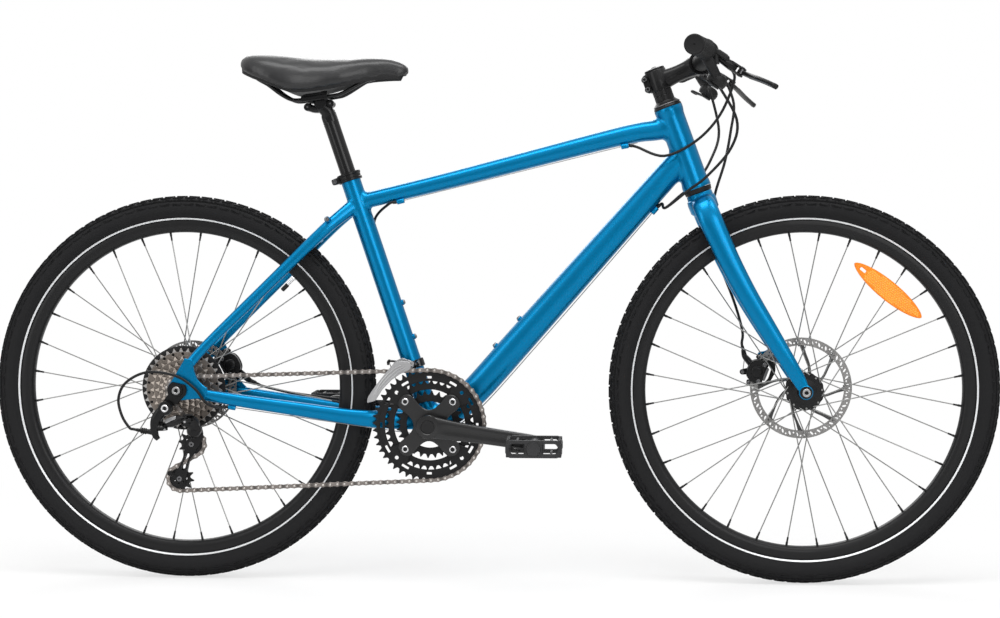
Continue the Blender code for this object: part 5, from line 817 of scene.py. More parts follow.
# Brake discs: a stainless ring drilled with ovals and small rounds between, on dark arms that sweep to a
# carrier held by the hub's lock ring.

@shaped
def rotor(bm, centre, radius, y, arms, hub_radius):
    band = radius - 14
    holes = [circle((0, 0), band, 96)]
    count = 40
    for i in range(count):
        turn = 360 * i / count
        holes.append(circle(spot_at(turn, radius - 4.6 - (4.6 if i % 2 else 0)), 1.6, 8))
        middle = polar(turn + 180 / count, radius - 7.2)
        lean = math.radians(turn + 180 / count + 35)
        oval_hole = []
        for x, z in circle((0, 0), 1, 12):
            u, v = x * 3.9, z * 1.7
            oval_hole.append((middle.x + u * math.cos(lean) - v * math.sin(lean),
                middle.z + u * math.sin(lean) + v * math.cos(lean)))
        holes.append(oval_hole)
    plate(bm, circle((0, 0), radius, 144), 1.8, side_view(centre, y), holes, 0.25, 0)
    step = 360 / arms
    for i in range(arms):
        sweep = [(24, -34), (34, -26), (48, -15), (62, -6), (band + 1.5, 0), (band + 3, 4)]
        if radius < 85:
            sweep = [(24, -34), (33, -26), (44, -16), (56, -7), (band + 1.5, 0), (band + 3, 4)]
        path = [centre + polar(i * step + turn, r, y) for r, turn in sweep]
        smooth_tube(bm, path, [(0.75, w) for w in (3.6, 2.9, 2.2, 2.4, 4.2, 5)], 4, 12, 6, LEFT, 1)
    ring = [(hub_radius, -1.6), (26, -1.6), (27, -1.2), (27, 1.4), (24, 2.6), (20, 3), (hub_radius, 3)]
    lathe(bm, ring, centre + LEFT * y, LEFT, 40, 1)
    for i in range(arms):
        foot = centre + polar(i * step + 3, 22, y)
        peg(bm, foot, LEFT, -2.6, 3.6, 2.6, 6, 0, 0.4)


disc_steel = finish("disc_steel", (0.26, 0.255, 0.25), 0.34, metallic=0.85, variation=0.2, scale=2200,
    depth=0.06)
dark_carrier = finish("dark_carrier", (0.07, 0.07, 0.07), 0.4, metallic=0.7, scale=1400)
piece("front_disc", rotor(FRONT_AXLE, 90, 39, 8, 15.4), "front_wheel", [disc_steel, dark_carrier],
    ["front_rotor"])
piece("rear_disc", rotor(REAR_AXLE, 80, 52, 8, 17.4), "rear_wheel", [disc_steel, dark_carrier],
    ["rear_rotor"])


# Wheel reflector: an amber moulding clipped across two spokes. Its face is a grid of small prisms behind a
# clear rim, with a slot for its clip near one end.

@shaped
def wheel_reflector(bm):
    centre = Vector((144, 0, 176))
    out = centre.normalized()
    along = Vector((out.z, 0, -out.x))
    half, rise = 75, 17
    outline = []
    for sign in (1, -1):
        for i in range(22):
            share = math.cos(math.pi * i / 22) * sign
            outline.append((share * half, sign * rise * max(1 - share**2, 0) ** 0.6))
    # It rests against the right-hand spokes, which stand further out nearer to the hub
    flange = FRONT_HUB["right_r"]
    share = 1 - (centre.length - rise - flange) / (RIM_SIDE[-1][0] - flange)
    y = FRONT_HUB["right_y"] * (1 / 12 + share * 11 / 12) - 1.9 * share - 4.9
    place = axes(FRONT_AXLE + centre + LEFT * y, along, out)
    hole = rounded([(-62, -2.6), (-50, -2.6), (-50, 2.6), (-62, 2.6)], 2, 4)
    plate(bm, outline, 5.4, place, [hole], 1.4, 0)
    facing = 1 if (place.to_3x3() @ UP).y < 0 else -1
    for i in range(25):
        for k in range(8):
            x, z = -46 + i * 4.6 + (k % 2) * 2.3, -12.6 + k * 3.6
            if abs(z) > rise * max(1 - (abs(x) + 3) ** 2 / half**2, 0) ** 0.6 - 3.2:
                continue
            spots = ((x - 2.2, z - 1.7), (x + 2.2, z - 1.7), (x + 2.2, z + 1.7), (x - 2.2, z + 1.7))
            base = [place @ Vector((*spot, facing * 2.6)) for spot in spots]
            tip = bm.verts.new(place @ Vector((x, z, facing * 3.4)))
            corners = [bm.verts.new(p) for p in base]
            for a, b in zip(corners, corners[1:] + corners[:1]):
                bm.faces.new((a, b, tip)).material_index = 1
            bm.faces.new(corners[::-1]).material_index = 1
    for sign in (1, -1):
        clip = place @ Vector((sign * 30, 0, -facing * 3))
        rod(bm, clip, clip + (place.to_3x3() @ UP) * -facing * 3, 4, 12, 0, 0.5)


amber_lens = finish("amber_lens", (0.93, 0.24, 0.015), 0.16, coat=0.6, variation=0.2, scale=800, depth=0.1)
amber_prism = finish("amber_prism", (0.98, 0.36, 0.03), 0.12, coat=0.8, variation=0.3, scale=800, depth=0.1)
piece("amber_reflector", wheel_reflector(), "front_wheel", [amber_lens, amber_prism],
    ["wheel_reflector"], sharp=25)


# Chain: one closed loop of stamped steel links. Wide plates outside alternate with narrow ones inside, on
# pins with their rollers, in mesh with the large ring, the small cog and both pulleys.

CHAIN_PITCH = 12.7
CHAIN_LINKS = 116
GUIDE_PULLEY = at(-525.44, 246.35)
TENSION_PULLEY = at(-547.29, 185.13)
CAGE_PIVOT = at(-517, 272)
RING_Y = -54.5
COG_Y = -62


def pitch_radius(teeth):
    return teeth * CHAIN_PITCH / TURN


CHAIN_WHEELS = (
    # centre, pitch radius, sense of its turning in the side view, side
    (BOTTOM_BRACKET, pitch_radius(48), -1, RING_Y),
    (TENSION_PULLEY, pitch_radius(11), -1, COG_Y),
    (GUIDE_PULLEY, pitch_radius(11), 1, COG_Y),
    (REAR_AXLE, pitch_radius(11), -1, COG_Y),
)


def tangent_angle(one, other):
    """The heading of the run that leaves one wheel and reaches the next."""
    (a, radius_a, sense_a, _), (b, radius_b, sense_b, _) = one, other
    between = b - a
    away = math.hypot(between.x, between.z)
    return math.atan2(between.z, between.x) - math.asin((radius_b * sense_b - radius_a * sense_a) / away)


def chain_stretches():
    """Each stretch of the chain with its length and a function from distance to a point, and the arrivals."""
    count = len(CHAIN_WHEELS)
    tangents = [tangent_angle(CHAIN_WHEELS[i], CHAIN_WHEELS[(i + 1) % count]) for i in range(count)]
    stretches, arrivals = [], []
    for i, (centre, radius, sense, y) in enumerate(CHAIN_WHEELS):
        arrive, leave = tangents[i - 1], tangents[i]
        arrivals.append(arrive - sense * TURN / 4)

        def round_wheel(s, c=centre, r=radius, k=sense, start=arrive, side=y):
            return c + polar(math.degrees(start - k * TURN / 4 + k * s / r), r, side)

        stretches.append((((leave - arrive) * sense) % TURN * radius, round_wheel))
        after, after_radius, after_sense, after_y = CHAIN_WHEELS[(i + 1) % count]
        normal = math.degrees(leave) - 90
        start = centre + polar(normal, radius * sense, y)
        end = after + polar(normal, after_radius * after_sense, after_y)
        run = (end - start).length
        stretches.append((run, lambda s, a=start, b=end, whole=run: a.lerp(b, s / whole)))
    return stretches, arrivals


def chain_pins():
    stretches, _ = chain_stretches()
    whole = sum(length for length, _ in stretches)
    found = []
    for i in range(CHAIN_LINKS):
        s = whole * i / CHAIN_LINKS
        for length, place in stretches:
            if s <= length:
                found.append(place(s))
                break
            s -= length
    return found


def valley_angle(number):
    """The angle of a valley that holds a roller, in degrees, on the wheel of that number along the chain."""
    stretches, arrivals = chain_stretches()
    before = sum(length for length, _ in stretches[: 2 * number])
    _, radius, sense, _ = CHAIN_WHEELS[number]
    return math.degrees(arrivals[number] + sense * ((-before) % CHAIN_PITCH) / radius)


def link_outline(long, end_radius, waist):
    """A figure of eight round both pins of a link."""
    half = long / 2
    right = arc((half, 0), end_radius, -118, 118, 8)
    return [*right, (0, waist), *[(-x, -z) for x, z in right], (0, -waist)]


@shaped
def chain(bm):
    pins = chain_pins()
    for i, here in enumerate(pins):
        there = pins[(i + 1) % len(pins)]
        along = there - here
        middle = (here + there) / 2
        reach, waist, side_y = (4.1, 2.7, 2.7) if i % 2 else (4.0, 2.9, 1.72)
        outline = link_outline(along.length, reach, waist)
        for sign in (1, -1):
            place = axes(middle + LEFT * sign * side_y, along, UP)
            plate(bm, outline, 0.9, place, bevel=0.2, look=0 if i % 2 else 1)
        peg(bm, here, LEFT, -3.5, 3.5, 1.9, 10, 2, 0.3)
        peg(bm, here, LEFT, -1.25, 1.25, 3.85, 12, 2)


chain_outer = finish("chain_outer", (0.24, 0.215, 0.2), 0.34, metallic=0.9, variation=0.4, scale=1200,
    depth=0.1)
chain_inner = finish("chain_inner", (0.13, 0.118, 0.11), 0.38, metallic=0.9, variation=0.4, scale=1200,
    depth=0.1)
chain_pin = finish("chain_pin", (0.6, 0.57, 0.54), 0.28, metallic=0.95, variation=0.3, scale=1200, depth=0.05)
piece("roller_chain", chain(), "frame", [chain_outer, chain_inner, chain_pin], ["chain"])


# Chainrings: three stamped rings riveted together, painted black. The large one has slots and dimples behind
# the bolts of the spider, and the two smaller ones show their teeth through the openings.

def toothed(teeth, first, lift=0.0):
    """A sprocket's outline with round-bottomed valleys, the first of them at the given angle."""
    radius = pitch_radius(teeth)
    root, tip = radius - 4.0, radius + 3.1 - lift
    shape = ((-0.16, root + 0.35), (0, root), (0.16, root + 0.35), (0.3, radius - 0.9), (0.43, tip - 0.3),
        (0.5, tip), (0.57, tip - 0.3), (0.7, radius - 0.9))
    found = []
    for i in range(teeth):
        for share, r in shape:
            turn = math.radians(first) + TURN * (i + share) / teeth
            found.append((r * math.cos(turn), r * math.sin(turn)))
    return found


def eared_bore(radius, reach, spread, ear):
    """A round opening with four ears that reach in to the bolts."""
    found = []
    for i in range(4):
        found += arc((0, 0), radius, 45 + spread + 90 * i, 135 - spread + 90 * i, 12)
        for turn, r in ((-ear, reach + 5), (-ear * 0.6, reach + 1), (ear * 0.6, reach + 1), (ear, reach + 5)):
            found.append(spot_at(135 + 90 * i + turn, r))
    return found


def curved_slot(radius, middle, spread, width):
    outer = arc((0, 0), radius + width / 2, middle - spread, middle + spread, 6)
    inner = arc((0, 0), radius - width / 2, middle + spread, middle - spread, 6)
    return rounded(outer + inner, width * 0.4, 2)


@shaped
def chainrings(bm):
    holes = [eared_bore(78, 50, 15, 10)]
    for i in range(4):
        for turn, spread in ((-15, 4.6), (15, 4.6), (45, 3)):
            holes.append(curved_slot(84.5, 45 + 90 * i + turn, spread, 4.2))
        holes.append(circle(spot_at(45 + 90 * i, 81), 3.4, 14))
    plate(bm, toothed(48, valley_angle(0)), 1.9, side_view(BOTTOM_BRACKET, RING_Y), holes, 0.35)
    middle_holes = [eared_bore(62.5, 50, 16, 11)]
    plate(bm, toothed(38, 7), 1.9, side_view(BOTTOM_BRACKET, RING_Y + 7), middle_holes, 0.35)
    inner_holes = [circle((0, 0), 41, 48)]
    plate(bm, toothed(28, 3), 1.9, side_view(BOTTOM_BRACKET, RING_Y + 14), inner_holes, 0.35)
    ridge = ((88, 0.4), (91, 0.4), (90.6, 1.5), (88.4, 1.5))
    lathe(bm, ridge, BOTTOM_BRACKET + LEFT * RING_Y, -LEFT, 96)
    for i in range(4):
        for number, reach in enumerate((59, 46)):
            foot = BOTTOM_BRACKET + polar(45 + 90 * i, reach, RING_Y + 7 * number)
            peg(bm, foot, LEFT, -0.5, 7.8, 4.4, 16, 0, 0.4)
        pin = BOTTOM_BRACKET + polar(20 + 90 * i, 93.2, RING_Y)
        rod(bm, pin, pin + LEFT * 2.2, 1.6, 8, 1, 0.3)


ring_black = finish("ring_black", (0.009, 0.009, 0.0095), 0.42, metallic=0.15, coat=0.08, scale=1400,
    depth=0.06)
piece("triple_chainrings", chainrings(), "crank", [ring_black, bolt_steel], ["chainrings"])


# Cranks: forged aluminium arms in satin black. The right one carries a four-arm spider with chrome-ringed
# bolts, and each boss is closed by a round cap over the spindle's bolt.

ARM_WAY = polar(-7.85, 1)
CRANK_LENGTH = 190
PEDAL_Y = 143
ARM_RUN = ((-19, 0, 8), (-12, 0, 16.5), (0, 0, 19.5), (12, 1, 19), (45, 5, 16.8), (100, 8, 15),
    (150, 10, 14.4), (180, 12, 14), (192, 12, 12.4), (200, 12, 8.2), (203.4, 12, 3.2))


@shaped
def crank(bm, side):
    way = ARM_WAY * (1 if side < 0 else -1)
    upward = LEFT.cross(way)
    loops = []
    for out, lean, wide in curve_through(ARM_RUN, 5):
        centre = BOTTOM_BRACKET + way * out + LEFT * side * (79 + lean)
        thick = 7.4 if out < 170 else 7.4 - (out - 170) * 0.04
        loop = []
        for i in range(40):
            c, s = math.cos(TURN * i / 40), math.sin(TURN * i / 40)
            x, z = math.copysign(abs(c) ** 0.55, c), math.copysign(abs(s) ** 0.55, s)
            hollow = 1.1 * max(1 - abs(z) * 1.5, 0) if 26 < out < 172 and x * side > 0 else 0
            loop.append(centre + LEFT * (x * (thick - hollow)) + upward * z * wide)
        loops.append(loop)
    skin(bm, loops)
    start = 40 if side > 0 else 52
    boss = [(8.6, start), (17.5, start), (19, start + 1.5), (20, 70), (20.4, 86.4), (19.6, 87.8),
        (13.4, 88.2), (12.4, 87.4), (12.2, 84), (8.6, 84)]
    lathe(bm, boss, BOTTOM_BRACKET, LEFT * side, 56)
    cap = [(0, 83.5), (11.6, 83.5), (11.6, 87), (10.6, 88), (7, 88.3), (0, 88.3)]
    lathe(bm, cap, BOTTOM_BRACKET, LEFT * side, 40, 1)
    eye = BOTTOM_BRACKET + way * CRANK_LENGTH + LEFT * side * 84
    bush = ((6.4, -1), (10.5, -1), (10.5, 14.2), (9.8, 15), (6.4, 15))
    lathe(bm, bush, eye - LEFT * side, LEFT * side, 32)
    if side < 0:
        spider(bm)


def spider(bm):
    outline = []
    for i in range(4):
        middle = 45 + 90 * i
        for turn, r in ((-45, 27.5), (-31, 30), (-22, 37), (-17.5, 46), (-15.5, 56), (-12, 64.5), (-6, 68.5),
                (0, 69.5), (6, 68.5), (12, 64.5), (15.5, 56), (17.5, 46), (22, 37), (31, 30)):
            outline.append(spot_at(middle + turn, r))
    smoothed = [(p[0], p[1]) for p in curve_through([*outline, outline[0]], 3)[:-1]]
    plate(bm, smoothed, 5, side_view(BOTTOM_BRACKET, -58.2), (), 1.1)
    for i in range(4):
        seat = BOTTOM_BRACKET + polar(45 + 90 * i, 59, -60.5)
        ring = ((3.6, 0), (6, 0), (6, 0.8), (5.2, 1.5), (3.9, 1.5), (3.6, 1.1))
        lathe(bm, ring, seat, -LEFT, 28, 2)
        socket_bolt(bm, seat, -LEFT, 3.8, 1.1, 3.6, 1)


satin_black = finish("satin_black", (0.005, 0.005, 0.0054), 0.33, metallic=0.1, coat=0.1, scale=1500,
    depth=0.05)
crank_paint = finish("crank_paint", (0.008, 0.008, 0.0084), 0.3, metallic=0.1, coat=0.2, scale=1500,
    depth=0.05, gloss=0.42)
HANDS = ((-1, "right"), (1, "left"))
crank_looks = {"right": [crank_paint, black_nylon, bright_metal], "left": [crank_paint, black_nylon]}
for side, name in HANDS:
    piece(f"{name}_crank_arm", crank(side), "crank", crank_looks[name], [f"crank_{name}"])


# Bottom bracket: a sealed steel cartridge screwed into the shell, with a splined black cup at each end. The
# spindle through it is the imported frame's own, in bare steel.

@shaped
def bottom_bracket(bm):
    for side in (1, -1):
        cup = [(8.9, 20), (16.9, 20), (16.9, 34.4), (19.4, 34.4), (19.4, 36.6), (17.6, 37.8), (14, 37.8),
            (13.4, 36.6), (8.9, 36.2)]
        lathe(bm, cup, BOTTOM_BRACKET, LEFT * side, 48)
        for i in range(16):
            spot = BOTTOM_BRACKET + polar(22.5 * i, 18.8, side * 35.6)
            rod(bm, spot - LEFT * side * 1.2, spot + LEFT * side * 1.4, 1.3, 6)
    lathe(bm, ((8.9, -20.5), (15.6, -20.5), (15.6, 20.5), (8.9, 20.5)), BOTTOM_BRACKET, LEFT, 40, 1)


piece("bottom_bracket_cups", bottom_bracket(), "frame", [black_anodised, bolt_steel],
    ["bottom_bracket"])
spindle_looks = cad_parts["crank_spindle"].data.materials
spindle_looks.clear()
spindle_looks.append(bolt_steel)


# Pedals: a moulded black cage with serrated edges and grey-worn rims round a barrel, on a steel axle with
# spanner flats beside the crank.

@shaped
def pedal(bm, side):
    axis = BOTTOM_BRACKET + ARM_WAY * CRANK_LENGTH * (1 if side < 0 else -1)
    middle = axis + LEFT * side * PEDAL_Y
    outline = [(-47.5, -7), (-41, -15), (41, -15), (47.5, -7), (47.5, 7), (41, 15), (-41, 15), (-47.5, 7)]
    for y, thick in ((36, 6), (-36, 6)):
        windows = []
        for sign in (1, -1):
            window = [(sign * 15, -8), (sign * 37, -8), (sign * 41, -3), (sign * 41, 4), (sign * 37, 9),
                (sign * 15, 9)]
            windows.append(rounded(window, 2, 2))
        plate(bm, rounded(outline, 2.5, 3), thick, side_view(middle, y), windows, 0.8, 0)
    for x in (-44, 44):
        teeth = [(-34, -13)]
        for i in range(8):
            at_y = -34 + 68 * i / 8
            teeth += [(at_y + 1.5, -12.6), (at_y + 3, -14.9), (at_y + 5.5, -14.9), (at_y + 7, -12.6)]
        teeth += [(34, -12.6)]
        rim = [*teeth[1:], *[(y, -z) for y, z in reversed(teeth[1:])]]
        hole = rounded([(-29, -6), (29, -6), (29, 6), (-29, 6)], 3, 3)
        plate(bm, rim, 5.5, axes(middle + FORWARD * x, LEFT, UP), [hole], 0.6, 0)
    for z in (-10.5, 10.5):
        for x in (-29, 29):
            tube(bm, [middle + at(x, z, -34), middle + at(x, z, 34)], [(2.2, 1.8)] * 2, 12, 3, FORWARD)
    for x in (-14.5, 14.5):
        tube(bm, [middle + at(x, 0, -34), middle + at(x, 0, 34)], [(2.6, 9)] * 2, 16, 4, FORWARD)
    barrel = [(0, -41), (11.5, -41), (12.5, -39.5), (12.5, -30), (11, -28), (11, 28), (12.5, 30),
        (12.5, 39.5), (11.5, 41.8), (6, 42), (0, 42)]
    lathe(bm, barrel, middle, LEFT * side, 32, 0)
    shaft = [(0, -61), (5.8, -61), (5.8, -52.5), (8.4, -52.5), (8.4, -45), (7.2, -44), (7.2, -40), (0, -40)]
    lathe(bm, shaft, middle, LEFT * side, 8, 1)


worn_nylon = finish("worn_nylon", (0.03, 0.03, 0.031), 0.5, variation=0.7, scale=600, depth=0.3)
for side, name in HANDS:
    piece(f"{name}_pedal_cage", pedal(side), f"pedal_{name}", [worn_nylon, bolt_steel],
        [f"pedal_{name}"])


# Cassette: seven stamped cogs on the freehub with thin spacers between and a notched lock ring outside. The
# large cogs are drilled, and the steel is nickel plated, brownish from use. Each cog's body is painted a
# darker brown for the shade that falls between the cogs, and only a thin ring over the teeth on its outer
# face has the plated colour.

COG_TEETH = (11, 13, 15, 18, 22, 27, 34)


@shaped
def cassette(bm):
    for i, teeth in enumerate(COG_TEETH):
        y = COG_Y + 5 * i
        radius = pitch_radius(teeth)
        holes = [circle((0, 0), 15.4, 32)]
        if i > 2:
            before = pitch_radius(COG_TEETH[i - 1]) + 3.2
            middle, size = (before + radius - 4) / 2, (radius - 4 - before) / 2 - 0.9
            count = 26 if i < 6 else 22
            if size > 0.6:
                for k in range(count):
                    holes.append(circle(spot_at(360 * k / count + 4 * i, middle), min(size, 2.9), 10))
        look = 0 if i < 6 else 1
        outline = toothed(teeth, valley_angle(3) + 5.5 * i, 0.3)
        # The whole cog takes the darker brown of look 3: painted shade for the gaps between the cogs
        plate(bm, outline, 1.8, side_view(REAR_AXLE, y), holes, 0.3, 3)
        # A thin ring on the outer face over the teeth carries the plated colour, lighter than the painted
        # shade
        tooth_ring_bore = [circle((0, 0), radius - 3.7, 64)]
        plate(bm, inset(outline, 0.35), 0.14, side_view(REAR_AXLE, y - 0.92), tooth_ring_bore, 0, look)
        if i:
            spacer = [(15.2, -4.1), (min(radius - 9, 30), -4.1), (min(radius - 9, 30), -0.9), (15.2, -0.9)]
            lathe(bm, spacer, REAR_AXLE + LEFT * y, LEFT, 40, 2)
    body = [(5.3, -66), (9, -66), (14.8, -66), (14.8, -29.4), (5.3, -29.4)]
    lathe(bm, body, REAR_AXLE, LEFT, 36, 1)
    ring = [(9.5, -67), (16.4, -67), (16.8, -66.4), (16.8, -63.4), (9.5, -63.4)]
    lathe(bm, ring, REAR_AXLE, LEFT, 40, 1)
    for i in range(12):
        spot = REAR_AXLE + polar(30 * i, 11, -67)
        rod(bm, spot, spot - LEFT * 0.9, 1.5, 6, 1)


cog_nickel = finish("cog_nickel", (0.58, 0.51, 0.45), 0.3, metallic=0.9, variation=0.55, scale=900, depth=0.1)
large_cog = finish("large_cog", (0.44, 0.43, 0.42), 0.32, metallic=0.9, variation=0.4, scale=900, depth=0.1)
# Darker brown painted onto the cogs' bodies as the shade between the cogs
cog_painted_shade = finish("cog_painted_shade", (0.19, 0.165, 0.145), 0.4, metallic=0.9, variation=0.5, scale=900, depth=0.1)
piece("stamped_cassette", cassette(), "cassette", [cog_nickel, large_cog, black_nylon, cog_painted_shade],
    ["cassette"])


# Spoke protector: a dished clear-black plastic disc behind the large cog, with moulded ribs and a collar.

@shaped
def spoke_protector(bm):
    dish = [(17.4, -25.6), (40, -25.6), (72, -24.6), (74.6, -24.3), (75, -23.6), (74.2, -23.2), (40, -24.2),
        (21.5, -24.2), (21.5, -22), (17.4, -22)]
    lathe(bm, dish, REAR_AXLE, LEFT, 72)
    for i in range(24):
        start, end = REAR_AXLE + polar(15 * i, 30, -24), REAR_AXLE + polar(15 * i, 70, -23.4)
        rod(bm, start, end, 0.8, 6)


piece("protector_disc", spoke_protector(), "rear_wheel", [black_nylon], ["spoke_protector"])


# Rear derailleur: painted alloy and glass-filled nylon. The upper knuckle hangs from the bolted hanger, a
# bowed cover link with a plain silver panel joins it to the domed lower knuckle, and a sprung cage carries
# two toothed pulleys.

HANGER_BOLT = at(-567, 311.5)
BARREL = at(-612, 272, -86)
LINK_FOOT = at(-568, 279, -84)
SWING_AXIS = Vector((0, math.sqrt(0.5), math.sqrt(0.5)))
SWING_OUT = Vector((0, math.sqrt(0.5), -math.sqrt(0.5)))
LINK_LENGTH = 45
LINK_RISE = math.radians(-30)
LINK_HEAD = LINK_FOOT + (FORWARD * math.cos(LINK_RISE) + SWING_OUT * math.sin(LINK_RISE)) * LINK_LENGTH


@shaped
def hanger(bm):
    ax, az = REAR_AXLE.x, REAR_AXLE.z
    outline = [*arc((ax, az), 17, 205, 120, 8), *arc((ax, az), 17, 35, -30, 8), (ax + 2, az - 22),
        (-557, 314), *arc((HANGER_BOLT.x, HANGER_BOLT.z), 10, 0, -190, 14), (-571, 326)]
    plate(bm, outline, 4, side_view(y=-77.3), [circle((ax, az), 5.2, 20)], 0.7)


def pivot_bolt(bm, seat, out, radius, ring_look, socket_look):
    """A pivot's chromed ring with the hexagonal socket of its bolt."""
    ring = ((radius * 0.56, 0), (radius, 0), (radius, 0.9), (radius * 0.88, 1.6), (radius * 0.66, 1.6),
        (radius * 0.56, 1.1))
    lathe(bm, ring, seat, out, 32, ring_look)
    socket_bolt(bm, seat, out, radius * 0.6, 1.2, radius * 0.62, socket_look)


def link_ear(bm, point, reach):
    """A pair of ears on either side of a link's pin."""
    for sign in (1, -1):
        root = point + SWING_AXIS * sign * 5.1
        ear = [root - reach.normalized() * 4.5, root, root + reach]
        tube(bm, ear, [(1.9, 2.6), (1.9, 4.6), (2.4, 5.4)], 14, 3, SWING_AXIS)


@shaped
def derailleur_mount(bm):
    pivot = HANGER_BOLT - LEFT * 79.6
    drum = [(0, 0), (11.4, 0), (12.6, 1.4), (12.8, 10), (11.6, 13.2), (8, 14), (0, 14)]
    lathe(bm, drum, pivot, -LEFT, 40)
    pivot_bolt(bm, pivot - LEFT * 13.9, -LEFT, 6.6, 1, 2)
    line = [pivot + at(x, z, -7) for x, z in ((-1, -2), (-10, -9), (-18, -22), (-20, -36), (-18, -48),
        (-13, -55))]
    smooth_tube(bm, line, [(6.5, 9), (6.5, 9.5), (6.2, 8.5), (5.6, 6.8), (5.2, 5.6), (4.4, 3.6)], 4, 28, 3)
    root = pivot + at(-20, -43, -7)
    hose(bm, smooth([root, root.lerp(BARREL, 0.5), BARREL], 3), [5.2, 5, 4.6, 4.4, 4.2, 4, 3.8], 16)
    along = (BARREL - root).normalized()
    for k in range(3):
        spot = BARREL - along * (3 + 3.4 * k)
        lathe(bm, ((2, -1.1), (5.2, -1.1), (5.6, 0), (5.2, 1.1), (2, 1.1)), spot, along, 14)
    link_ear(bm, LINK_FOOT, Vector((-14, 0, 0)))
    screw = pivot + at(6, -31, -11)
    rod(bm, screw, screw + at(9, -2), 1.8, 10, 1, 0.3)


@shaped
def derailleur_link(bm):
    along = (LINK_HEAD - LINK_FOOT).normalized()
    outward = along.cross(SWING_AXIS)
    spots = [(-5, 0), (2, 1), (12, 3.2), (24, 4.2), (34, 3.2), (43, 1), (50, 0)]
    sizes = [(2.4, 2.6), (2.6, 4.6), (7, 6.8), (8.5, 7.4), (7.4, 6.6), (2.6, 4.8), (2.3, 2.6)]
    smooth_tube(bm, [LINK_FOOT + along * s + outward * h for s, h in spots], sizes, 5, 28, 3, SWING_AXIS)
    for p in (LINK_FOOT, LINK_HEAD):
        peg(bm, p, SWING_AXIS, -8.6, 8.6, 2.4, 14, 1, 0.5)
    panel = axes(LINK_FOOT + along * 21 + outward * 11, along, SWING_AXIS)
    plate(bm, rounded([(-11, -5), (11, -3.8), (11, 3.8), (-11, 5)], 1.2, 3), 1.4, panel, (), 0.4, 1)


@shaped
def derailleur_knuckle(bm):
    dome = [(0, -96), (5, -95.8), (9.6, -94), (12.2, -90), (12.4, -80), (11.6, -78), (4.4, -78), (4.4, -90),
        (0, -90)]
    lathe(bm, dome, CAGE_PIVOT, LEFT, 44)
    start, end = LINK_HEAD + at(11, 0), CAGE_PIVOT - LEFT * 87
    smooth_tube(bm, [start, start.lerp(end, 0.5) + at(3, 4), end], [(7, 5), (7.4, 8.5), (7, 10)], 5, 28, 3)
    link_ear(bm, LINK_HEAD, Vector((12, 0, 0)))
    shell = [CAGE_PIVOT + at(x, z, y) for x, z, y in ((-20, 12, -93), (-8, 13, -95.5), (5, 9, -95),
        (12, -1, -92))]
    smooth_tube(bm, shell, [(2, 3), (2.6, 6), (2.6, 6), (1.6, 3)], 4, 18, 2.4)


@shaped
def derailleur_cage(bm):
    top, low = (GUIDE_PULLEY.x, GUIDE_PULLEY.z), (TENSION_PULLEY.x, TENSION_PULLEY.z)
    base = math.degrees(math.atan2(low[1] - top[1], low[0] - top[0]))
    way, square = polar(base, 1), polar(base + 90, 1)

    def along_cage(*stations):
        return [(top[0] + way.x * s + square.x * w, top[1] + way.z * s + square.z * w) for s, w in stations]

    for sign, width in ((1, 8.6), (-1, 10.6)):
        right = along_cage((9, width), (26, width * 0.62), (44, width * 0.66), (56, width))
        left = along_cage((56, -width), (44, -width * 0.66), (26, -width * 0.62), (9, -width))
        outline = [*arc(low, width + 2, base + 75, base - 75, 14), *left,
            *arc(top, width + 0.5, base - 100, base - 260, 14), *right]
        slot = along_cage((19, 3.2), (46, 3.4), (50, 0), (46, -3.4), (19, -3.2), (15, 0))
        holes = [rounded(slot, 2, 3)]
        for turn in (-50, 10, 70):
            spot = polar(base + turn, width - 2)
            holes.append(circle((low[0] + spot.x, low[1] + spot.z), 1.3, 8))
        plate(bm, outline[::-1], 2, side_view(y=COG_Y + sign * 7), holes, 0.4)
    arm = [at(x, z, -69.2) for x, z in ((-516, 274), (-513.5, 262), (-519, 250), (-526, 240))]
    smooth_tube(bm, arm, [(1.3, w) for w in (10, 9.4, 9.2, 8)], 4, 20, 5)
    ring = [(0, -68), (11, -68), (11.4, -70), (11.4, -76.4), (10.8, -77.6), (4, -77.6), (3.8, -89), (0, -89)]
    lathe(bm, ring, CAGE_PIVOT, LEFT, 36)
    for centre in (GUIDE_PULLEY, TENSION_PULLEY):
        peg(bm, centre, LEFT, -55.4, -70, 2.9, 12, 1)
        socket_bolt(bm, centre - LEFT * 70, -LEFT, 4.6, 1.4, 3, 1, 2)
    stop = at(*along_cage((62, -19))[0], -69)
    peg(bm, stop, LEFT, 1.6, -2, 4.4, 18, 0, 0.6)
    tube(bm, [stop, TENSION_PULLEY - LEFT * 69], [(1.2, 3.6), (1.2, 6)], 16, 4)


@shaped
def pulley(bm, centre, number):
    holes = [circle((0, 0), 3.5, 16)]
    for i in range(5):
        holes.append(circle(spot_at(72 * i, 10.2), 2.5, 12))
    plate(bm, toothed(11, valley_angle(number), 0.2), 2.2, side_view(centre, COG_Y), holes, 0.4)
    hub = [(3.5, -3.4), (6, -3.4), (6.6, -2.8), (6.6, 2.8), (6, 3.4), (3.5, 3.4)]
    lathe(bm, hub, centre + LEFT * COG_Y, LEFT, 24)


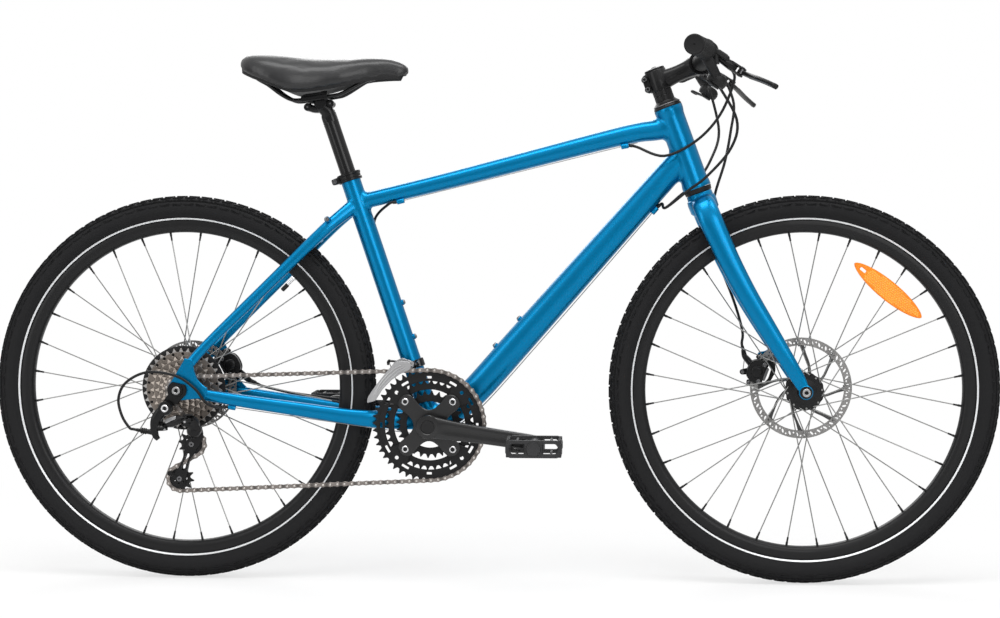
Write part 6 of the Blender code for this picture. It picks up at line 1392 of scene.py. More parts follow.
silver_paint = finish("silver_paint", (0.4, 0.4, 0.405), 0.35, metallic=0.7, coat=0.05, variation=0.15,
    scale=1600, depth=0.05)
piece("bolted_hanger", hanger(), "frame", [satin_black], ["derailleur_hanger"])
piece("upper_knuckle", derailleur_mount(), "frame", [satin_black, bright_metal, black_anodised],
    ["rear_derailleur_mount"])
piece("cover_link", derailleur_link(), "derailleur_link", [satin_black, silver_paint],
    ["derailleur_link"])
piece("lower_knuckle", derailleur_knuckle(), "derailleur_knuckle", [satin_black],
    ["derailleur_knuckle"])
piece("pulley_cage", derailleur_cage(), "derailleur_cage", [satin_black, bolt_steel, black_anodised],
    ["derailleur_cage"])
piece("guide_pulley_wheel", pulley(GUIDE_PULLEY, 2), "guide_pulley", [black_nylon],
    ["guide_pulley"])
piece("tension_pulley_wheel", pulley(TENSION_PULLEY, 1), "tension_pulley", [black_nylon],
    ["tension_pulley"])


# Front derailleur: a black band clamps the seat tube and holds a pivot bar, on which a pressed steel cage
# swings. Its outer plate is bright and ribbed, and a wire arm reaches back for the cable.

BAND_HEIGHT = 108
SWING_PIVOT = on_seat_tube(BAND_HEIGHT, -2, -40)
SWING_ALONG = -SEAT_BACK


@shaped
def front_clamp(bm):
    band = [(17.7, -7), (20.6, -7), (21.2, -6.2), (21.2, 6.2), (20.6, 7), (17.7, 7)]
    lathe(bm, band, on_seat_tube(BAND_HEIGHT), SEAT_UP, 48)
    peg(bm, SWING_PIVOT, SWING_ALONG, -15, 15, 2.9, 14, 1, 0.5)
    for sign in (1, -1):
        end = SWING_PIVOT + SWING_ALONG * sign * 12
        points = [end - LEFT * 4, end + LEFT * 8, end + LEFT * 25]
        smooth_tube(bm, points, [(3.6, 2.1), (5, 2.1), (6.5, 2.1)], 4, 18, 4, SEAT_UP)
    spot = on_seat_tube(BAND_HEIGHT, 2, 21)
    tube(bm, [spot - LEFT * 2, spot + LEFT * 9], [(5, 5.5), (4.4, 5)], 20, 4, SEAT_UP)
    rod(bm, spot + at(7, 0, 5), spot + at(-7, 0, 5), 2.6, 12, 1, 0.4)


@shaped
def front_cage(bm):
    outer = [(-160.8, 395), (-139.7, 392.5), (-137.5, 385), (-140, 378.8), (-155.8, 371.9), (-173.1, 360.1),
        (-188, 344.6), (-200.6, 324), (-216.1, 320.1), (-213.9, 330.6), (-203, 347), (-192.5, 360.6),
        (-178.4, 378.2), (-170, 388)]
    plate(bm, rounded(outer, 3.5, 3), 1.7, side_view(y=-61), (), 0.5, 0)
    for lift in (0, 4.6, 9):
        rib = smooth([at(-146 - lift * 0.6, 383 + lift * 0.6, -62.1),
            at(-164 - lift * 0.7, 371 + lift * 0.8, -62.1), at(-184 - lift * 0.6, 352 + lift * 0.7, -62.1),
            at(-203 - lift * 0.2, 329 + lift * 0.3, -62.1)], 5)
        hose(bm, rib, [0.3] + [1.1] * (len(rib) - 2) + [0.3], 8, 0)
    inner = [(-154, 399), (-133, 391), (-136.2, 380.6), (-153.4, 373.6), (-172.6, 361), (-189.8, 343),
        (-199.4, 328), (-206, 331), (-196, 352), (-178, 379), (-166, 394)]
    plate(bm, rounded(inner, 4, 3), 1.6, side_view(y=-48.5), (), 0.4, 0)
    for x, z, way in ((-147, 390, 10), (-208, 325.5, 32)):
        tube(bm, [at(x, z, -61), at(x, z, -48.5)], [(6, 0.9)] * 2, 16, 5, polar(way - 14, 1).normalized())
    sleeve = [(3.1, -8.4), (6, -8.4), (6.4, -7.6), (6.4, 7.6), (6, 8.4), (3.1, 8.4)]
    lathe(bm, sleeve, SWING_PIVOT, SWING_ALONG, 24, 1)
    arm = [SWING_PIVOT - LEFT * 3, SWING_PIVOT + at(-3, -1, -6), at(-152, 386, -48.5)]
    smooth_tube(bm, arm, [(6.5, 2.2), (6.5, 2.2), (6, 2.2)], 4, 18, 4, SWING_ALONG)
    lift = SWING_ALONG.cross(LEFT)
    hook = [SWING_PIVOT + lift * 4, SWING_PIVOT + lift * 11 - SWING_ALONG * 13, at(-181, 391, -20),
        at(-183, 384, -20)]
    smooth_tube(bm, hook, [(2.8, 2)] * 4, 5, 12, 2.6, look=1)
    rod(bm, at(-181, 391, -23), at(-181, 391, -15.5), 3.2, 6, 1, 0.4)


piece("derailleur_band", front_clamp(), "frame", [satin_black, bolt_steel],
    ["front_derailleur_clamp"])
piece("pressed_cage", front_cage(), "front_derailleur", [silver_paint, satin_black],
    ["front_derailleur_cage"])


# Fork: straight-bladed aluminium fork in the frame's blue, with a stepped crown, raked legs that thin towards
# round ends, and a tab for the caliper inside the left leg. The steerer runs up through the head tube.

LEG_RUN = ((376, -1, 4, 11, 17), (372, -1, 14, 12.5, 19), (364, 0, 32, 13.4, 20.4), (340, 1, 44, 12.8, 20.8),
    (300, 4, 46.8, 12.3, 19.8), (250, 8.5, 48.5, 12, 18.8), (190, 17, 50, 11, 17.6),
    (124, 29.7, 51, 9.5, 16.2), (60, 43, 53, 7, 13.6), (22, 50.5, 53.8, 3.6, 11.6))
FORK_END_Y = 53.8


@shaped
def fork(bm):
    crown = [(0, 350), (20, 350), (25.4, 357), (26, 372), (25.2, 378), (23.2, 379.5), (22.8, 386),
        (22, 387.6), (0, 387.6)]
    lathe(bm, crown, STEER_FOOT, STEER_UP, 56)
    rod(bm, on_steering(380), on_steering(612), 14.2, 32, 1)
    skin_line = ((348, 25), (357, 25.4), (386, 26))
    host = surface_of([oval(on_steering(h), LEFT, STEER_FORWARD, r, r, 48) for h, r in skin_line])
    for side in (1, -1):
        rows = curve_through(LEG_RUN, 7)
        points = [on_steering(h, f, side * y) for h, f, y, *_ in rows]
        loops = tube_loops(points, [(w, d) for *_, w, d in rows], 44, 2.35)
        skin(bm, loops)
        weld(bm, loops[::-1], points[::-1], [host], 5)
        eye = [(5.2, -3.6), (11.2, -3.6), (12.3, -2.6), (12.3, 2.6), (11.2, 3.6), (5.2, 3.6)]
        lathe(bm, eye, FRONT_AXLE + LEFT * side * FORK_END_Y, LEFT, 40)
        root = on_steering(32, 48.5, side * FORK_END_Y)
        way = FRONT_AXLE + LEFT * side * FORK_END_Y - root
        tube(bm, [root, root + way * 0.45, root + way * 0.8], [(3.4, 11.6), (3.3, 11.2), (3.1, 9)], 24, 3.4)
    tab = [(54, 40), (60, 18), (70, 3), (80, 1), (85, 7), (82, 16), (84, 26), (98, 27), (110, 20), (119, 20),
        (124, 26), (122, 34)]
    plate(bm, rounded(tab, 4, 4), 5, axes(STEER_FOOT + LEFT * 54.3, STEER_UP, STEER_FORWARD), (), 0.7)


piece("painted_fork", fork(), "steering", [blue_lacquer, bolt_steel], ["fork"], sharp=40)


# Headset: pressed black cups with a rubber lip, a flared dust cover with a polished ring, and plain spacers
# that show a thin joint between them.

@shaped
def headset(bm):
    rings = (((14.6, 547.4), (18, 547.4), (24.6, 547.4), (25, 548.4), (24, 551.5), (22.6, 553), (14.6, 553)),
        ((14.6, 388), (22.6, 388), (23.6, 389), (24.6, 395), (24.6, 396.6), (14.6, 396.6)),
        ((14.6, 386.9), (20.8, 386.9), (20.8, 388.6), (14.6, 388.6)))
    for ring in rings:
        lathe(bm, ring, STEER_FOOT, STEER_UP, 48)


@shaped
def spacers(bm):
    cover = [(14.6, 553.3), (23.4, 553.3), (23.6, 554.4), (20.4, 557.2), (18, 559.8), (17.6, 560.4),
        (14.6, 560.4)]
    lathe(bm, cover, STEER_FOOT, STEER_UP, 48)
    polished = ((20.6, 556.8), (23.7, 554.2), (24, 553.6), (24, 553), (20.6, 553))
    lathe(bm, polished, STEER_FOOT, STEER_UP, 48, 1)
    for low, high in ((560.6, 570), (570.4, 579.6)):
        ring = [(14.6, low), (16.5, low), (17, low + 0.5), (17, high - 0.5), (16.5, high), (14.6, high)]
        lathe(bm, ring, STEER_FOOT, STEER_UP, 48)


piece("headset_bearings", headset(), "frame", [black_anodised],
    ["headset_upper_cup", "headset_lower_cup"])
piece("cover_and_spacers", spacers(), "steering", [black_anodised, bolt_steel],
    ["headset_spacers"])


# Stem: forged and painted satin black, with a slit steerer clamp drawn up by two bolts behind and a four-bolt
# plate that closes on the bar. A domed cap and its bolt sit on top.

STEM_AIM = polar(23.8, 1)
STEM_ROOT = on_steering(595.12)
BAR_CENTRE = STEM_ROOT + STEM_AIM * 80
STEM_NORMAL = LEFT.cross(STEM_AIM) * -1


@shaped
def stem(bm):
    clamp = [(14.5, 580.2), (18.2, 580.2), (19, 581.2), (19, 614.8), (18.2, 616), (14.5, 616)]
    lathe(bm, clamp, STEER_FOOT, STEER_UP, 48)
    for side in (1, -1):
        ear = [on_steering(598, -12, side * 5.4), on_steering(598, -22, side * 5.4),
            on_steering(598, -26, side * 5.4)]
        tube(bm, ear, [(4.4, 16.6), (4.4, 16), (3.4, 13)], 28, 4)
    for height in (589, 607):
        spot = on_steering(height, -22.5)
        peg(bm, spot, LEFT, 8, -12, 5.2, 24, 0, 0.8)
        pivot_bolt(bm, spot - LEFT * 11.9, -LEFT, 4, 1, 0)
        peg(bm, spot, LEFT, 8, 12, 4.6, 6, 1, 0.5)
    rows = curve_through([(4, 15, 16.5), (14, 15.6, 16.6), (32, 14.6, 14.8), (50, 15, 15), (62, 18.5, 17),
        (70, 20.5, 18.5)], 5)
    tube(bm, [STEM_ROOT + STEM_AIM * s for s, *_ in rows], [(w, t) for _, w, t in rows], 44, 2.5)
    half_clamp(bm, 1)


def half_clamp(bm, sense):
    """One half of the bar's clamp, from its joint round the side that faces along the sense."""
    along = STEM_AIM * -sense
    centre = BAR_CENTRE + along * 0.5
    section = ((16.1, -20.4), (16.1, 20.4), (20.1, 20.9), (21.1, 19.8), (21.1, -19.8), (20.1, -20.9))
    loops = []
    for i in range(25):
        turn = math.pi / 2 - math.pi * i / 24
        out = along * math.cos(turn) + STEM_NORMAL * math.sin(turn)
        loops.append([centre + out * r + LEFT * y for r, y in section])
    skin(bm, loops)


@shaped
def faceplate(bm):
    half_clamp(bm, -1)
    for y in (15, -15):
        for sign in (1, -1):
            lug = BAR_CENTRE + STEM_AIM * 0.5 + STEM_NORMAL * sign * 20.1 + LEFT * y
            rod(bm, lug, lug + STEM_AIM * 9, 3.7, 20, 0, 0.8)
            socket_bolt(bm, lug + STEM_AIM * 8.6, STEM_AIM, 3.3, 2.2, 2.8, 1)
    for sign in (1, -1):
        bar = BAR_CENTRE + STEM_AIM * 5 + STEM_NORMAL * sign * 20.4
        tube(bm, [bar - LEFT * 15, bar + LEFT * 15], [(4.2, 3)] * 2, 16, 3, STEM_AIM)


@shaped
def stem_cap(bm):
    cap = [(0, 606), (9, 606), (9, 616.4), (17.6, 616.4), (18.2, 617.2), (17.4, 619.4), (14, 620.4),
        (5, 620.6), (0, 620.6)]
    lathe(bm, cap, STEER_FOOT, STEER_UP, 44)
    socket_bolt(bm, on_steering(620), STEER_UP, 4.4, 2.6, 4, 1)


piece("forged_stem", stem(), "steering", [satin_black, bolt_steel], ["stem"])
piece("bar_faceplate", faceplate(), "steering", [satin_black, bolt_steel], ["stem_faceplate"])
piece("top_cap", stem_cap(), "steering", [satin_black, bolt_steel], ["stem_cap"])


# Handlebar and grips: a swept aluminium bar, thick at the clamp, with moulded rubber grips. Fine ribs and a
# raised panel run along each grip, and its closed end is a round cap with a dimple.

BAR_HALF = 310
GRIP_LENGTH = 125
BAR_RUN = ((0, 0, 0), (26, 0, 0), (50, 2, 1.5), (85, 8, 6), (120, 11, 8.5), (150, 7, 8.8), (BAR_HALF, -24, 5))


def bar_point(y):
    reach = abs(y)
    for (y0, x0, z0), (y1, x1, z1) in zip(BAR_RUN, BAR_RUN[1:]):
        share = (reach - y0) / (y1 - y0)
        if share <= 1:
            break
    return BAR_CENTRE + at(x0 + (x1 - x0) * share, z0 + (z1 - z0) * share, y)


@shaped
def handlebar(bm):
    sizes = {0: 15.9, 26: 15.9, 50: 14.1, 85: 11.3}
    rows = curve_through([(x, z, y, sizes.get(y, 11.1)) for y, x, z in BAR_RUN[:-1]], 6)
    rows.append((*[BAR_RUN[-1][k] for k in (1, 2, 0)], 11.1))
    half = [(BAR_CENTRE + at(x, z, y), r) for x, z, y, r in rows]
    other = [(BAR_CENTRE + at(x, z, -y), r) for x, z, y, r in reversed(rows[1:])]
    hose(bm, [p for p, _ in other + half], [min(r, 15.9) for _, r in other + half], 32)


@shaped
def grip(bm, side):
    start = bar_point(side * (BAR_HALF + 2 - GRIP_LENGTH))
    outside = bar_point(side * BAR_HALF) + LEFT * side * 2
    along = (outside - start).normalized()
    whole = (outside - start).length - 0.6
    profile = [(11.3, 0), (17.2, 0), (17.7, 0.6), (17.7, 3.4), (17.2, 4.4), (15.8, 5.6)]
    for k in range(34):
        at_h = 7 + (whole - 18) * k / 34
        profile += [(16.1, at_h), (16.6, at_h + 0.8), (16.6, at_h + 1.9), (16.1, at_h + 2.7)]
    profile += [(16, whole - 10), (17, whole - 8.4), (17, whole - 2), (16.2, whole - 0.8), (15, whole),
        (13.6, whole - 0.5), (12.6, whole - 0.9), (2, whole - 0.7), (1.4, whole - 1.4), (0, whole - 1.5)]
    lathe(bm, profile + [(0, whole - 4)], start, along, 48)
    for turn in range(12):
        angle = TURN * turn / 12
        side_way = along.orthogonal().normalized()
        out = side_way * math.cos(angle) + along.cross(side_way) * math.sin(angle)
        for k in range(11):
            foot = start + along * (14 + k * 8.6 + (turn % 2) * 4.3) + out * 16.1
            tube(bm, [foot, foot + along * 5], [(2.4, 0.8)] * 2, 8, 3, along.cross(out))


grip_rubber = finish("grip_rubber", (0.010, 0.010, 0.0104), 0.68, variation=0.3, scale=1100, depth=0.5)
bar_black = finish("bar_black", (0.006, 0.006, 0.0063), 0.55, variation=0.1, scale=1200, depth=0.05,
    gloss=0.12)
piece("swept_bar", handlebar(), "steering", [bar_black], ["handlebar"])
for side, name in HANDS:
    piece(f"{name}_grip_sleeve", grip(side), "steering", [grip_rubber], [f"grip_{name}"])


# Brake levers: a forged perch clamps the bar beside each grip and carries a barrel adjuster on its inner
# side. A cast blade with a hollowed back turns on the pin between the perch's ears.

LEVER_SLOPE = 33
LEVER_OUT = polar(-LEVER_SLOPE, 1)
LEVER_NORMAL = polar(90 - LEVER_SLOPE, 1)
PERCH_Y = 150
PIVOT_REACH = 64
PIVOT_Y = 144
BLADE_RUN = ((-5, 0, 5), (3, 2, 6.5), (14, 20, 5.6), (33, 66, 6), (48, 93, 6.6), (57, 104, 6), (61, 109, 3))


def lever_point(side, reach, y, lift=0.0):
    return bar_point(side * PERCH_Y) + LEVER_OUT * reach + LEFT * side * (y - PERCH_Y) + LEVER_NORMAL * lift


def bar_ring(bm, y, half, outer):
    """A clamp band round the bar."""
    along = (bar_point(y * 1.04) - bar_point(y * 0.96)).normalized()
    ring = [(10.9, -half), (outer - 0.8, -half), (outer, 0.8 - half), (outer, half - 0.8),
        (outer - 0.8, half), (10.9, half)]
    lathe(bm, ring, bar_point(y), along, 40)


@shaped
def brake_perch(bm, side):
    bar_ring(bm, side * PERCH_Y, 6.5, 16)
    stations = [(6, 150, 6, 6), (16, 149, 6.2, 7), (30, 145.5, 7, 9), (42, 143.4, 7.8, 9.2),
        (49, 142.4, 7.8, 8.4), (53, 142.4, 6.4, 7), (55.8, 142.4, 4.6, 5.4)]
    rows = curve_through(stations, 4)
    points = [lever_point(side, reach, y) for reach, y, *_ in rows]
    tube(bm, points, [(t, w) for *_, t, w in rows], 32, 3, LEVER_NORMAL)
    for sign in (1, -1):
        place = axes(lever_point(side, 0, PIVOT_Y, sign * 6), LEVER_OUT, LEFT * side)
        ear = [(42, -7.4), *arc((PIVOT_REACH, 0), 7, -90, 90, 12), (42, 7.4)]
        plate(bm, ear, 3.4, place, (), 0.5)
    pin = lever_point(side, PIVOT_REACH, PIVOT_Y)
    socket_bolt(bm, pin + LEVER_NORMAL * 7.2, LEVER_NORMAL, 3.6, 1.6, 2.4, 1)
    peg(bm, pin, LEVER_NORMAL, -7.2, -8.6, 3.2, 6, 1)
    root, tip = lever_point(side, 47, 139), lever_point(side, 47, 116)
    way = (tip - root).normalized()
    barrel = [(0, 0), (5.6, 0), (5.6, 3.6), (4.4, 4), (4.4, 5.4), (6.4, 5.8), (6.4, 9.2), (4.8, 9.8),
        (4.8, 14), (5.6, 14.6), (5.6, 18.6), (4.4, 20.4), (3.4, 23), (0, 23)]
    lathe(bm, barrel, root, way, 28)
    for k in range(14):
        angle = TURN * k / 14
        out = LEVER_OUT * math.cos(angle) + LEVER_NORMAL * math.sin(angle)
        rod(bm, root + way * 6 + out * 6.2, root + way * 9 + out * 6.2, 0.7, 6)
    bolt = bar_point(side * PERCH_Y) + LEVER_OUT * 4 - LEVER_NORMAL * 15.5
    peg(bm, bolt, LEVER_OUT, -6, 6, 4.2, 20, 0, 0.8)
    socket_bolt(bm, bolt - LEVER_OUT * 5.6, -LEVER_OUT, 3.4, 2, 2.6, 1)
    screw = lever_point(side, 34, 153.4, 2)
    rod(bm, screw, screw + LEFT * side * 2.4, 1.9, 10, 1, 0.4)


@shaped
def brake_lever(bm, side):
    rows = curve_through(BLADE_RUN, 7)
    points = [lever_point(side, PIVOT_REACH + ahead, PIVOT_Y + away) for ahead, away, _ in rows]
    last = len(rows) - 1
    sizes = []
    for i, (*_, width) in enumerate(rows):
        share = i / last
        thick = 3.9 if share < 0.8 else 3.9 + 0.5 * math.sin(math.pi * min((share - 0.8) / 0.18, 1))
        sizes.append((thick * (1 if share < 0.97 else 0.75), width))
    tube(bm, points, sizes, 28, 3.2, LEVER_NORMAL)
    rim = [p + LEVER_OUT * 3.6 + LEFT * side * 1.2 for p in points[14:-6]]
    tube(bm, rim, [(4.3, 1.5)] * len(rim), 14, 3, LEVER_NORMAL)
    peg(bm, lever_point(side, PIVOT_REACH, PIVOT_Y), LEVER_NORMAL, -4, 4, 5.2, 28, 0, 0.5)
    peg(bm, lever_point(side, PIVOT_REACH + 1, PIVOT_Y + 9), LEVER_NORMAL, -4.2, 4.2, 2.4, 14, 1)


for side, name in HANDS:
    piece(f"{name}_lever_perch", brake_perch(side), "steering", [satin_black, bolt_steel],
        [f"brake_perch_{name}"])
    piece(f"{name}_brake_blade", brake_lever(side), f"brake_lever_{name}", [satin_black, bolt_steel],
        [f"brake_lever_{name}"])


# Gear shifters: moulded nylon pods hung below the bar on a band, each with a ribbed domed cover, a smoked
# window above and a thumb lever. The cable leaves through a ribbed barrel on the inner side.

def shifter_centre(side):
    return bar_point(side * 172) + LEVER_OUT * 42 - LEVER_NORMAL * 30 - LEFT * side * 24


def shifter_spigot(side):
    return shifter_centre(side) - LEFT * side * 28


@shaped
def shifter(bm, side):
    bar_ring(bm, side * 169, 4.5, 15.2)
    centre = shifter_centre(side)
    pod = [(0, 10.4), (5, 10.2), (6, 9.6), (7, 10), (12.4, 8.4), (13, 7.6), (14, 7.6), (16.4, 5), (17.8, 1),
        (18, 0), (17.4, -5), (16, -9), (0, -9)]
    lathe(bm, pod, centre, LEVER_NORMAL, 48)
    for k in range(16):
        angle = TURN * k / 16
        out = LEVER_OUT * math.cos(angle) + LEFT * math.sin(angle)
        rod(bm, centre + out * 8 + LEVER_NORMAL * 9.6, centre + out * 12 + LEVER_NORMAL * 8.6, 0.5, 6)
    neck = smooth([bar_point(side * 169) + LEVER_OUT * 3 - LEVER_NORMAL * 9,
        bar_point(side * 168) + LEVER_OUT * 16 - LEVER_NORMAL * 16, centre + LEVER_NORMAL * 1], 5)
    tube(bm, neck, curve_through([(4.4, 9), (7.6, 9), (13, 8)], 5), 28, 3.4, LEFT)
    window = bar_point(side * 162) + LEVER_OUT * 24 + LEVER_NORMAL * 6
    plate(bm, rounded([(-14, -9), (12, -7), (15, 0), (12, 7), (-14, 9)], 4, 4), 9,
        axes(window, LEVER_OUT, LEFT * side), (), 2)
    plate(bm, rounded([(-9, -5.6), (9, -4.6), (9, 4.6), (-9, 5.6)], 2.4, 4), 2.2,
        axes(window + LEVER_NORMAL * 4.4, LEVER_OUT, LEFT * side), (), 0.8, 2)
    tube(bm, [window - LEVER_OUT * 12, window - LEVER_NORMAL * 18], [(7, 4), (8, 6)], 20, 3)
    way = -LEFT * side
    barrel = [(0, 0), (6, 0), (6, 3), (4.6, 4), (4.6, 8), (5.4, 8.6), (5.4, 13), (4, 14), (3.4, 16), (0, 16)]
    lathe(bm, barrel, centre - LEFT * side * 12, way, 24)
    bolt = bar_point(side * 169) + LEVER_OUT * 3 - LEVER_NORMAL * 14.6
    peg(bm, bolt, LEVER_OUT, -6, 5, 3.8, 18, 0, 0.7)
    socket_bolt(bm, bolt - LEVER_OUT * 5.6, -LEVER_OUT, 3, 1.8, 2.4, 1)
    peg(bm, centre, LEVER_NORMAL, -8, -13.4, 2.9, 16, 1, 0.5)


@shaped
def shift_lever(bm, side):
    centre = shifter_centre(side) - LEVER_NORMAL * 9.3
    ring = [(3.1, -4), (9.6, -4), (10, -3.6), (10, -0.4), (9.6, 0), (3.1, 0)]
    lathe(bm, ring, centre, LEVER_NORMAL, 32)
    run = ((5, 2.5, 2), (13, 9, 2.2), (22, 17, 3), (32, 21.6, 3.6), (39, 24.4, 4))
    points = [centre + LEFT * side * out - LEVER_OUT * back - LEVER_NORMAL * down for out, back, down in run]
    smooth_tube(bm, points, [(1.8, 4), (1.9, 4.4), (2.1, 5), (2.6, 6.6), (2, 5)], 5, 22, 3, LEVER_NORMAL)
    for k in range(4):
        rib = centre + LEFT * side * (27 + 3 * k) - LEVER_OUT * (19.5 + 1.3 * k)
        peg(bm, rib - LEVER_NORMAL * (5.6 + 0.1 * k), LEVER_OUT, -4, 4, 0.6, 6)


smoked_window = finish("smoked_window", (0.012, 0.012, 0.013), 0.1, coat=0.6, variation=0.1, scale=300,
    depth=0.0)
for side, name in HANDS:
    piece(f"{name}_shifter_pod", shifter(side), "steering", [black_nylon, bolt_steel, smoked_window],
        [f"shifter_{name}"])
    piece(f"{name}_thumb_lever", shift_lever(side), f"shift_lever_{name}", [black_nylon],
        [f"shift_lever_{name}"])


# Disc brakes: cable calipers in black-painted alloy, cast in two halves round the disc. Each sits on the tab
# by two bolts with dished washers, and its outer face carries the cable's arm on a post.

FRONT_CALIPER = at(470, 372)
REAR_CALIPER = at(-478, 379)
FRONT_TAB_Y = 54.3
REAR_TAB_Y = 64.6
ARM_FACE = 3.1
FERRULE_LIFT = 4
FRONT_FERRULE = (at(450, 397), at(447.5, 408))
REAR_FERRULE = (at(-448, 347), at(-437, 342.5))


@shaped
def caliper(bm, centre, wheel_centre, disc_y, disc_radius, tab_y, ferrule):
    out = (centre - wheel_centre).normalized()
    along = LEFT.cross(out)
    reach = (centre - wheel_centre).length
    outline = rounded([(21.5, -16.5), (21.5, 4), (15, 14), (6, 16.8), (-6, 16.8), (-15, 14), (-21.5, 4),
        (-21.5, -16.5), (-8, -14), (8, -14)], 5, 4)
    outer_y = tab_y - 2.8
    for low, high in ((disc_y - 13, disc_y - 2.3), (disc_y + 2.3, outer_y)):
        plate(bm, outline, high - low, axes(centre + LEFT * (low + high) / 2, along, out), (), 1.4)
    rim = disc_radius + 3.2 - reach
    bridge = rounded([(-16, rim), (16, rim), (14, 13.6), (5, 16.2), (-5, 16.2), (-14, 13.6)], 2, 3)
    plate(bm, bridge, 9, axes(centre + LEFT * disc_y, along, out), (), 0.4)
    for sign in (1, -1):
        pad = rounded([(-12, -19.5), (12, -19.5), (13, 2), (-13, 2)], 2.5, 3)
        plate(bm, pad, 1.4, axes(centre + LEFT * (disc_y + sign * 3), along, out), (), 0.2, 1)
        spot = centre + along * sign * 15.5 - out * 8
        rod(bm, spot + LEFT * (disc_y - 14.4), spot + LEFT * (disc_y - 13), 3.8, 20, 1, 0.4)
        socket_bolt(bm, spot + LEFT * (disc_y - 14.2), -LEFT, 3, 1.8, 2.6, 1)
    dial = [(0, 0), (9, 0), (10, 1), (10, 3), (8.6, 4), (5, 4.4), (0, 4.4)]
    lathe(bm, dial, centre + LEFT * (disc_y - 12.8), -LEFT, 32)
    drum = [(0, outer_y - 3), (12, outer_y - 3), (12, tab_y + 1.4), (11, tab_y + 2.7), (0, tab_y + 2.7)]
    lathe(bm, drum, centre, LEFT, 40)
    face = tab_y + ARM_FACE
    rod(bm, centre + LEFT * (outer_y - 2), centre + LEFT * (face + 5.8), 3.9, 16, 1, 0.6)
    low, high = [end + LEFT * (face + FERRULE_LIFT) for end in ferrule]
    root = centre + (ferrule[0] - centre) * 0.45 + LEFT * (outer_y - 4)
    spots = smooth([root, root.lerp(low, 0.6), low, high], 5)
    hose(bm, spots, [r for (r,) in curve_through([(6,), (5.8,), (5,), (4,)], 5)], 20)


@shaped
def brake_arm(bm, centre, tab_y, aim):
    along = aim.normalized()
    middle = centre + LEFT * (tab_y + ARM_FACE + 2)
    outline = [*arc((0, 0), 9.5, 62, 298, 20), (14, -6), *arc((24, 0), 5, -70, 70, 10), (14, 6)]
    plate(bm, outline, 3.8, axes(middle, along, LEFT.cross(along)),
        [circle((0, 0), 4.1, 20), circle((24, 0), 1.9, 12)], 0.6)
    rib = [middle + LEFT * 2 + along * s for s in (8, 14, 19.5)]
    tube(bm, rib, [(3, 1.2), (2.4, 1.3), (1.6, 0.8)], 14, 3, LEFT.cross(along))
    clamp = middle + along * 24
    peg(bm, clamp, LEFT, -3.4, 3.6, 3.4, 6, 1, 0.4)


@shaped
def adaptor(bm, centre, wheel_centre, tab_y, turned):
    """The dark bracket between tab and caliper, bowed round a long window."""
    out = (centre - wheel_centre).normalized()
    along = LEFT.cross(out) * turned
    outline = rounded([(-27, -20), (-31, -8), (-29, 8), (-21, 10), (-19, 4), (19, 4), (22, 10), (30, 7),
        (31, -10), (24, -27), (10, -33), (-8, -31)], 5, 5)
    window = rounded([(-17, -20), (-15, -10), (12, -10), (18, -16), (12, -24), (-6, -25)], 3.5, 4)
    plate(bm, outline, 3, axes(centre + LEFT * (tab_y - 4.2), along, out), [window[::-1]], 0.6)
    for x, y in ((-25, 2), (25, 1)):
        spot = centre + along * x + out * y + LEFT * (tab_y - 5.7)
        lathe(bm, ((0, 0), (5.4, 0), (5.4, 0.8), (4, 1.8), (0, 1.8)), spot, -LEFT, 24, 1)
        socket_bolt(bm, spot - LEFT * 1.8, -LEFT, 3.8, 2.6, 3.2, 1)


BRAKES = (
    ("front", FRONT_CALIPER, FRONT_AXLE, 39, 90, FRONT_TAB_Y, FRONT_FERRULE, "steering", (-0.99, -0.14), 1),
    ("rear", REAR_CALIPER, REAR_AXLE, 52, 80, REAR_TAB_Y, REAR_FERRULE, "frame", (-0.24, -0.97), -1),
)
for name, centre, axle_point, disc_y, disc_radius, tab_y, ferrule, body, aim, turned in BRAKES:
    piece(f"{name}_disc_caliper", caliper(centre, axle_point, disc_y, disc_radius, tab_y, ferrule), body,
        [satin_black, bolt_steel], [f"{name}_brake_caliper"])
    piece(f"{name}_adaptor", adaptor(centre, axle_point, tab_y, turned), body, [satin_black, bolt_steel],
        None)
    piece(f"{name}_cable_arm", brake_arm(centre, tab_y, at(*aim)), f"{name}_brake_arm",
        [satin_black, bolt_steel], [f"{name}_brake_arm"])


# Seat post: drawn tube with a forged head, pressed collar below with two ridges and a bolt behind. The
# clamp's block rocks on the head and grips both rails.

SEAT_HEAD = at(-303, 847)
POST_REACH = 589.2
RAIL_MIDDLE = at(-312, 855)
RAIL_SLOPE = 7.4
RAIL_ALONG = polar(RAIL_SLOPE, 1)
RAIL_UP = polar(90 + RAIL_SLOPE, 1)


def on_rails(along, up, y=0.0):
    return RAIL_MIDDLE + RAIL_ALONG * along + RAIL_UP * up + LEFT * y


@shaped
def seat_collar(bm):
    profile = [(17.9, 452), (20.6, 452), (21.4, 452.8), (21.4, 456), (20.3, 457), (20.3, 462), (21.4, 463),
        (21.4, 466.2), (20.6, 467), (17.9, 467)]
    lathe(bm, profile, BOTTOM_BRACKET, SEAT_UP, 56)
    for sign in (1, -1):
        ear = [on_seat_tube(459.5, back, sign * 5.1) for back in (17, 26, 31, 32)]
        tube(bm, ear, [(4.2, 5.6), (4.2, 5.6), (4.1, 5), (3.4, 3.6)], 20, 4)
    spot = on_seat_tube(459.5, 26.5)
    pivot_bolt(bm, spot - LEFT * 9, -LEFT, 4.2, 1, 1)
    peg(bm, spot, LEFT, -9, 11.6, 3.2, 16, 1, 0.5)


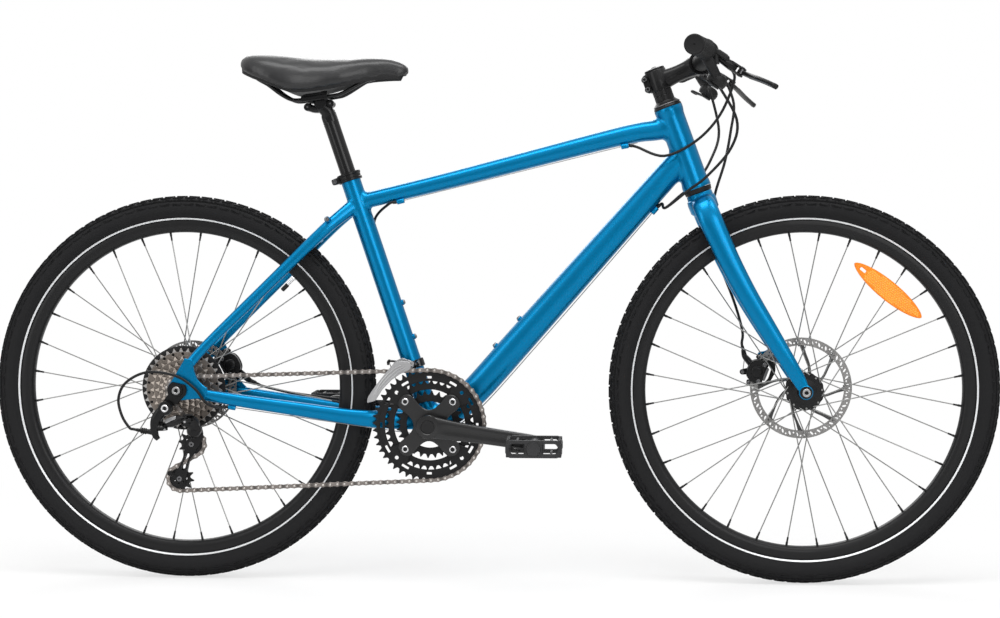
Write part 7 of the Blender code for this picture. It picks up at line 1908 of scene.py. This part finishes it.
@shaped
def seatpost(bm):
    rod(bm, on_seat_tube(227), on_seat_tube(POST_REACH - 22), 13.6, 48, 0, 1)
    for height in (POST_REACH - 31, POST_REACH - 27):
        ring = [(13, height - 0.9), (14, height - 0.7), (14, height + 0.7), (13, height + 0.9)]
        lathe(bm, ring, BOTTOM_BRACKET, SEAT_UP, 48)
    neck = [on_seat_tube(POST_REACH - 28), on_seat_tube(POST_REACH - 18), on_seat_tube(POST_REACH - 8),
        SEAT_HEAD - UP * 5, SEAT_HEAD - UP * 1]
    smooth_tube(bm, neck, [(13.4, 13.4), (13.8, 13.6), (15, 12.4), (16, 10.2), (16, 9)], 5, 40, 2.8)
    peg(bm, SEAT_HEAD, LEFT, -17, 17, 11, 40, 0, 1.2)
    ear = [SEAT_HEAD + at(x, z) for x, z in ((2, -7), (-6, -10), (-14, -9.6), (-21, -7.4), (-25, -6.6))]
    smooth_tube(bm, ear, [(13, 7), (12, 7), (11.4, 6.8), (11.4, 6.4), (9, 5)], 4, 28, 3)
    rod(bm, at(-326, 840, -13.2), at(-326, 840, 13.2), 6.8, 32, 0, 1.2)
    socket_bolt(bm, at(-326, 840, -13.2), -LEFT, 4.4, 1, 3.2, 0, 1)
    boss = at(-286, 846)
    peg(bm, boss, LEFT, -13, 13, 6.8, 28, 0, 1)
    socket_bolt(bm, at(-285.6, 846, -12.8), -LEFT, 4.6, 1.6, 3.2, 0, 1)


@shaped
def saddle_clamp(bm):
    bed = (7.9, -9.1)
    lower = [(-21, 2.4), (-22, -1), (-18, -4), (-10, -6.6), (-3.2, -8), *arc(bed, 11.3, 174, 12, 16),
        (23, -6), (24, -4), (24, 2.4)]
    place = axes(RAIL_MIDDLE, RAIL_ALONG, RAIL_UP)
    plate(bm, lower, 56, place, (), 0.8)
    upper = rounded([(-22, 3), (24, 3), (24, 6), (17, 8.8), (-14, 8.8), (-22, 6.4)], 1.6, 3)
    plate(bm, upper, 58, place, (), 0.8)
    for sign in (1, -1):
        rib = [on_rails(s, 0.4, sign * 28.4) for s in (-22.6, 24.2)]
        tube(bm, rib, [(1.4, 4.6)] * 2, 18, 5)
    socket_bolt(bm, on_rails(15, 8.4), RAIL_UP, 6, 3.6, 4.6, 0, 1)
    rod(bm, on_rails(-13, -6), on_rails(-13, -17), 3, 12, 1)


post_black = finish("post_black", (0.006, 0.006, 0.0065), 0.22, coat=0.15, variation=0.1, scale=600,
    depth=0.03)
piece("seat_collar", seat_collar(), "frame", [satin_black, bolt_steel], ["seat_clamp"])
piece("drawn_post", seatpost(), "seatpost", [post_black, bolt_steel], ["seatpost"])
piece("rail_clamp", saddle_clamp(), "saddle", [post_black, bolt_steel], ["saddle_clamp"])


# Saddle: bent steel rails spring into sockets in a black moulded shell. Foam and a smooth vinyl cover are
# bonded over the shell and pulled round its edge, so that the cover swells between the tail, the wings and
# the nose.

RAIL_RUN = ((-420, 895.4, 40), (-406, 886, 36), (-392, 878, 32), (-371, 862, 25), (-352, 852.5, 22),
    (-335, 852.1, 22), (-307, 855.7, 22), (-280, 859.2, 22), (-262, 864, 21), (-230, 882.5, 14),
    (-214, 890.4, 7), (-210, 892.7, 0))
SADDLE_RUN = ((-445.5, 12, 909, 914, 917), (-443, 26, 905, 912, 922), (-436, 50, 899, 908, 929),
    (-420, 70, 891, 903, 933), (-385, 82, 878, 893, 931), (-345, 80, 864, 884, 925.5),
    (-300, 62, 868, 886, 921), (-262, 40, 876, 893, 922.5), (-220, 27, 885.5, 899, 926.5),
    (-185, 22.5, 888.4, 900.5, 925.8), (-163, 20, 888.8, 899.5, 920.6), (-152, 16.5, 889.4, 899, 915),
    (-147.2, 11, 891, 899, 909.5))


@shaped
def saddle_rails(bm):
    half = curve_through(RAIL_RUN, 5)
    points = [at(x, z, y) for x, z, y in half] + [at(x, z, -y) for x, z, y in reversed(half[:-1])]
    hose(bm, points, 3.5, 18)


def saddle_loops(rows, section, shrink=0.0):
    """Cross loops of the saddle from half a section: shares of the half width, heights from named levels."""
    loops = []
    for x, half, low, crease, crown in rows:
        levels = dict(low=low + shrink, crease=crease, crown=crown - shrink)
        reach, rise = max(half - shrink, 1), crown - shrink - crease
        right = [(share * reach, levels[name] + lift + blend * rise) for share, name, lift, blend in section]
        profile = curve_through(right, 3)
        loops.append([at(x, z, -y) for y, z in profile] + [at(x, z, y) for y, z in reversed(profile[1:-1])])
    return loops


COVER_SECTION = ((0, "low", 12, 0), (0.55, "low", 9, 0), (0.88, "low", 1.2, 0), (0.97, "low", 2.6, 0),
    (1, "crease", 0, 0), (0.9, "crease", 0, 0.66), (0.55, "crown", -1.5, 0), (0, "crown", 0, 0))
SHELL_SECTION = ((0, "low", 8, 0), (0.55, "low", 5.4, 0), (0.82, "low", -1, 0), (0.9, "low", 0.4, 0),
    (0.88, "crease", -2, 0), (0.6, "crease", 0, 0), (0.3, "crease", 1, 0), (0, "crease", 2, 0))
VOXEL = 0.0045
SWELL = 0.004
SWELL_FRAMES = 20


def cover(name, bm):
    """Foam under a stretched cover: remeshed, blown up against its held underside, and smoothed."""
    mesh = bpy.data.meshes.new(name)
    bmesh.ops.scale(bm, vec=(MM, MM, MM), verts=bm.verts)
    bmesh.ops.recalc_face_normals(bm, faces=bm.faces)
    bm.to_mesh(mesh)
    pad = bpy.data.objects.new(name, mesh)
    bpy.context.scene.collection.objects.link(pad)
    remesh = pad.modifiers.new("skin", "REMESH")
    remesh.mode = "VOXEL"
    remesh.voxel_size = VOXEL
    applied(pad)
    rest = [v.co.copy() for v in pad.data.vertices]
    held = pad.vertex_groups.new(name="held")
    for v in pad.data.vertices:
        if v.normal.z < -0.35:
            held.add([v.index], 1.0, "REPLACE")
    cloth = pad.modifiers.new("cloth", "CLOTH")
    cloth.settings.quality = 6
    cloth.settings.use_pressure = True
    cloth.settings.uniform_pressure_force = 4
    cloth.settings.effector_weights.gravity = 0
    cloth.settings.vertex_group_mass = "held"
    cloth.point_cache.frame_start = 1
    cloth.point_cache.frame_end = SWELL_FRAMES
    for number in range(1, SWELL_FRAMES + 1):
        bpy.context.scene.frame_set(number)
    applied(pad)
    bpy.context.scene.frame_set(1)
    for v, before in zip(pad.data.vertices, rest):
        move = v.co - before
        if move.length > SWELL:
            v.co = before + move.normalized() * SWELL
    soften = pad.modifiers.new("soften", "SMOOTH")
    soften.factor = 0.5
    soften.iterations = 6
    pad.modifiers.new("rounded", "SUBSURF").levels = 1
    applied(pad)
    for polygon in pad.data.polygons:
        polygon.use_smooth = True
    return pad


def applied(item):
    """Turns an object's modifiers into its mesh."""
    bpy.context.view_layer.update()
    graph = bpy.context.evaluated_depsgraph_get()
    mesh = bpy.data.meshes.new_from_object(item.evaluated_get(graph), depsgraph=graph)
    item.modifiers.clear()
    item.data = mesh


@shaped
def saddle_shell(bm):
    rows = [row for row in curve_through(SADDLE_RUN, 4) if -437 < row[0] < -160]
    tail, nose = rows[0], rows[-1]
    rows = [(tail[0] - 3, tail[1] * 0.7, tail[2] + 7, *tail[3:]), *rows,
        (nose[0] + 5, nose[1] * 0.6, nose[2] + 7, *nose[3:])]
    skin(bm, saddle_loops(rows, SHELL_SECTION))
    for side in (1, -1):
        tube(bm, [at(-428, 900, side * 41), at(-416, 895, side * 39), at(-404, 889, side * 36)],
            [(7, 6), (7.4, 7), (6, 5)], 20, 3)
    tube(bm, [at(-222, 892), at(-210, 892.6), at(-202, 894)], [(11, 6), (11.5, 6.4), (8, 4)], 22, 3)


bm = bmesh.new()
skin(bm, saddle_loops(curve_through(SADDLE_RUN, 5), COVER_SECTION, 0.8))
saddle_vinyl = finish("saddle_vinyl", (0.012, 0.012, 0.0128), 0.34, coat=0.08, variation=0.2, scale=1500,
    depth=0.22, gloss=0.42)
saddle_pad = cover("saddle_pad", bm)
saddle_pad.data.materials.append(saddle_vinyl)
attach(saddle_pad, "saddle")
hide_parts("saddle")
piece("saddle_shell", saddle_shell(), "saddle", [black_nylon], None)
piece("bent_rails", saddle_rails(), "saddle", [post_black], ["saddle_rails"])


# Control cables: plastic-covered housing with crimped end caps, and bare stranded wire between the frame's
# stops. The front brake's housing turns with the steering, and the other stretches from the handlebar stay
# fixed.

HOUSING = 2.45
WIRE = 0.8
front_top, front_way = under_tube(TOP_TUBE, 231, 30, 4.1)[:2]
rear_top, rear_way = under_tube(TOP_TUBE, -165, 30, 4.1)[:2]
last_stop, last_way = under_tube(CHAINSTAY, -452, 0, 3.1, -1)[:2]
front_side = LEFT * (FRONT_TAB_Y + ARM_FACE + FERRULE_LIFT)
front_end = FRONT_FERRULE[1] + front_side
front_pull = (FRONT_FERRULE[1] - FRONT_FERRULE[0]).normalized()
rear_side = LEFT * (REAR_TAB_Y + ARM_FACE + FERRULE_LIFT)
rear_end = REAR_FERRULE[1] + rear_side
rear_pull = (REAR_FERRULE[1] - REAR_FERRULE[0]).normalized()


def lever_barrel(side):
    return lever_point(side, 47, 116)


def run(name, points, body="frame", replaced=None, bare=False, bend=None):
    """One stretch of cable through its points: housing with end caps, or bare wire."""
    bm = bmesh.new()
    line = smooth(points, 7)
    hose(bm, line, WIRE if bare else HOUSING, 8 if bare else 14)
    if not bare:
        for end, inward in ((points[0], (line[2] - line[0]).normalized()),
                (points[-1], (line[-3] - line[-1]).normalized())):
            cap = [(0, 0), (2.7, 0), (3, 0.4), (3, 6.6), (2.5, 7.2), (0, 7.2)]
            lathe(bm, cap, end, inward, 18, 1)
    looks = [wire_strand] if bare else [cable_cover, satin_black]
    if bend is None:
        return piece(name, bm, body, looks, replaced)
    item = piece(name, bm, None, looks, replaced)
    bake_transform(item)
    return item


cable_cover = finish("cable_cover", (0.008, 0.008, 0.0085), 0.36, coat=0.05, variation=0.12, scale=800,
    depth=0.08)
wire_strand = finish("wire_strand", (0.33, 0.33, 0.33), 0.34, metallic=1.0, variation=0.3, scale=2600,
    depth=0.3)

run("rear_brake_lead", [lever_barrel(-1) + LEFT * 0.3, lever_barrel(-1) + LEFT * 14, at(420, 878, -84),
    at(398, 822, -50), at(358, 778, -38), at(303, 752, -31), front_top + front_way * 21 - UP * 5,
    front_top + front_way * 7], None, ["rear_brake_cable"],
    bend=(at(400, 822, -50), front_top + front_way * 16))
run("rear_brake_wire", [front_top + front_way * 5, front_top - front_way * 9, rear_top + rear_way * 9,
    rear_top - rear_way * 5], bare=True)
run("rear_brake_tail", [rear_top - rear_way * 7, rear_top - rear_way * 22, at(-212, 640, 24),
    at(-207, 590, 25), at(-180, 500, 24), at(-148, 400, 24), at(-140, 345, 27), at(-155, 315, 34),
    at(-200, 313, 48), at(-270, 315, 54), at(-360, 325, 60), at(-400, 332, 67), rear_end + rear_pull * 12,
    rear_end + rear_pull * 0.3])
front_brake = [lever_barrel(1) - LEFT * 0.3, lever_barrel(1) - LEFT * 14, at(430, 850, 92), at(424, 800, 76),
    at(413, 745, 60), at(396, 690, 50), at(388, 640, 60), at(388, 605, 68), at(402, 568, 71),
    at(431, 495, 71), at(446, 442, 66), front_end + front_pull * 12, front_end + front_pull * 0.3]
run("front_brake_housing", front_brake, "steering", ["front_brake_cable"])
run("front_arm_wire", [front_end, FRONT_FERRULE[0] + front_side, at(446.2, 364, 61)], "steering", bare=True)
run("rear_arm_wire", [rear_end, REAR_FERRULE[0] + rear_side, at(-488, 356.7, 71.2)], bare=True)

SHIFT_RUNS = {
    # side, housing from the shifter to the down tube, bare wire from below the shell
    "rear": (-1,
        (at(424, 812, -92), at(416, 764, -72), at(376, 716, -48), at(342, 690, -38), at(306, 662, -20)),
        (at(-92, 258.5, -8), at(-122, 259, -11), last_stop + last_way * 9, last_stop - last_way * 5)),
    "front": (1,
        (at(404, 800, 96), at(388, 748, 66), at(362, 708, 48), at(334, 685, 36), at(306, 662, 20)),
        (at(-90, 258.5, 6), at(-112, 257, 3), at(-133, 266, -3), at(-150, 306, -9), at(-181, 388.5, -20))),
}
for name, (side, lead, foot) in SHIFT_RUNS.items():
    stop, way = under_tube(DOWN_TUBE, 268, -side * 15, 3.1)[:2]
    first = shifter_spigot(side) - LEFT * side * 0.3
    run(f"{name}_shift_lead", [first, first - LEFT * side * 12, *lead, stop + way * 20 - UP * 3,
        stop + way * 7], None, [f"{name}_shift_cable"], bend=(lead[0], stop + way * 14))
    under = [under_tube(DOWN_TUBE, x, -side * 15, 4)[0] for x in (160, 66, -30, -75)]
    run(f"{name}_shift_wire", [stop + way * 5, stop - way * 9, *under, *foot], bare=True)
run("derailleur_loop", [last_stop - last_way * 7, at(-480, 312, -72), at(-498, 322, -80), at(-516, 346, -83),
    at(-550, 368, -82), at(-600, 374, -81), at(-638, 356, -80), at(-652, 328, -80), at(-646, 298, -82),
    at(-632, 277, -85), BARREL + at(-12, 2.1), BARREL + at(-0.4, 0.07)])


@shaped
def cable_guide(bm):
    """The moulded plate under the shell that both shift wires run over."""
    line = [at(-126, 262.4), at(-116, 260), at(-100, 259.6), at(-88, 262.6)]
    smooth_tube(bm, line, [(14, 1.3)] * 4, 4, 24, 4)


piece("cable_guide", cable_guide(), "frame", [black_nylon], None)


# A pale floor and white surroundings, lit by soft boxes above and at the sides, seen from the photograph's
# camera.

FLOOR_HALF = 6.0
SHADOW_REACH = (0.75, 1.7)
SHADOW_SHARE = 0.66
FLOOR_SHEEN = 0.4
ROOM_LIGHT = 0.55
SHEEN_HEIGHT = (-0.15, 0.75)
SHEEN_RANGE = (0.32, 1.2)


def ramp(tree, socket, given, wanted):
    """A smooth change of a value from one range to another."""
    made = tree.nodes.new("ShaderNodeMapRange")
    made.interpolation_type = "SMOOTHSTEP"
    for label, value in zip(("From Min", "From Max", "To Min", "To Max"), (*given, *wanted)):
        made.inputs[label].default_value = value
    tree.links.new(socket, made.inputs["Value"])
    return made.outputs["Result"]


def mixed(tree, share, one, other):
    """Two shaders mixed by a share."""
    made = tree.nodes.new("ShaderNodeMixShader")
    for socket, feed in zip(made.inputs, (share, one, other)):
        tree.links.new(feed, socket)
    return made.outputs[0]


def glow(tree, kind, strength):
    """A white shader of the given kind and strength."""
    made = tree.nodes.new(kind)
    made.inputs["Color"].default_value = (1, 1, 1, 1)
    made.inputs["Strength"].default_value = strength
    return made


floor_mesh = bpy.data.meshes.new("floor")
floor_mesh.from_pydata([(x * FLOOR_HALF, y * FLOOR_HALF, 0) for x, y in ((-1, -1), (1, -1), (1, 1), (-1, 1))],
    [], [(0, 1, 2, 3)])
floor = bpy.data.objects.new("floor", floor_mesh)
bpy.context.scene.collection.objects.link(floor)
pale = bpy.data.materials.new("pale_floor")
pale.use_nodes = True
tree = pale.node_tree
diffuse = tree.nodes["Principled BSDF"]
diffuse.inputs["Base Color"].default_value = (0.92, 0.92, 0.92, 1)
diffuse.inputs["Roughness"].default_value = 0.9
diffuse.inputs["Specular IOR Level"].default_value = 0.1
rays = tree.nodes.new("ShaderNodeLightPath").outputs
away = tree.nodes.new("ShaderNodeVectorMath")
away.operation = "LENGTH"
tree.links.new(tree.nodes.new("ShaderNodeNewGeometry").outputs["Position"], away.inputs[0])
whitened = ramp(tree, away.outputs["Value"], SHADOW_REACH, (SHADOW_SHARE, 1))
mirrored = worked_out(tree, "MULTIPLY", rays["Is Glossy Ray"], FLOOR_SHEEN)
seen = worked_out(tree, "MAXIMUM", rays["Is Camera Ray"], mirrored)
seen = worked_out(tree, "MAXIMUM", seen, rays["Is Transmission Ray"])
white = glow(tree, "ShaderNodeEmission", 1)
surface = mixed(tree, worked_out(tree, "MULTIPLY", seen, whitened), diffuse.outputs[0], white.outputs[0])
tree.links.new(surface, tree.nodes["Material Output"].inputs["Surface"])
floor_mesh.materials.append(pale)

world = bpy.data.worlds.new("white_room")
bpy.context.scene.world = world
world.use_nodes = True
tree = world.node_tree
room = glow(tree, "ShaderNodeBackground", ROOM_LIGHT)
backdrop = glow(tree, "ShaderNodeBackground", 1)
sheen = glow(tree, "ShaderNodeBackground", 1)
split = tree.nodes.new("ShaderNodeSeparateXYZ")
tree.links.new(tree.nodes.new("ShaderNodeTexCoord").outputs["Generated"], split.inputs[0])
tree.links.new(ramp(tree, split.outputs["Z"], SHEEN_HEIGHT, SHEEN_RANGE), sheen.inputs["Strength"])
rays = tree.nodes.new("ShaderNodeLightPath").outputs
reflected = mixed(tree, rays["Is Glossy Ray"], room.outputs[0], sheen.outputs[0])
seen = worked_out(tree, "MAXIMUM", rays["Is Camera Ray"], rays["Is Transmission Ray"])
surface = mixed(tree, seen, reflected, backdrop.outputs[0])
tree.links.new(surface, tree.nodes["World Output"].inputs["Surface"])


def softbox(name, place, target, size, power):
    """A rectangular lamp aimed at a point."""
    lamp = bpy.data.lights.new(name, "AREA")
    lamp.shape = "RECTANGLE"
    lamp.size, lamp.size_y = size
    lamp.energy = power
    holder = bpy.data.objects.new(name, lamp)
    holder.location = place
    holder.rotation_euler = (Vector(target) - Vector(place)).to_track_quat("-Z", "Y").to_euler()
    bpy.context.scene.collection.objects.link(holder)


softbox("overhead_box", (0.2, -1.0, 3.2), (0, 0, 0.45), (3.4, 1.2), 62)
softbox("front_box", (1.6, -3.4, 1.6), (0.1, 0, 0.45), (1.8, 1.8), 32)
softbox("rear_box", (-2.4, -2.2, 1.2), (-0.1, 0, 0.4), (1.2, 2.0), 18)
softbox("far_box", (-0.6, 3.0, 2.2), (0, 0, 0.5), (2.4, 1.6), 36)

CAMERA_PLACE = (0.2204, -3.3805, 0.6393)
CAMERA_TURN = (math.radians(87.356), 0, math.radians(3.488))
CAMERA_LENS = 68.84
camera = bpy.data.cameras.new("camera")
camera.lens = CAMERA_LENS
camera.sensor_width = 36
camera.sensor_fit = "HORIZONTAL"
viewer = bpy.data.objects.new("camera", camera)
viewer.location = CAMERA_PLACE
viewer.rotation_euler = CAMERA_TURN
bpy.context.scene.collection.objects.link(viewer)
bpy.context.scene.camera = viewer
bpy.context.scene.view_settings.view_transform = "Standard"
